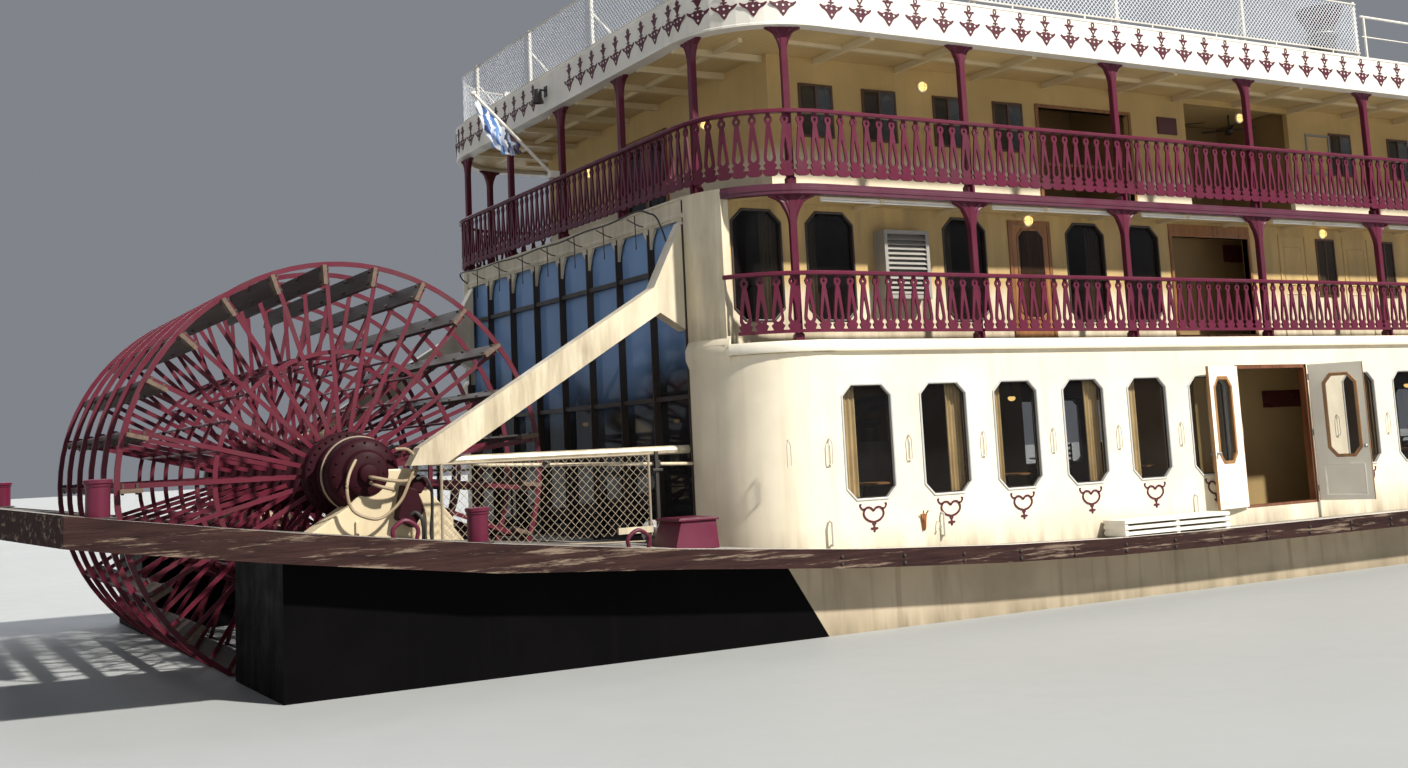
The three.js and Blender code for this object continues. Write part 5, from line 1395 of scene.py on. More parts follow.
turn = np.radians([-50, -28, 28, 50])
frontOut = np.stack([np.cos(turn), np.sin(turn), 0 * turn], 1)
reach = 1 / np.sqrt((np.cos(turn) / house["frontLength"]) ** 2 + (np.sin(turn) / house["half"]) ** 2)
frontSpots = np.array([house["frontStart"], 0, houseZ]) + frontOut * (reach + 0.012)[:, None]
frontAlong = np.stack([-np.sin(turn), np.cos(turn), 0 * turn], 1)
deepTrim = [(-0.012, -0.16), (-0.012, 0.012), (0.002, 0.018), (0.018, 0.018), (0.026, 0.010),
            (0.026, -0.06), (0.0, -0.06), (0.0, -0.16)]
trims.append(copies(ringOf(octagon(houseWindow), deepTrim), frontSpots, frontAlong, (0, 0, 1), frontOut))
sashes.append(copies(ringOf(octagon(houseWindow), sashProfile), frontSpots, frontAlong, (0, 0, 1), frontOut))
panes.append(copies(plate(octagon(houseWindow, -0.02), 0.012), frontSpots - frontOut * 0.066, frontAlong,
                    (0, 0, 1), frontOut))
for rx, ry, middle, degrees in ((5.5, 5.85, galleryZ, (-66, -44, -22, 22, 44, 66)),
                                (4.5, 4.85, 9.02, (-60, -36, -12, 12, 36, 60))):
    # windows of the cabin fronts, set on the curved wall: x = rx cos, y = ry sin of their bearing
    turn = np.radians(degrees)
    out = np.stack([np.cos(turn), np.sin(turn), 0 * turn], 1)
    reach = 1 / np.sqrt((np.cos(turn) / rx) ** 2 + (np.sin(turn) / ry) ** 2)
    spots = np.array([house["frontStart"], 0, middle]) + out * (reach + 0.006)[:, None]
    along = np.stack([-np.sin(turn), np.cos(turn), 0 * turn], 1)
    pane = dict(galleryWindow, half=0.42, low=0.0, high=1.5 if middle < 8 else 1.1)
    galleryTrims.append(copies(ringOf(octagon(pane), [(-0.012, -0.08), (-0.012, 0.02), (0.026, 0.02),
                                                      (0.026, -0.08)]), spots, along, (0, 0, 1), out))
    galleryPanes.append(copies(plate(octagon(pane, -0.006), 0.010), spots, along, (0, 0, 1), out))
makePiece("house_window_trim", trims, paleFrame)
makePiece("house_window_sashes", sashes, darkFrame)
makePiece("house_window_panes", panes, paneGlass)
makePiece("gallery_window_trim", galleryTrims, darkFrame)
makePiece("gallery_window_panes", galleryPanes, galleryGlass)
makePiece("curtain_rods", rods, wornSteel, smooth=True)
for name, start, along, inward, width, low, high, cloth in curtainPlans:
    far = np.asarray(start) + np.asarray(along) * 0.53
    makeCurtain(name, far, width, low, high, 5, 0.030, -np.asarray(along), inward, cloth)
print("house and gallery windows ready")

# heart scrolls with a cross under the windows, and the small handles between them

scroll = {"top": 2.0, "drop": 0.20}


def scrollStroke(side):
    # half of the heart: from the notch over the lobe, down the flank and in to the point, with a horn at
    # the shoulder
    lobe = smoothPath([(0, 0.095, 0), (side * 0.055, 0.145, 0), (side * 0.135, 0.150, 0),
                       (side * 0.195, 0.085, 0), (side * 0.185, 0.01, 0), (side * 0.11, -0.055, 0),
                       (0, -0.085, 0)], 3)
    horn = smoothPath([(side * 0.165, 0.135, 0), (side * 0.215, 0.128, 0), (side * 0.250, 0.160, 0),
                       (side * 0.262, 0.200, 0), (side * 0.235, 0.205, 0)], 2)
    return [carry(line, [(-width, 0), (width, 0), (width, 0.012), (-width, 0.012)], upward=(0, 0, 1))
            for line, width in ((lobe, 0.017), (horn, 0.014))]


scrollParts = scrollStroke(-1) + scrollStroke(1) + [plate([(-0.012, -0.245), (0.012, -0.245),
                                                           (0.022, -0.20), (0.014, -0.16), (0.014, -0.14),
                                                           (0.04, -0.115), (0.03, -0.075), (-0.03, -0.075),
                                                           (-0.04, -0.115), (-0.014, -0.14),
                                                           (-0.014, -0.16), (-0.022, -0.20)], 0.013),
                                                    plate([(-0.078, -0.187), (-0.06, -0.168),
                                                           (0.06, -0.168), (0.078, -0.187), (0.06, -0.205),
                                                           (-0.06, -0.205)], 0.0125)]
scrolls, handles = [], []
for side in (-1, 1):
    places, along, outward = wallFrames(side, houseXs, scroll["top"] - scroll["drop"], house["half"])
    scrolls += groupCopies(scrollParts, places + outward * 0.0005, along, (0, 0, 1), outward)
    between = np.concatenate([houseXs[:6] - 0.797, houseXs[:1] - 1.59, houseXs[5:6] + 0.797,
                              houseXs[6:] - 0.797])
    places, along, outward = wallFrames(side, np.unique(between.round(4)), 2.88, house["half"])
    loop = np.array([(-0.03, -0.20, 0.03), (0.03, -0.20, 0.03), (0.036, -0.15, 0.04), (0.036, 0.13, 0.04),
                     (0.0, 0.22, 0.03), (-0.036, 0.13, 0.04), (-0.036, -0.15, 0.04)])
    handles.append(copies(carry(loop, ring(0.009, 6), loop=True, upward=(0.05, 0.03, 1)), places, along,
                          (0, 0, 1), outward))
    for end in (-0.2, 0.2):
        handles.append(copies(turned([(0.014, 0), (0.014, 0.034), (0.001, 0.036)], 8), places + [0, 0, end],
                              along, (0, 0, 1), outward))
makePiece("house_scrolls", scrolls, motifPaint)
makePiece("house_grab_handles", handles, steelPipe, smooth=True)
print("scrolls and handles ready")

# entrance: brown jambs, lobby behind it, glazed leaves with varnished edges

doorway = {"aft": -11.5, "fore": -9.44, "low": 1.42, "high": 4.13}
lobbyPaint = makePaint("lobby_yellow_paint", (0.52, 0.38, 0.17), (0.34, 0.23, 0.10), blotch=0.3,
                       streak=0.15, rough=0.5)
carpet = makePaint("lobby_carpet", (0.10, 0.018, 0.025), (0.05, 0.012, 0.015), scale=4, blotch=0.5,
                   streak=0, rough=0.95, coat=0)
maroonBoard = makePaint("blank_maroon_board", (0.085, 0.012, 0.018), (0.05, 0.01, 0.012), scale=3,
                        blotch=0.3, streak=0.1, rough=0.3, coat=0.3)
lampWarm = makePaint("lamp_glass_warm", (0.95, 0.62, 0.20), (0.85, 0.45, 0.12), scale=6, blotch=0.3,
                     streak=0, rough=0.2, coat=0.5)
lampShader = lampWarm.node_tree.nodes["Principled BSDF"]
lampShader.inputs["Emission Strength"].default_value = 1.6
lampWarm.node_tree.links.new(lampShader.inputs["Base Color"].links[0].from_socket,
                             lampShader.inputs["Emission Color"])


def sideBox(side, x0, x1, y0, y1, z0, z1):
    # box given by its distances from the centreline, on the starboard (-1) or port (1) side
    return box(x0, x1, min(side * y0, side * y1), max(side * y0, side * y1), z0, z1)


jambs, lobby, floorMat, lobbyBoards = [], [], [], []
for side in (-1, 1):
    # the frame stops just inside the closed leaves, whose inner faces are 6.858 from the centreline
    jambs += [sideBox(side, doorway["aft"], doorway["aft"] + 0.07, 6.70, 6.855, 1.42, 4.13),
              sideBox(side, doorway["fore"] - 0.07, doorway["fore"], 6.70, 6.855, 1.42, 4.13),
              sideBox(side, doorway["aft"], doorway["fore"], 6.70, 6.855, 4.06, 4.13),
              sideBox(side, doorway["aft"], doorway["fore"], 6.70, 6.855, 1.40, 1.45)]
    lobby += [sideBox(side, -12.4, -6.6, 4.78, 4.85, 1.18, 4.45),
              sideBox(side, -12.4, -12.33, 4.85, 6.6, 1.18, 4.45),
              sideBox(side, -6.67, -6.6, 4.85, 6.6, 1.18, 4.45),
              sideBox(side, -12.33, -6.67, 4.85, 6.7, 4.38, 4.44)]
    floorMat.append(sideBox(side, -12.33, -6.67, 4.86, 6.70, 1.18, 1.215))
    lobbyBoards.append(sideBox(side, -8.40, -7.15, 4.851, 4.89, 3.32, 3.68))
makePiece("entrance_jambs", jambs, brownTimber, bevel=0.008)
makePiece("lobby_walls", lobby, lobbyPaint)
makePiece("lobby_carpet", floorMat, carpet)
makePiece("lobby_boards", lobbyBoards, maroonBoard, bevel=0.008)
lobbyLamps = [copies(turned([(0.09, 0), (0.085, 0.03), (0.05, 0.05), (0.001, 0.055)], 20),
                     np.array([[-10.4, s * 5.8, 4.375], [-8.2, s * 5.8, 4.375]]), (1, 0, 0), (0, -1, 0),
                     (0, 0, -1)) for s in (-1, 1)]
makePiece("lobby_lamps", lobbyLamps, lampWarm, smooth=True)

leaf = {"out": 0.035, "width": (doorway["fore"] - doorway["aft"]) / 2 - 0.012}


def leafFrame(side, hinge, reach, opened):
    # places points given as (u along the leaf from its hinge, v up, w out of its outer face) of an open
    # leaf
    turn = math.radians(opened)
    along = np.array([math.cos(turn) * reach, math.sin(turn) * reach * (1 if side < 0 else -1), 0.0])
    across = np.array([-math.sin(turn), math.cos(turn) * (1 if side < 0 else -1), 0.0]) * -1
    return np.array([hinge, side * (house["half"] + leaf["out"]), 0.0]), along, across


leafGlass = np.array([(0.30, 1.05), (0.42, 0.90), (0.72, 0.90), (0.84, 1.05), (0.84, 2.30), (0.72, 2.45),
                      (0.42, 2.45), (0.30, 2.30)])
low, high = doorway["low"], doorway["high"]
for side, word in ((-1, "starboard"), (1, "port")):
    for end, hinge, reach, opened in (("aft", doorway["aft"], 1, -170), ("fore", doorway["fore"], -1, 118)):
        origin, along, across = leafFrame(side, hinge, reach, opened)
        body = f"door_{end}_{word}"
        opening = leafGlass + [0, low]
        trim = ringOf(opening, [(-0.008, -0.034), (-0.008, 0.034), (0.045, 0.034), (0.055, 0.026),
                                (0.055, -0.026), (0.045, -0.034)])
        makePiece(f"leaf_trim_{end}_{word}", [copies(trim, origin, along, (0, 0, 1), across)], ochreTimber,
                  body=body)
        makePiece(f"leaf_glass_{end}_{word}", [copies(plate(opening, 0.010), origin - across * 0.005, along,
                                                      (0, 0, 1), across)], paneGlass, body=body)
        u0, u1 = 0.012, leaf["width"]
        edge = [copies(boxes(a, b), origin, along, (0, 0, 1), across) for a,
                b in (((u1 - 0.006, low + 0.014, -0.027), (u1 + 0.006, high - 0.014, 0.027)),
                      ((u0 - 0.006, low + 0.014, -0.027), (u0 + 0.004, high - 0.014, 0.027)))]
        makePiece(f"leaf_edges_{end}_{word}", edge, ochreTimber, body=body)
        mould = ringOf([(0.16, low + 0.12), (u1 - 0.14, low + 0.12), (u1 - 0.14, low + 0.70),
                        (0.16, low + 0.70)], [(-0.012, 0), (-0.012, 0.006), (0.012, 0.010), (0.012, 0)])
        knob = turned([(0.030, 0), (0.030, 0.008), (0.012, 0.012), (0.012, 0.045), (0.030, 0.055),
                       (0.034, 0.072), (0.022, 0.086), (0.001, 0.09)], 14)
        hinges = [copies(turned([(0.014, -0.06), (0.014, 0.06)], 8), origin + [0, 0, z], along, across,
                         (0, 0, 1)) for z in (low + 0.25, low + 1.35, low + 2.45)]
        parts = []
        for faceOut, sign in ((0.025, 1), (-0.025, -1)):
            parts.append(copies(mould, origin + across * faceOut, along, (0, 0, 1), across * sign))
        makePiece(f"leaf_moulding_{end}_{word}", parts, whitePaint, body=body)
        fittings = [copies(knob, origin + along * (u1 - 0.07) + across * (sign * 0.025)
                           + [0, 0, low + 1.05], along, (0, 0, 1), across * sign) for sign in (1, -1)]
        makePiece(f"leaf_fittings_{end}_{word}", fittings + hinges, wornSteel, body=body, smooth=True)
print("entrances ready")

# gallery ceilings: cross beams, fluorescent tubes and bulkhead lamps

gallery = {"lowCeiling": 7.098, "highCeiling": 10.018, "beamDeep": 0.12, "tubeY": 6.60, "tubeHalf": 1.45,
           "tubeShift": 0.18}
tubeGlow = makePaint("fluorescent_tube", (0.88, 0.88, 0.86), (0.80, 0.80, 0.78), scale=3, blotch=0.1,
                     streak=0.05, rough=0.18, coat=0.5)
ceilingPaint = makePaint("ceiling_beam_paint", (0.72, 0.60, 0.38), (0.45, 0.36, 0.20), blotch=0.3,
                         streak=0.0, rough=0.45)
beamXs = rail["firstPost"] + rail["postStep"] / 2 * np.arange(1, 20)
beamXs = beamXs[beamXs < 14.2]
lower, upper, tubes, fixtures = [], [], [], []
for side in (-1, 1):
    for x in beamXs:
        lower.append(sideBox(side, x - 0.04, x + 0.04, wall2, 6.64, gallery["lowCeiling"] - 0.07,
                             gallery["lowCeiling"]))
        upper.append(sideBox(side, x - 0.045, x + 0.045, wall3, 6.64, gallery["highCeiling"]
                             - gallery["beamDeep"], gallery["highCeiling"]))
    upper.append(sideBox(side, -20.8, 14.0, 5.70, 5.78, gallery["highCeiling"] - 0.07,
                         gallery["highCeiling"]))
    for k in range(9):
        x = rail["firstPost"] + rail["postStep"] * (k + 0.5) + gallery["tubeShift"]
        long = gallery["tubeHalf"]
        fixtures.append(sideBox(side, x - long, x + long, gallery["tubeY"] - 0.028,
                                gallery["tubeY"] + 0.028, gallery["lowCeiling"] - 0.045,
                                gallery["lowCeiling"] - 0.004))
        tubes.append(copies(turned([(0.016, 0.05 - long), (0.016, long - 0.05)], 10),
                            np.array([x, side * gallery["tubeY"], gallery["lowCeiling"] - 0.064]),
                            (0, 1, 0), (0, 0, 1), (1, 0, 0)))
        fixtures += [sideBox(side, x + a - 0.02, x + a + 0.02, gallery["tubeY"] - 0.022,
                             gallery["tubeY"] + 0.022, gallery["lowCeiling"] - 0.085, gallery["lowCeiling"]
                             - 0.04) for a in (0.03 - long, long - 0.03)]
for y in np.arange(-4.68, 4.7, 1.338):
    upper.append(box(-22.42, -20.6, y - 0.045, y + 0.045, gallery["highCeiling"] - gallery["beamDeep"],
                     gallery["highCeiling"]))
upper.append(box(-21.62, -21.54, -5.6, 5.6, gallery["highCeiling"] - 0.08, gallery["highCeiling"]))
frontTurn = np.radians(np.arange(-75, 76, 15))
for a in frontTurn:
    outer = np.array([house["frontStart"] + 6.28 * math.cos(a), 6.63 * math.sin(a), 0])
    for z, deep, beamList, rx, ry in ((gallery["lowCeiling"], 0.07, lower, 5.45, 5.8),
                                      (gallery["highCeiling"], gallery["beamDeep"], upper, 4.45, 4.8)):
        inner = np.array([house["frontStart"] + rx * math.cos(a), ry * math.sin(a), 0])
        beamList.append(carry([inner + [0, 0, z], outer + [0, 0, z]],
                              [(-0.045, -deep), (0.045, -deep), (0.045, 0), (-0.045, 0)]))
makePiece("gallery_2_beams", lower, ceilingPaint)
makePiece("gallery_3_beams", upper, ceilingPaint)
makePiece("gallery_tubes", tubes, tubeGlow, smooth=True)
makePiece("gallery_tube_fittings", fixtures, whitePaint, bevel=0.006)

lampBase = turned([(0.115, 0), (0.115, 0.025), (0.10, 0.035), (0.001, 0.036)], 24)
lampDome = turned([(0.092, 0.034), (0.090, 0.060), (0.075, 0.085), (0.045, 0.100), (0.001, 0.106)], 24)
lampBars = [carry([(0.1 * math.cos(a), 0.1 * math.sin(a), 0.036),
                   (0.078 * math.cos(a), 0.078 * math.sin(a), 0.095), (0, 0, 0.116),
                   (-0.078 * math.cos(a), -0.078 * math.sin(a), 0.095),
                   (-0.1 * math.cos(a), -0.1 * math.sin(a), 0.036)],
                  [(-0.006, -0.004), (0.006, -0.004), (0.006, 0.004), (-0.006, 0.004)],
                  upward=(-math.sin(a), math.cos(a), 0.01)) for a in (0, np.pi / 2)]
lampXs = {(7.00, wall2): (-15.6, -7.24, 0.75, 8.75), (9.70, wall3): (-17.1, -8.3, 0.0, 8.4)}
bases, domes, guards = [], [], []
for (z, y), xs in lampXs.items():
    for side in (-1, 1):
        places, along, outward = wallFrames(side, xs, z - 0.02, y)
        bases.append(copies(lampBase, places, along, (0, 0, 1), outward))
        domes.append(copies(lampDome, places, along, (0, 0, 1), outward))
        guards += groupCopies(lampBars, places, along, (0, 0, 1), outward)
aftLamps = np.array([[-20.6, -2.6, 9.2], [-20.6, 2.6, 9.2]])
bases.append(copies(lampBase, aftLamps, (0, -1, 0), (0, 0, 1), (-1, 0, 0)))
domes.append(copies(lampDome, aftLamps, (0, -1, 0), (0, 0, 1), (-1, 0, 0)))
guards += groupCopies(lampBars, aftLamps, (0, -1, 0), (0, 0, 1), (-1, 0, 0))
makePiece("bulkhead_lamp_bases", bases + guards, whitePaint, smooth=True)
makePiece("bulkhead_lamp_domes", domes, lampWarm, smooth=True)
print("ceilings and lamps ready")

# gallery walls: timber door, framed openings, louvre box, two-pane windows, blank boards and fans


def framed(side, x0, x1, z0, z1, width, proud, y=wall3, foot=True):
    # rectangular trim round an opening: two posts, a head and, where asked, a sill
    parts = [sideBox(side, x0 - width, x0, y - 0.13, y + proud, z0, z1 + width),
             sideBox(side, x1, x1 + width, y - 0.13, y + proud, z0, z1 + width),
             sideBox(side, x0, x1, y - 0.13, y + proud, z1, z1 + width)]
    if foot:
        parts.append(sideBox(side, x0, x1, y - 0.13, y + proud, z0, z0 + width))
    return parts


timberTrim, doorPanels, doorGlass, doorDark, lintels = ([] for _ in range(5))
brownFrames, brownPanes, palePanes, panelLines, blankBoards = ([] for _ in range(5))
lobbyGap = {"aft": -11.83, "fore": -9.61, "head": 6.80, "top": 7.098, "trim": 0.07, "wall": 0.12}
d2, d3 = levels["deck2"], levels["deck3"]
smallOctagon = {"half": 0.31, "low": 5.15, "high": 6.80, "cut": 0.13}
narrow = -7.17 + 1.995 * np.arange(11)
sliding = [(-19.90, -19.24), (-18.49, -17.79), (-16.82, -16.17),
           (-15.33, -14.65)] + [(x, x + 0.68) for x in (-5.3, -3.2, -1.1, 1.0, 3.1, 5.2, 7.3, 9.4, 11.5)]
for side in (-1, 1):
    # closed door between the windows
    timberTrim += framed(side, -16.03, -15.14, d2 + 0.01, 6.90, 0.075, 0.03, wall2, foot=False)
    doorPanels.append(sideBox(side, -16.02, -15.15, wall2 + 0.002, wall2 + 0.022, d2 + 0.02, 6.89))
    places, along, outward = wallFrames(side, [-15.58], (smallOctagon["low"] + smallOctagon["high"]) / 2,
                                        wall2 + 0.022)
    timberTrim.append(copies(ringOf(octagon(smallOctagon), [(-0.01, 0), (-0.01, 0.016), (0.03, 0.016),
                                                            (0.04, 0)]), places, along, (0, 0, 1), outward))
    doorGlass.append(copies(plate(octagon(smallOctagon), 0.006), places, along, (0, 0, 1), outward))
    # open doorway with its timber frame, and a small lobby behind it
    timberTrim += framed(side, lobbyGap["aft"], lobbyGap["fore"], d2 + 0.06, lobbyGap["head"],
                         lobbyGap["trim"], 0.03, wall2)
    timberTrim.append(sideBox(side, lobbyGap["aft"] - lobbyGap["trim"], lobbyGap["fore"] + lobbyGap["trim"],
                              wall2, wall2 + 0.02, 6.865, 7.05))
    lintels.append(sideBox(side, lobbyGap["aft"] - 0.005, lobbyGap["fore"] + 0.005,
                           wall2 - lobbyGap["wall"], wall2 - 0.001, lobbyGap["head"], lobbyGap["top"]))
    doorDark += [sideBox(side, -12.2, -8.2, 4.79, 4.85, d2 + 0.005, 7.09),
                 sideBox(side, -12.2, -12.14, 4.85, 5.72, d2 + 0.005, 7.09),
                 sideBox(side, -8.26, -8.2, 4.85, 5.72, d2 + 0.005, 7.09)]
    blankBoards += [sideBox(side, -9.2, -8.45, 4.851, 4.88, 6.46, 6.83)]
    # openings of the upper gallery
    timberTrim += framed(side, -14.20, -11.70, d3 + 0.13, 9.50, 0.07, 0.03)
    timberTrim.append(sideBox(side, -14.2, -11.7, wall3 - 0.16, wall3 + 0.10, 8.30, 8.36))
    doorDark += [sideBox(side, -14.5, -11.4, 2.86, 2.92, d3 + 0.005, 10.0),
                 sideBox(side, -14.5, -14.44, 2.92, 4.72, d3 + 0.005, 10.0),
                 sideBox(side, -11.46, -11.4, 2.92, 4.72, d3 + 0.005, 10.0)]
    doorDark += [sideBox(side, -10.2, -6.5, 2.66, 2.72, d3 + 0.005, 10.0),
                 sideBox(side, -10.2, -10.14, 2.72, 4.72, d3 + 0.005, 10.0),
                 sideBox(side, -6.56, -6.5, 2.72, 4.72, d3 + 0.005, 10.0)]
    blankBoards.append(sideBox(side, -10.85, -10.28, wall3, wall3 + 0.03, 9.17, 9.54))
    for x in narrow:
        brownFrames += framed(side, x - 0.27, x + 0.27, 5.62, 6.83, 0.035, 0.022, wall2)
        brownFrames.append(sideBox(side, x - 0.016, x + 0.016, wall2, wall2 + 0.018, 5.655, 6.83))
        brownPanes.append(sideBox(side, x - 0.27, x + 0.27, wall2 + 0.002, wall2 + 0.010, 5.655, 6.83))
    for windowAft, windowFore in sliding:
        brownFrames += framed(side, windowAft, windowFore, 8.54, 9.49, 0.045, 0.025)
        middle = (windowAft + windowFore) / 2
        brownFrames.append(sideBox(side, middle - 0.02, middle + 0.02, wall3, wall3 + 0.03, 8.585, 9.49))
        brownPanes.append(sideBox(side, windowAft, middle, wall3 + 0.003, wall3 + 0.012, 8.585, 9.49))
        palePanes.append(sideBox(side, middle, windowFore, wall3 + 0.010, wall3 + 0.019, 8.585, 9.49))
    # closed cream cabin doors with raised panels
    for x in (-8.23, -6.17, -2.18, 1.81, 5.80, 9.79):
        places, along, outward = wallFrames(side, [x], 5.81, wall2)
        panelLines.append(copies(ringOf([(-0.40, -1.09), (0.40, -1.09), (0.40, 1.09), (-0.40, 1.09)],
                                        [(-0.012, 0), (-0.012, 0.016), (0.028, 0.016), (0.028, 0)]), places,
                                 along, (0, 0, 1), outward))
        for panelFoot, panelTop in ((-0.85, -0.15), (0.05, 0.85)):
            panelLines.append(copies(ringOf([(-0.28, panelFoot), (0.28, panelFoot), (0.28, panelTop),
                                             (-0.28, panelTop)], [(-0.015, 0), (0, 0.014), (0.015, 0)]),
                                     places, along, (0, 0, 1), outward))
    for x in (-2.15, 2.05, 6.25, 10.45):
        places, along, outward = wallFrames(side, [x], 8.42, wall3)
        panelLines.append(copies(ringOf([(-0.40, -1.0), (0.40, -1.0), (0.40, 1.0), (-0.40, 1.0)],
                                        [(-0.012, 0), (-0.012, 0.016), (0.028, 0.016), (0.028, 0)]), places,
                                 along, (0, 0, 1), outward))
        for panelFoot, panelTop in ((-0.85, -0.15), (0.05, 0.85)):
            panelLines.append(copies(ringOf([(-0.28, panelFoot), (0.28, panelFoot), (0.28, panelTop),
                                             (-0.28, panelTop)], [(-0.015, 0), (0, 0.014), (0.015, 0)]),
                                     places, along, (0, 0, 1), outward))
timberTrim += [box(-20.65, -20.57, -0.95 - 0.07, -0.95, d3 + 0.02, 9.47),
               box(-20.65, -20.57, 0.95, 1.02, d3 + 0.02, 9.47),
               box(-20.65, -20.57, -1.02, 1.02, 9.40, 9.47)]
makePiece("gallery_lintels", lintels, galleryPaintShadedHigh)
makePiece("gallery_timber_trim", timberTrim, trimTimber, bevel=0.006)
makePiece("gallery_timber_doors", doorPanels, makeTimber("door_timber_light", (0.40, 0.19, 0.065),
                                                         (0.17, 0.07, 0.025), (24, 24, 2), 0.25, coat=0.4),
          bevel=0.004)
makePiece("gallery_door_panes", doorGlass, galleryGlass)
makePiece("gallery_room_walls", doorDark, makePaint("inner_wall_ochre", (0.30, 0.20, 0.085),
                                                    (0.16, 0.10, 0.05), blotch=0.4, streak=0.1, rough=0.55))
makePiece("gallery_blank_boards", blankBoards, maroonBoard, bevel=0.006)
makePiece("gallery_window_frames", brownFrames, makePaint("brown_window_frame", (0.10, 0.045, 0.022),
                                                          (0.05, 0.025, 0.015), rough=0.35),
          bevel=0.004)
makePiece("gallery_dark_panes", brownPanes, galleryGlass)
makePiece("gallery_sliding_panes", palePanes, makeGlass("gallery_sliding_glass", (0.10, 0.115, 0.13),
                                                        (0.06, 0.06, 0.06), 0.8, 4.5))
makePiece("gallery_cabin_doors", panelLines, galleryPaintShadedHigh)

louvre = {"x0": -19.20, "x1": -18.22, "z0": 5.45, "z1": 6.66, "deep": 0.32, "slats": 12}
boxParts, slats = [], []
for side in (-1, 1):
    y = wall2
    boxParts += [sideBox(side, louvre["x0"], louvre["x1"], y, y + louvre["deep"] - 0.03, louvre["z0"],
                         louvre["z0"] + 0.03), sideBox(side, louvre["x0"], louvre["x1"], y,
                                                       y + louvre["deep"] - 0.03, louvre["z1"] - 0.03,
                                                       louvre["z1"]), sideBox(side, louvre["x0"],
                                                                              louvre["x0"] + 0.03, y, y
                                                                              + louvre["deep"] - 0.03,
                                                                              louvre["z0"] + 0.031, louvre[
                                                                                  "z1"] - 0.031),
                 sideBox(side, louvre["x1"] - 0.03, louvre["x1"], y, y + louvre["deep"] - 0.03,
                         louvre["z0"] + 0.031, louvre["z1"] - 0.031),
                 sideBox(side, louvre["x0"] + 0.03, louvre["x1"] - 0.03, y, y + 0.1, louvre["z0"] + 0.03,
                         louvre["z1"] - 0.03)]
    places, along, outward = wallFrames(side, [(louvre["x0"] + louvre["x1"]) / 2],
                                        (louvre["z0"] + louvre["z1"]) / 2, y + louvre["deep"] - 0.03)
    halfWide, halfHigh = (louvre["x1"] - louvre["x0"]) / 2, (louvre["z1"] - louvre["z0"]) / 2
    boxParts.append(copies(ringOf([(-halfWide + 0.07, -halfHigh + 0.07),
                                   (halfWide - 0.07, -halfHigh + 0.07), (halfWide - 0.07, halfHigh - 0.07),
                                   (-halfWide + 0.07, halfHigh - 0.07)],
                                  [(0, 0), (0, 0.03), (0.07, 0.03), (0.07, 0)]), places, along, (0, 0, 1),
                           outward))
    for z in np.linspace(-halfHigh + 0.13, halfHigh - 0.13, louvre["slats"]):
        slat = carry([(-halfWide + 0.06, z, -0.01), (halfWide - 0.06, z, -0.01)],
                     [(-0.045, -0.05), (-0.038, -0.05), (0.045, 0.035), (0.038, 0.035)], upward=(0, 0, 1))
        slats.append(copies(slat, places, along, (0, 0, 1), outward))
    places, along, outward = wallFrames(side, [-5.75], 9.0, wall3)
    boxParts.append(copies(ringOf([(-0.36, -0.42), (0.36, -0.42), (0.36, 0.42), (-0.36, 0.42)],
                                  [(0, 0), (0, 0.03), (0.05, 0.03), (0.05, 0)]), places - [0.0, 0, 0],
                           along, (0, 0, 1), outward))
louvrePaint = makePaint("grey_louvre_paint", (0.30, 0.29, 0.27), (0.16, 0.13, 0.10), blotch=0.4, streak=0.4,
                        rough=0.45)
makePiece("louvre_boxes", boxParts, louvrePaint, bevel=0.004)
makePiece("louvre_slats", slats, louvrePaint)

fanBlade = plate([(0.10, -0.045), (0.55, -0.075), (0.60, 0.0), (0.55, 0.075), (0.10, 0.045)], 0.012)
fans, fanHubs = [], []
for side in (-1, 1):
    for x in (-9.2, -7.5):
        spot = np.array([x, side * 3.9, 9.66])
        for k in range(4):
            a = np.pi / 4 + k * np.pi / 2
            fans.append(copies(fanBlade, spot, (math.cos(a), math.sin(a), 0),
                               (-math.sin(a), math.cos(a), 0.1), (0, 0, 1)))
        fanHubs.append(copies(turned([(0.001, -0.06), (0.08, -0.05), (0.11, 0), (0.08, 0.05), (0.02, 0.06),
                                      (0.02, 0.36)], 20), spot, (1, 0, 0), (0, 1, 0), (0, 0, 1)))
makePiece("lobby_fan_blades", fans, blackPaint)
makePiece("lobby_fan_hubs", fanHubs, darkSteel, smooth=True)
print("gallery walls ready")

# lattice screens on the sun deck: fine crossed strips in white frames with stays

lattice = {"low": 10.84, "high": 11.93, "step": 0.100, "half": 0.0062, "thick": 0.005, "inset": 0.12,
           "end": -6.5}


def latticeOn(path, height, step):
    # strips that climb one height while they run one height along the path, both ways, cut at its ends
    total = pathLength(path)
    parts = []
    for way in (1, -1):
        starts = np.arange(-height + step / 2, total, step)
        for s in starts:
            a, b = max(s, 0.0), min(s + height, total)
            if b - a < 0.03:
                continue
            d = np.linspace(a, b, 5)
            v = (d - s) if way > 0 else height - (d - s)
            spots, along = placesOn(path, d)
            outWay = outOf(along)
            shift = (0.004 if way > 0 else -0.004)
            line = spots + v[:, None] * np.array([0, 0, 1.0]) + outWay * shift
            run = unit(along + np.array([0, 0, 1.0]) * way)
            stripSide = np.cross(outWay, run)
            stripEdges = [line + stripSide * u * lattice["half"] + outWay * w * lattice["thick"] / 2 for u,
                          w in ((-1, -1), (1, -1), (1, 1), (-1, 1))]
            points = np.stack(stripEdges, 1).reshape(-1, 3)
            parts.append((points, [gridFaces(5, 4, False, True), np.arange(4)[None],
                                   np.arange(4)[None] + 16]))
    return parts


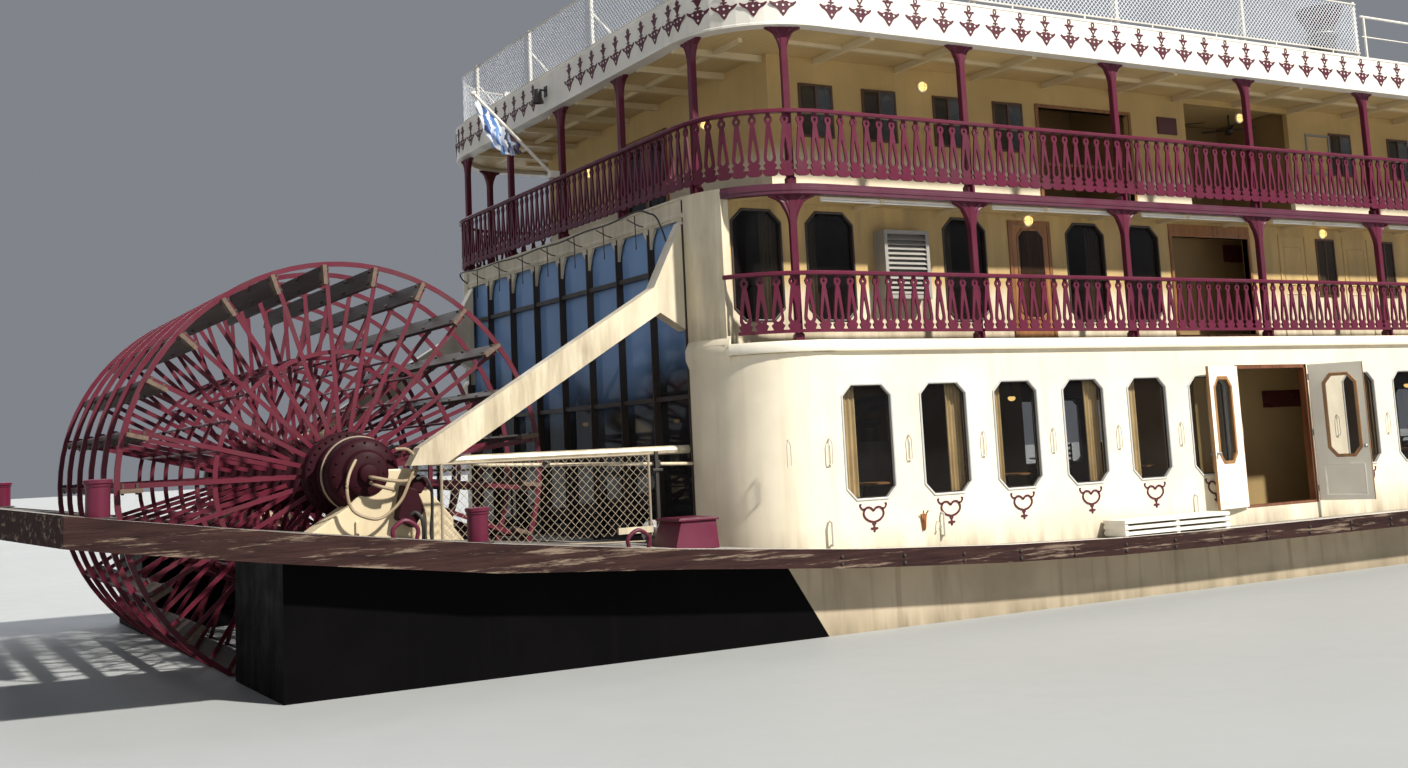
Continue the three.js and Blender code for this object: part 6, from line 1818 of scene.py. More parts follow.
latticeRuns = {"stern": housePath("stern", lattice["inset"], lattice["low"]),
               "starboard": np.array([(cornerEnd, -house["half"] + lattice["inset"], lattice["low"]),
                                      (lattice["end"], -house["half"] + lattice["inset"], lattice["low"])])}
latticeRuns["port"] = (latticeRuns["starboard"] * [1, -1, 1])[::-1]
latticePaint = makePaint("lattice_white_plastic", (0.62, 0.66, 0.72), (0.50, 0.52, 0.54), blotch=0.2,
                         streak=0.1, rough=0.35)
for word, path in latticeRuns.items():
    height = lattice["high"] - lattice["low"]
    makePiece(f"lattice_{word}", latticeOn(path, height, lattice["step"]), latticePaint,
              stands=("sun_deck_screen",))
    total = pathLength(path)
    railParts = [carry(path + [0, 0, z], [(-0.016, -0.016), (0.016, -0.016), (0.016, 0.016),
                                          (-0.016, 0.016)]) for z in (0.0, height)]
    makePiece(f"lattice_rails_{word}", railParts, steelPipe,
              stands=("sun_deck_screen",))
    count = max(2, round(total / 3.3))
    spots, along = placesOn(path, np.linspace(0.03, total - 0.03, count + 1))
    outward = outOf(along)
    frameParts = [copies(boxes([-0.035, levels["sunDeck"] - lattice["low"] + 0.002, -0.03],
                               [0.035, height + 0.06, 0.03]), spots - outward * 0.05, along, (0, 0, 1),
                         outward)]
    stubSpots, stubAlong = placesOn(path, np.linspace(0.9, total - 0.9, 2 * count))
    frameParts.append(copies(boxes([-0.014, levels["sunDeck"] - lattice["low"] + 0.002, -0.014],
                                   [0.014, 0.0, 0.014]), stubSpots, stubAlong, (0, 0, 1), outOf(stubAlong)))
    makePiece(f"lattice_posts_{word}", frameParts, whitePaint,
              stands=("sun_deck_screen",))
    stays = [tube([spot + outWay * -0.08 + [0, 0, height * 0.62], spot + outWay * -0.95 + way * 0.6
                   + [0, 0, levels["sunDeck"] - lattice["low"] + 0.01]], 0.022, 6) for spot, outWay,
             way in list(zip(spots, outward, along))[1:-1]]
    if stays:
        makePiece(f"lattice_stays_{word}", stays, whitePaint, stands=("sun_deck_screen",))
print("lattice screens ready")

# stern deck: bollard sleeves, pipes with clamps, wire mesh panel, winch cover, fairlead and guard bolts

sternKit = {"bollards": [(-32.05, 6.75), (-27.05, 6.75)], "meshY": 5.30, "meshX": (-27.05, -23.55),
            "meshZ": (1.72, 2.98), "wire": 0.009, "cell": 0.14}


def deckAt(x):
    # top of the deck: level in the middle, and rising as the square of the distance towards the tail and
    # the bow
    return 1.1 + 0.004 * min(x + 13.3, 0) ** 2 + 0.003 * max(x - 14, 0) ** 2


sleeves, bands = [], []
for x, y in sternKit["bollards"]:
    for side in (-1, 1):
        spot = np.array([x, side * y, deckAt(x)])
        sleeves.append(copies(turned([(0.149, 0.02), (0.149, 0.40), (0.160, 0.415), (0.160, 0.44),
                                      (0.176, 0.452), (0.176, 0.494), (0.165, 0.502), (0.001, 0.506)], 24),
                              spot, (1, 0, 0), (0, 1, 0), (0, 0, 1)))
        bands.append(copies(turned([(0.142, 0.0), (0.23, 0.0), (0.23, 0.018), (0.16, 0.03), (0.142, 0.03)],
                                   24), spot + [0, 0, 0.002], (1, 0, 0), (0, 1, 0), (0, 0, 1)))
makePiece("bollard_sleeves", sleeves, burgundyPaint, smooth=True)
makePiece("bollard_feet", bands, darkSteel, smooth=True)

pipes, clamps, meshBars, wires = [], [], [], []
for side in (-1, 1):
    pipes.append(tube([(-26.2, side * 5.16, 2.93), (-22.66, side * 5.16, 2.79)], 0.028, 10))
    pipes.append(tube(smoothPath([(-26.9, side * 4.3, 3.02), (-26.6, side * 4.9, 3.0),
                                  (-26.3, side * 5.16, 2.935), (-26.2, side * 5.16, 2.93)], 4), 0.028, 10))
    for x, z in ((-25.3, 2.90), (-23.35, 2.82)):
        clamps += [sideBox(side, x - 0.05, x + 0.05, 4.93, 5.24, z - 0.055, z - 0.03),
                   sideBox(side, x - 0.05, x + 0.05, 5.11, 5.24, z - 0.03, z + 0.05)]
    clamps.append(sideBox(side, -23.40, -23.34, 5.20, 5.25, 1.5, 3.02))
    clamps.append(sideBox(side, -23.46, -23.28, 5.17, 5.28, 2.70, 2.74))
    y = side * sternKit["meshY"]
    (xa, xb), (za, zb) = sternKit["meshX"], sternKit["meshZ"]
    for x in (xa, xb):
        meshBars.append(tube([(x, y, deckAt(x) + 0.002), (x, y, zb)], 0.022, 8))
    meshBars.append(tube([(xa, y, zb), (xb, y, zb)], 0.018, 8))
    meshBars.append(tube([(xa, y, za), (xb, y, za - 0.12)], 0.014, 6))
    high = zb - za
    for way in (1, -1):
        starts = np.arange(xa - high, xb, sternKit["cell"])
        for s in starts:
            a, b = max(s, xa), min(s + high, xb)
            if b - a < 0.05:
                continue
            zs = [za + (v - s) if way > 0 else zb - (v - s) for v in (a, b)]
            wires.append(tube([(a, y + 0.004 * way, zs[0]), (b, y + 0.004 * way, zs[1])],
                              sternKit["wire"] / 2, 4))
    pipes.append(sideBox(side, -24.16, -23.54, 5.315, 5.36, 1.74, 1.84))
makePiece("stern_pale_pipes", pipes, creamPaint, smooth=True)
makePiece("stern_pipe_clamps", clamps, blackPaint, bevel=0.005)
wirePaint = makePaint("tan_wire_metal", (0.30, 0.25, 0.18), (0.14, 0.10, 0.07), scale=4, blotch=0.4,
                      streak=0.2, rough=0.5)
makePiece("stern_mesh_frame", meshBars, wirePaint, smooth=True)
makePiece("stern_mesh_wires", wires, wirePaint)

# winch under its cover: a tapered box with a lipped lid, and a drum behind it between two cheek plates
z0 = 1.50
low = np.array([(-23.80, -6.55), (-23.02, -6.55), (-23.02, -5.72), (-23.80, -5.72)])
top = np.array([(-23.64, -6.48), (-23.02, -6.48), (-23.02, -5.78), (-23.64, -5.78)])
cover = np.concatenate([np.c_[low, np.full(4, z0)], np.c_[top, np.full(4, 1.93)]])
coverFaces = [gridFaces(2, 4, False, True), np.arange(4)[None], np.arange(4)[None] + 4]
lid = [box(-23.70, -22.99, -6.52, -5.74, 1.931, 1.965), box(-23.66, -23.03, -6.47, -5.79, 1.965, 1.978)]
makePiece("stern_winch_cover", [(cover, coverFaces)] + lid, burgundyPaint,
          stands=("stern_winch",), bevel=0.010)
drum = [copies(turned([(0.02, -0.26), (0.20, -0.26), (0.20, -0.23), (0.11, -0.21), (0.10, 0.0),
                       (0.11, 0.21), (0.20, 0.23), (0.20, 0.26), (0.02, 0.26)], 24),
               np.array([-23.4, -5.30, 1.72]), (1, 0, 0), (0, 0, 1), (0, -1, 0)),
        box(-23.48, -23.32, -5.60, -5.585, 1.5, 1.84), box(-23.48, -23.32, -5.015, -5.0, 1.5, 1.84)]
makePiece("stern_winch_drum", drum, wornSteel, smooth=True)

fairleads = []
for x in (-28.15, -24.6):
    for side in (-1, 1):
        z = deckAt(x)
        arch = smoothPath([(x - 0.16, side * 6.9, z + 0.004), (x - 0.17, side * 6.9, z + 0.16),
                           (x, side * 6.9, z + 0.27), (x + 0.17, side * 6.9, z + 0.16),
                           (x + 0.16, side * 6.9, z + 0.004)], 6)
        fairleads.append(tube(arch, 0.030, 10, upward=(0, 1, 0.01)))
makePiece("stern_fairleads", fairleads, burgundyPaint, smooth=True)

# round bolt heads in pairs along the outer face of the guard, under its edge
guardBolt = {"step": 1.2, "face": 7.5, "under": (0.09, 0.20), "from": -21.4, "to": 13.6}
boltXs = np.arange(guardBolt["from"], guardBolt["to"], guardBolt["step"])
boltSpots = np.array([(x, side * guardBolt["face"], deckAt(x) - under) for x in boltXs for side in (-1, 1)
                      for under in guardBolt["under"]])
boltParts = [copies((boltHead[0] * 1.6, boltHead[1]), boltSpots[boltSpots[:, 1] * side > 0], (-side, 0, 0),
                    (0, 0, 1), (0, side, 0)) for side in (-1, 1)]
makePiece("guard_bolts", boltParts, darkSteel)

# awning frame above the stern glass: one long rail with bent ends, hangers at the mullions and short
# brackets
awning = {"x": -22.86, "high": 7.20, "sag": 0.09, "rail": 0.017, "rod": 0.0115}
ys = np.linspace(4.80, -3.90, 9)
railPath = np.stack([np.full(9, awning["x"]), ys, awning["high"] - awning["sag"]
                     * np.sin(np.linspace(0, np.pi, 9)) * 0.6 - 0.03 * (np.arange(9) % 2)], 1)
ends = [np.array([(-22.66, 4.95, 6.98), (-22.80, 4.93, 7.08)]),
        np.array([(awning["x"], -4.35, 7.10), (awning["x"] + 0.02, -4.66, 6.93), (-22.66, -4.74, 6.30)])]
frameRail = [tube(smoothPath(np.concatenate([ends[0], railPath, ends[1]]), 4), awning["rail"], 6)]
for y in lines[1:-1]:
    frameRail.append(tube([(awning["x"], y + 0.30, 7.12), (-22.70, y + 0.16, 6.99),
                           (-22.62, y + 0.14, 6.97)], awning["rod"], 5))
    frameRail.append(tube([(awning["x"], y, 7.14), (awning["x"] - 0.01, y - 0.03, 6.86),
                           (awning["x"] - 0.05, y - 0.12, 6.52)], awning["rod"], 5))
makePiece("awning_frame", frameRail, blackPaint)
print("stern deck kit ready")

# flag furled in folds along the slanting staff, and the staff's truck, bands and halyard

flagKit = {"foot": (-22.7, 8.6), "head": (-24.35, 10.15), "from": 0.40, "to": 0.955, "drop": 0.62,
           "folds": 5, "depth": 0.055}


def makeFlagCloth():
    # light cloth with plain slanting bands of blue, white and near black; a fine weave and soft creases
    material, tree, shader = startMaterial("flag_cloth_bands", sheen=0.4)
    part = addNode(tree, "SeparateXYZ", {0: place(tree)})
    slant = reckon(tree, "ADD", part.outputs["X"], reckon(tree, "MULTIPLY", part.outputs["Z"], 0.28))
    slant = reckon(tree, "ADD", slant, spread(tree, noise(tree, place(tree), 9.0, 4), 0.3, 0.7, -0.03, 0.03))
    ramp = addNode(tree, "ValToRGB", {"Fac": spread(tree, slant, -10.75, -10.40)})
    ramp.color_ramp.interpolation = "CONSTANT"
    bandsAt = [(0.0, (0.62, 0.66, 0.74)), (0.14, (0.05, 0.13, 0.36)), (0.24, (0.66, 0.70, 0.78)),
               (0.34, (0.10, 0.24, 0.55)), (0.46, (0.64, 0.68, 0.76)), (0.58, (0.02, 0.03, 0.08)),
               (0.68, (0.30, 0.36, 0.48)), (0.78, (0.04, 0.012, 0.02)), (0.88, (0.03, 0.05, 0.14))]
    elements = ramp.color_ramp.elements
    while len(elements) < len(bandsAt):
        elements.new(0.5)
    for element, (at, colour) in zip(elements, bandsAt):
        element.position = at
        element.color = (*colour, 1)
    weave = addNode(tree, "TexWave", {"Vector": place(tree), "Scale": 220.0, "Distortion": 0.6},
                    bands_direction="Z").outputs["Fac"]
    joinFinish(tree, shader, ramp.outputs["Color"], spread(tree, weave, 0, 1, 0.65, 0.85), weave, 0.0003, 0.4)
    return material


foot, head = (np.array([p[0], 0.0, p[1]]) for p in (flagKit["foot"], flagKit["head"]))
s = np.linspace(0, 1, 61)
t = np.linspace(0, 1, 25)
hoist = foot + (head - foot) * (flagKit["from"] + (flagKit["to"] - flagKit["from"]) * s)[:, None]
belly = flagKit["drop"] * (0.30 + 0.70 * np.sin(np.pi * (1 - s) ** 0.8) ** 0.9)
sway = flagKit["depth"] * np.sin(2 * np.pi * flagKit["folds"] * s[:, None] + 1.2
                                 * t[None]) * (0.25 + 0.75 * t[None])
cloth = hoist[:, None] + np.array([0, 0, -1.0]) * (0.045 + belly[:, None]
                                                   * t[None])[..., None] + np.array([0, 1.0, 0]) * sway[...,
                                                                                                        None]
cloth[..., 0] += 0.05 * np.sin(3 * np.pi * t)[None] * t[None]
flagPiece = makePiece("flag_folds", [(cloth.reshape(-1, 3), [gridFaces(len(s), len(t))])], makeFlagCloth(),
                      smooth=True, stands=("flag",))
flagSkin = flagPiece.modifiers.new("cloth", "SOLIDIFY")
flagSkin.thickness, flagSkin.offset = 0.0012, 0
axisOf = unit(head - foot)
staffKit = [copies(turned([(0.034, 0), (0.062, 0.012), (0.066, 0.035), (0.045, 0.062), (0.001, 0.070)], 16),
                   head - axisOf * 0.066, (0, 1, 0), np.cross(axisOf, (0, 1, 0)), axisOf)]
staffKit += [copies(turned([(0.036, -0.012), (0.042, -0.006), (0.042, 0.006), (0.036, 0.012)], 14),
                    foot + (head - foot) * f, (0, 1, 0), np.cross(axisOf, (0, 1, 0)), axisOf)
             for f in (0.1, 0.405, 0.95)]
staffKit.append(tube([foot + (head - foot) * 0.12 + [0, 0.048, 0], foot + (head - foot) * 0.5
                      + [0.01, 0.050, -0.01], head - axisOf * 0.1 + [0, 0.045, 0]], 0.006, 5))
makePiece("flagstaff_fittings", staffKit, whitePaint, smooth=True)
bell = turned([(0.001, 0.27), (0.055, 0.265), (0.08, 0.22), (0.085, 0.09), (0.12, 0.0), (0.12, -0.02),
               (0.10, -0.02), (0.001, 0.04)], 20)
bellKit = [copies(bell, np.array([-22.84, 0.25, 10.12]), (1, 0, 0), (0, 1, 0), (0, 0, 1)),
           box(-22.84, -22.655, 0.23, 0.27, 10.36, 10.39), box(-22.672, -22.655, 0.18, 0.32, 10.24, 10.46)]
makePiece("stern_bell_lamp", bellKit, blackPaint, smooth=True)
print("flag ready")

# engine behind the glass, and hooks and cleats on the wall

engine = [box(-19.4, -15.6, -1.62, -1.42, 1.2, 1.5), box(-19.4, -15.6, 1.42, 1.62, 1.2, 1.5)]
for k in range(6):
    x = -19.0 + 0.62 * k
    for side in (-1, 1):
        engine.append(copies(turned([(0.001, 0.34), (0.16, 0.33), (0.20, 0.28), (0.20, 0.06), (0.24, 0.0),
                                     (0.001, 0.0)], 18), np.array([x, side * 0.8, 3.0]), (1, 0, 0),
                             (0, 1, 0), (0, 0, 1)))
engine.append(tube(smoothPath([(-15.9, 0, 3.05), (-15.9, 0, 3.5), (-15.4, 0, 3.8), (-14.4, 0, 3.85)], 6),
                   0.16, 14))
for y in (-0.8, 0.8):
    engine.append(tube([(-19.2, y, 3.42), (-15.6, y, 3.42)], 0.07, 10))
makePiece("engine_fittings", engine, wornSteel, smooth=True)

hooks, cleats = [], []
for side in (-1, 1):
    for x, z in ((-21.15, 1.60), (-18.9, 1.60), (-12.9, 1.55)):
        spot = np.array([x, side * house["half"], z])
        y = side * (house["half"] + 0.001)
        hooks.append(tube([spot + [0, side * 0.002, -0.20], spot + [0, side * 0.07, -0.19],
                           spot + [0, side * 0.07, 0.16], spot + [0, side * 0.002, 0.19]], 0.019, 8,
                          upward=(1, 0, 0.02)))
    places, along, outward = wallFrames(side, [-19.28, -6.0, 2.1], 1.65, house["half"])
    cleats.append(copies(ringOf([(-0.03, -0.13), (0.03, -0.13), (0.045, 0.13), (-0.045, 0.13)],
                                [(-0.03, 0), (-0.03, 0.02), (0, 0.02), (0.006, 0)]), places, along,
                         (0, 0, 1), outward))
    cleats.append(copies(tube(smoothPath([(0, -0.10, 0.0), (0, -0.10, 0.05), (0.0, 0.02, 0.07),
                                          (0.03, 0.13, 0.06), (0.05, 0.19, 0.09)], 4), 0.013, 6,
                              upward=(1, 0, 0.02)), places, along, (0, 0, 1), outward))
    cleats.append(copies(tube(smoothPath([(0, -0.10, 0.05), (-0.03, 0.13, 0.06), (-0.05, 0.19, 0.09)], 4),
                              0.013, 6, upward=(1, 0, 0.02)), places, along, (0, 0, 1), outward))
    places, along, outward = wallFrames(side, [-19.0, -5.7], 1.58, house["half"])
    hooks.append(copies(tube(smoothPath([(0, 0.06, 0), (0, 0.05, 0.05), (0, -0.03, 0.07), (0, -0.06, 0.05),
                                         (0, -0.04, 0.10), (0, 0.0, 0.12)], 4), 0.010, 6,
                             upward=(1, 0, 0.02)), places, along, (0, 0, 1), outward))
makePiece("wall_brackets", hooks, steelPipe, smooth=True)
makePiece("wall_cleats", cleats, makePaint("rusty_cleat_metal", (0.33, 0.13, 0.045), (0.14, 0.06, 0.03),
                                           scale=6, blotch=0.5, streak=0.2, rough=0.6), smooth=True)

# saloon seen through the windows: a raised floor along the walls, ladder-back chairs, round tables and
# lamps

saloon = {"floor": 1.56, "chairHigh": 1.10, "seat": 0.46, "lampHigh": 3.72}
chairPosts = [box(-0.22, -0.185, -0.21, -0.175, 0, saloon["chairHigh"]),
              box(0.185, 0.22, -0.21, -0.175, 0, saloon["chairHigh"]),
              box(-0.22, -0.185, 0.175, 0.21, 0, saloon["seat"] - 0.04),
              box(0.185, 0.22, 0.175, 0.21, 0, saloon["seat"] - 0.04)]
chairSlats = [carry([(-0.185, -0.19, z), (0, -0.225, z + 0.012), (0.185, -0.19, z)],
                    [(-0.008, -0.035), (0.008, -0.035), (0.008, 0.035), (-0.008, 0.035)])
              for z in (0.60, 0.74, 0.88, 1.03)]
chairSlats.append(box(-0.22, 0.22, -0.21, 0.21, saloon["seat"] - 0.04, saloon["seat"]))
tableTop = turned([(0.001, 0.70), (0.03, 0.70), (0.42, 0.705), (0.45, 0.715), (0.45, 0.735), (0.43, 0.745),
                   (0.001, 0.746)], 28)
tableFoot = turned([(0.001, 0.0), (0.24, 0.0), (0.24, 0.02), (0.06, 0.05), (0.04, 0.10), (0.035, 0.40),
                    (0.045, 0.66), (0.10, 0.699), (0.001, 0.699)], 18)
chairs, seats, tables, feet, daisParts, ceilingLamps = [], [], [], [], [], []
tableXs = np.concatenate([np.arange(-19.5, -11.5, 1.594 * 2), np.arange(-5.2, 12.5, 1.594 * 2)])
for side in (-1, 1):
    for daisAft, daisFore in ((-21.2, -11.4), (-6.6, 13.2)):
        daisParts.append(sideBox(side, daisAft, daisFore, 4.3, 6.55, 1.12, saloon["floor"]))
    for x in tableXs:
        spot = np.array([x, side * 5.55, saloon["floor"] + 0.001])
        tables.append(copies(tableTop, spot, (1, 0, 0), (0, 1, 0), (0, 0, 1)))
        feet.append(copies(tableFoot, spot, (1, 0, 0), (0, 1, 0), (0, 0, 1)))
        for way, shift in ((-1, -0.80), (1, 0.80)):
            # a chair looks along +v towards the table
            chairPlace = spot + [shift, side * 0.18, 0]
            facing = np.array([-way, 0.0, 0])
            chairAcross = np.cross(facing, (0, 0, 1))
            chairs += groupCopies(chairPosts, chairPlace, chairAcross, facing, (0, 0, 1))
            seats += groupCopies(chairSlats, chairPlace, chairAcross, facing, (0, 0, 1))
    for x in np.concatenate([np.arange(-20, -11.5, 2.4), np.arange(-5.5, 13, 2.4)]):
        ceilingLamps.append(copies(turned([(0.001, -0.07), (0.045, -0.06), (0.07, -0.03), (0.075, 0.0),
                                           (0.05, 0.02), (0.001, 0.02)], 16),
                                   np.array([x, side * 4.6, saloon["lampHigh"]]), (1, 0, 0), (0, 1, 0),
                                   (0, 0, 1)))
        feet.append(copies(turned([(0.012, 0.02), (0.012, 0.74)], 8),
                           np.array([x, side * 4.6, saloon["lampHigh"]]), (1, 0, 0), (0, 1, 0), (0, 0, 1)))
redSeat = makePaint("red_chair_paint", (0.34, 0.035, 0.022), (0.15, 0.02, 0.015), scale=4, blotch=0.4,
                    streak=0.1, rough=0.35, coat=0.3)
makePiece("saloon_dais", daisParts, carpet)
makePiece("saloon_chair_frames", chairs, brownTimber)
makePiece("saloon_chair_slats", seats, redSeat)
makePiece("saloon_tables", tables, ochreTimber, smooth=True)
makePiece("saloon_table_feet", feet, darkSteel, smooth=True)
makePiece("saloon_lamps", ceilingLamps, lampWarm, smooth=True)
print("saloon ready")

# glazed doors at the ends of the rooms: frames, rails and panes in the open ends


def glazedEnd(x, half, footHeight, headHeight, thick=0.05):
    # pair of doors across an end wall: stiles and rails of each leaf, and its pane
    bars, doorPanes = [], []
    for side in (-1, 1):
        a, b = (0.004, half - 0.006)
        nearY, farY = sorted((side * a, side * b))
        for lo, hi in ((nearY, nearY + 0.07), (farY - 0.07, farY)):
            bars.append(box(x - thick / 2, x + thick / 2, lo, hi, footHeight + 0.01, headHeight - 0.01))
        for lo, hi in ((footHeight + 0.01, footHeight + 0.28), (footHeight + 0.95, footHeight + 1.03),
                       (headHeight - 0.10, headHeight - 0.01)):
            bars.append(box(x - thick / 2 + 0.003, x + thick / 2 - 0.003, nearY + 0.07, farY - 0.07, lo, hi))
        for lo, hi in ((footHeight + 0.28, footHeight + 0.95), (footHeight + 1.03, headHeight - 0.10)):
            doorPanes.append(box(x - 0.006, x + 0.006, nearY + 0.07, farY - 0.07, lo, hi))
        bars.append(tube([(x + 0.03, side * 0.05, footHeight + 0.95),
                          (x + 0.07, side * 0.05, footHeight + 0.97),
                          (x + 0.07, side * 0.05, footHeight + 1.15),
                          (x + 0.03, side * 0.05, footHeight + 1.17)], 0.010, 6, upward=(0, 1, 0.02)))
    return bars, doorPanes


frontBars, frontPanes = [], []
for x, half, footHeight, headHeight in ((20.36, 0.90, 1.5, 3.9), (19.44, 0.50, 4.69, 6.75),
                                        (-20.54, 0.95, 7.28, 9.4)):
    got = glazedEnd(x, half, footHeight, headHeight)
    frontBars += got[0]
    frontPanes += got[1]
makePiece("end_door_frames", frontBars, brownTimber)
makePiece("end_door_panes", frontPanes, galleryGlass)

# wheelhouse: window frames and panes, roof edge moulding, door panels, steering wheel and console inside

bridge = {"aft": 8.4, "fore": 12.6, "half": 2.3, "sightLow": 11.2, "sightHigh": 12.3}
roomFrames, roomPanes = [], []


def sightFrame(centre, along, outward, wide, high, bars=1):
    # frame round an opening, its glazing bar and its pane, all in the wall's own directions
    halfWide, halfHigh = wide / 2, high / 2
    rect = [(-halfWide, -halfHigh), (halfWide, -halfHigh), (halfWide, halfHigh), (-halfWide, halfHigh)]
    roomFrames.append(copies(ringOf(rect, [(-0.035, -0.07), (-0.035, 0.012), (0.0, 0.020), (0.045, 0.020),
                                           (0.045, 0.002), (0.0, 0.002), (0.0, -0.07)]), centre, along,
                             (0, 0, 1), outward))
    roomPanes.append(copies(plate(np.array(rect) * 0.985, 0.012), centre - np.asarray(outward) * 0.045,
                            along, (0, 0, 1), outward))
    for k in range(bars):
        u = -halfWide + wide * (k + 1) / (bars + 1)
        roomFrames.append(copies(boxes([u - 0.018, -halfHigh + 0.035, -0.06],
                                       [u + 0.018, halfHigh - 0.035, 0.004]), centre, along, (0, 0, 1),
                                 outward))


middleZ = (bridge["sightLow"] + bridge["sightHigh"]) / 2
for y in (-1.55, 0, 1.55):
    sightFrame(np.array([bridge["fore"], y, middleZ]), (0, 1, 0), (1, 0, 0), 1.3, 1.1)
for x in (10.5, 11.8):
    for side in (-1, 1):
        sightFrame(np.array([x, side * bridge["half"], middleZ]), (-side, 0, 0), (0, side, 0), 1.1, 1.1)
sightFrame(np.array([bridge["aft"], 0, middleZ]), (0, -1, 0), (-1, 0, 0), 2.8, 1.1, 3)
makePiece("wheelhouse_window_frames", roomFrames, brownTimber)
makePiece("wheelhouse_panes", roomPanes, galleryGlass)
skirt = [box(bridge["aft"] - 0.02, bridge["fore"] + 0.02, side * 2.3 - 0.02, side * 2.3 + 0.02, 10.205,
             10.32) for side in (-1, 1)]
skirt += [box(x - 0.02, x + 0.02, -2.28, 2.28, 10.205, 10.32) for x in (bridge["aft"], bridge["fore"])]
roofLoop = np.array([(8.0, -2.7, 12.565), (13.0, -2.7, 12.565), (13.0, 2.7, 12.565), (8.0, 2.7, 12.565)])
roofEdgeParts = [carry(roofLoop, [(-0.02, -0.05), (0.012, -0.05), (0.022, -0.02), (0.022, 0.05),
                                  (0.012, 0.09), (-0.02, 0.09)], loop=True)]
dentils = []
for a, b, n in (((8.0, -2.7), (13.0, -2.7), 22), ((13.0, -2.7), (13.0, 2.7), 24),
                ((13.0, 2.7), (8.0, 2.7), 22), ((8.0, 2.7), (8.0, -2.7), 24)):
    f = (np.arange(n) + 0.5) / n
    spots = np.stack([a[0] + (b[0] - a[0]) * f, a[1] + (b[1] - a[1]) * f, np.full(n, 12.505)], 1)
    way = unit(np.array([b[0] - a[0], b[1] - a[1], 0]))
    dentils.append(copies(plate([(-0.05, 0), (-0.03, -0.06), (0, -0.085), (0.03, -0.06), (0.05, 0)], 0.02),
                          spots - np.cross(way, (0, 0, 1)) * 0.01, np.tile(way, (n, 1)), (0, 0, 1),
                          np.tile(np.cross(way, (0, 0, 1)), (n, 1))))
makePiece("wheelhouse_skirting", skirt, whitePaint)
makePiece("wheelhouse_roof_edge", roofEdgeParts + dentils, burgundyPaint)
consoleParts = [box(11.7, 12.45, -1.4, 1.4, 10.21, 10.95),
                carry([(11.62, -1.45, 10.95), (11.62, 1.45, 10.95)],
                      [(-0.86, 0.0), (-0.86, 0.22), (-0.02, 0.06), (-0.02, 0.0)])]
makePiece("wheelhouse_console", consoleParts, brownTimber)
steering = [copies(ringOf(ring(0.46, 40), [(-0.025, -0.02), (-0.025, 0.02), (0.025, 0.02), (0.025, -0.02)]),
                   np.array([11.45, 0, 11.15]), (0, 1, 0), (0, 0, 1), (-1, 0, 0)),
            copies(turned([(0.001, -0.03), (0.10, -0.03), (0.10, 0.02), (0.06, 0.05), (0.001, 0.055)], 20),
                   np.array([11.45, 0, 11.15]), (0, 1, 0), (0, 0, 1), (-1, 0, 0)),
            tube([(11.45, 0, 11.15), (11.75, 0, 11.05)], 0.04, 10)]
for k in range(8):
    a = k * np.pi / 4
    radial = np.array([0, math.cos(a), math.sin(a)])
    steering.append(copies(turned([(0.012, 0.09), (0.018, 0.20), (0.013, 0.30), (0.018, 0.44),
                                   (0.014, 0.49), (0.024, 0.56), (0.018, 0.61), (0.001, 0.62)], 10),
                           np.array([11.45, 0, 11.15]), (1, 0, 0), np.cross(radial, (1, 0, 0)), radial))
makePiece("wheelhouse_steering_wheel", steering, ochreTimber, smooth=True)
for side, word in ((-1, "starboard"), (1, "port")):
    y = 2.3
    leaf = [sideBox(side, 8.93, 9.37, y + 0.021, y + 0.036, 10.42, 10.75),
            sideBox(side, 8.93, 9.37, y + 0.021, y + 0.036, 10.83, 11.18)]
    lip = [sideBox(side, 8.87, 8.90, y + 0.021, y + 0.040, 11.27, 12.18),
           sideBox(side, 9.40, 9.43, y + 0.021, y + 0.040, 11.27, 12.18),
           sideBox(side, 8.90, 9.40, y + 0.021, y + 0.040, 12.15, 12.18),
           sideBox(side, 8.90, 9.40, y + 0.021, y + 0.040, 11.27, 11.30)]
    knob = [copies(turned([(0.012, 0.0), (0.012, 0.03), (0.032, 0.045), (0.032, 0.065), (0.001, 0.075)],
                          14), np.array([9.44, side * (y + 0.02), 11.05]), (-side, 0, 0), (0, 0, 1),
                   (0, side, 0))]
    body = f"wheelhouse_door_{word}"
    makePiece(f"wheelhouse_door_panels_{word}", leaf + lip, brownTimber, body=body,
              bevel=0.006)
    makePiece(f"wheelhouse_door_pane_{word}", [sideBox(side, 8.895, 9.405, y - 0.002, y + 0.008, 11.295,
                                                       12.155)], galleryGlass, body=body)
    makePiece(f"wheelhouse_door_knob_{word}", knob, wornSteel, body=body, smooth=True)
print("wheelhouse ready")

# funnels, mast lights and the fore deck

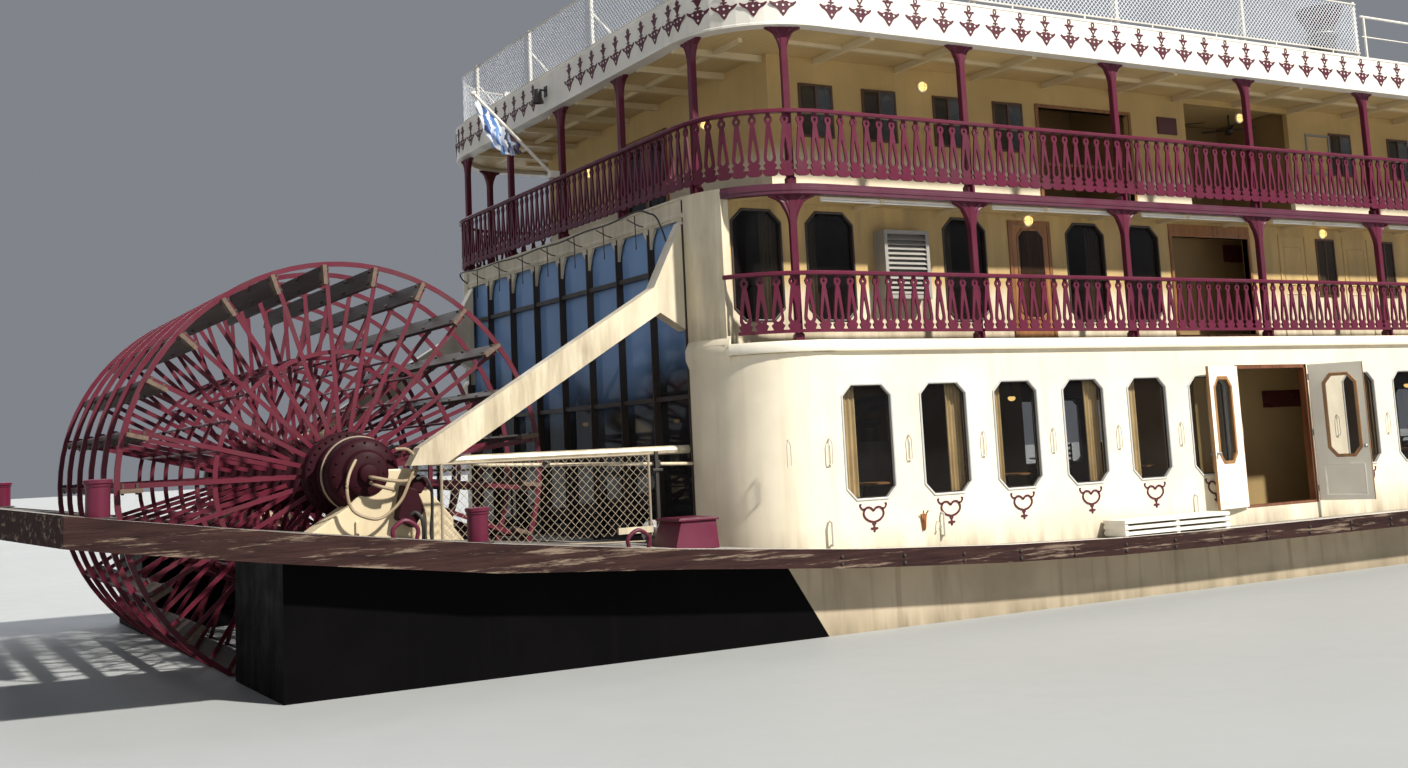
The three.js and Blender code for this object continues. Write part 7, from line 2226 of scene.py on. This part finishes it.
funnelBits, spikes, rivets = [], [], []
for side in (-1, 1):
    spot = np.array([5.2, side * 2.9, 0.0])
    for z in (12.2, 13.6, 14.83, 14.98):
        funnelBits.append(copies(loopBand([(0.418, z - 0.03), (0.432, z - 0.03), (0.437, z - 0.02),
                                           (0.437, z + 0.02), (0.432, z + 0.03), (0.418, z + 0.03)], 40),
                                 spot, (1, 0, 0), (0, 1, 0), (0, 0, 1)))
    for k in range(16):
        a = k * np.pi / 8 + np.pi / 16
        outWay = np.array([math.cos(a), math.sin(a), 0])
        # crown leaf leaning out with the funnel's flare
        leafRun = [spot + outWay * leafReach + [0, 0, leafHeight] for leafReach,
                   leafHeight in ((0.435, 15.22), (0.53, 15.40), (0.63, 15.60), (0.705, 15.74))]
        spikes.append(carry(leafRun, [(-0.05, -0.012), (0.05, -0.012), (0.065, 0.006), (-0.065, 0.006)],
                            upward=outWay))
        for z in (10.45, 11.3, 12.9, 14.2):
            rivets.append(copies(boltHead, spot + outWay * 0.419 + [0, 0, z], np.cross((0, 0, 1), outWay),
                                 (0, 0, 1), outWay))
    for k in range(4):
        a = np.pi / 4 + k * np.pi / 2
        outWay = np.array([math.cos(a), math.sin(a), 0])
        funnelBits.append(tube([spot + outWay * 0.43 + [0, 0, 13.62], spot + outWay * 1.45 + [0, 0, 10.22]],
                               0.014, 6))
        funnelBits.append(copies(turned([(0.001, 0.0), (0.09, 0.0), (0.09, 0.02), (0.03, 0.05),
                                         (0.001, 0.05)], 12), spot + outWay * 1.46 + [0, 0, 10.202],
                                 (1, 0, 0), (0, 1, 0), (0, 0, 1)))
makePiece("funnel_bands", funnelBits, steelPipe, smooth=True)
makePiece("funnel_crown_leaves", spikes, burgundyPaint, smooth=True)
makePiece("funnel_rivets", rivets, blackPaint)

lightBody = turned([(0.001, 0.0), (0.075, 0.0), (0.075, 0.03), (0.055, 0.04), (0.055, 0.16), (0.075, 0.17),
                    (0.075, 0.19), (0.03, 0.24), (0.001, 0.245)], 20)
mastKit = [copies(lightBody, np.array(spot), (1, 0, 0), (0, 1, 0), (0, 0, 1))
           for spot in ((12.30, 0.0, 15.20), (12.2, -0.80, 14.69), (12.2, 0.80, 14.69))]
mastKit.append(box(12.25, 12.36, -0.05, 0.05, 15.165, 15.198))
mastKit += [copies(turned([(0.062, z - 0.02), (0.075, z - 0.015), (0.075, z + 0.015), (0.062, z + 0.02)],
                          18), np.array([12.2, 0, 0]), (1, 0, 0), (0, 1, 0), (0, 0, 1))
            for z in (13.3, 14.62, 15.05)]
mastKit += [tube([(12.2, side * 0.86, 14.66), (12.2, side * 0.06, 15.3)], 0.008, 5) for side in (-1, 1)]
makePiece("mast_lights", mastKit, whitePaint, body="signal_mast", smooth=True)

landing = {"hinge": 31.6, "thick": 0.1}
hingeZ = deckAt(31.6) + 0.4
slope = (hingeZ - deckAt(24.6) - 0.08) / 7.0


def onStage(x, up):
    return hingeZ + up + (x - landing["hinge"]) * slope


treads, stageRails = [], []
for x in np.arange(24.75, 31.3, 0.33):
    z = onStage(x, landing["thick"])
    treads.append(box(x - 0.025, x + 0.025, -0.50, 0.50, z - 0.01, z + 0.028))
for side in (-1, 1):
    line = [(24.62, side * 0.575, onStage(24.62, 0.115)), (31.45, side * 0.575, onStage(31.45, 0.115))]
    stageRails.append(carry(line, [(-0.025, -0.02), (0.025, -0.02), (0.025, 0.05), (-0.025, 0.05)]))
    for x in (25.0, 27.0, 29.0, 31.0):
        z = onStage(x, 0.14)
        stageRails.append(tube(smoothPath([(x - 0.10, side * 0.575, z + 0.02),
                                           (x - 0.08, side * 0.575, z + 0.12),
                                           (x + 0.08, side * 0.575, z + 0.12),
                                           (x + 0.10, side * 0.575, z + 0.02)], 4), 0.012, 6,
                               upward=(0, 1, 0.02)))
makePiece("landing_stage_treads", treads, ochreTimber, body="landing_stage",
          bevel=0.006)
makePiece("landing_stage_edges", stageRails, burgundyPaint, body="landing_stage")

base = deckAt(22.6)
winchBits = [copies(turned([(0.285, -0.62), (0.34, -0.62), (0.34, -0.56), (0.29, -0.54), (0.285, -0.2),
                            (0.285, 0.2), (0.29, 0.54), (0.34, 0.56), (0.34, 0.62), (0.285, 0.62)], 28),
                    np.array([22.7, 0, base + 0.55]), (1, 0, 0), (0, 0, 1), (0, -1, 0))]
for side in (-1, 1):
    winchBits.append(copies(loopBand([(0.27, 0.90), (0.31, 0.90), (0.36, 0.94), (0.36, 0.98), (0.31, 1.02),
                                      (0.30, 1.06), (0.33, 1.10), (0.27, 1.10)], 28),
                            np.array([22.7, 0, base + 0.55]), (1, 0, 0), (0, 0, -side), (0, side, 0)))
    winchBits += [box(22.25, 22.32, side * 0.68 - 0.03, side * 0.68 + 0.03, base + 0.3, base + 0.6),
                  box(23.08, 23.15, side * 0.68 - 0.03, side * 0.68 + 0.03, base + 0.3, base + 0.6)]
for k in range(6):
    winchBits.append(box(22.18 + 0.005, 22.2, -0.55 + 0.22 * k - 0.03, -0.55 + 0.22 * k + 0.03, base + 0.05,
                         base + 0.25))
makePiece("windlass_drum", winchBits, wornSteel, smooth=True)
caps = [copies(turned([(0.149, 0.02), (0.149, 0.40), (0.160, 0.415), (0.160, 0.44), (0.176, 0.452),
                       (0.176, 0.494), (0.165, 0.502), (0.001, 0.506)], 24), np.array([26, y, deckAt(26)]),
               (1, 0, 0), (0, 1, 0), (0, 0, 1)) for y in (-3.6, 3.6)]
makePiece("fore_bollard_sleeves", caps, burgundyPaint, smooth=True)
print("bow and roof fittings ready")

# roof deck details: vents, hatches and rails near the wheelhouse

ventShape = turned([(0.001, 0.0), (0.20, 0.0), (0.20, 0.05), (0.13, 0.07), (0.13, 0.42), (0.23, 0.46),
                    (0.24, 0.56), (0.16, 0.62), (0.001, 0.64)], 24)
vents = [copies(ventShape, np.array([x, y, 10.201]), (1, 0, 0), (0, 1, 0), (0, 0, 1))
         for x in (-16.0, -8.0, 0.0, 16.5) for y in (-3.4, 3.4)]
makePiece("roof_vents", vents, whitePaint, smooth=True)
hatches = []
for x in (-12.0, -3.0, 2.4):
    hatches += [box(x - 0.7, x + 0.7, -0.6, 0.6, 10.201, 10.36),
                box(x - 0.74, x + 0.74, -0.64, 0.64, 10.36, 10.41)]
    hatches += [box(x - 0.66, x + 0.66, y - 0.02, y + 0.02, 10.41, 10.43) for y in (-0.4, -0.2, 0, 0.2, 0.4)]
makePiece("roof_hatches", hatches, brownTimber, bevel=0.01)
foreRail = housePath("front", 0.10, 10.72)
roofRun = np.concatenate([[(-6.4, -6.75, 10.72)], foreRail, [(-6.4, 6.75, 10.72)]])
roofTotal = pathLength(roofRun)
spots, along = placesOn(roofRun, np.linspace(0.1, roofTotal - 0.1, 30))
railBits = [tube(roofRun + [0, 0, 0.95], 0.028, 8), tube(roofRun + [0, 0, 0.5], 0.016, 6)]
railBits.append(copies(boxes([-0.02, -0.515, -0.02], [0.02, 0.93, 0.02]), spots, along, (0, 0, 1),
                       outOf(along)))
makePiece("roof_fore_rail", railBits, whitePaint, smooth=False)

# floor

floorSettings = {"half": 120.0, "z": 0.0}


def makeFloor(settings):
    material, tree, shader = startMaterial("studio_floor")
    tone = spread(tree, noise(tree, place(tree), 0.3, 4), 0.3, 0.7, 0.97, 1.03)
    colour = mix(tree, 1.0, solidColour(0.34, 0.36, 0.37),
                 addNode(tree, "CombineColor", {0: tone, 1: tone, 2: tone}).outputs[0], "MULTIPLY")
    joinFinish(tree, shader, colour, spread(tree, noise(tree, place(tree), 3.0, 3), 0.3, 0.7, 0.55, 0.65))
    half, z = settings["half"], settings["z"]
    mesh = bpy.data.meshes.new("floor")
    mesh.from_pydata([(-half, -half, z), (half, -half, z), (half, half, z), (-half, half, z)], [],
                     [(0, 1, 2, 3)])
    mesh.materials.append(material)
    floor = bpy.data.objects.new("floor", mesh)
    bpy.context.scene.collection.objects.link(floor)


makeFloor(floorSettings)
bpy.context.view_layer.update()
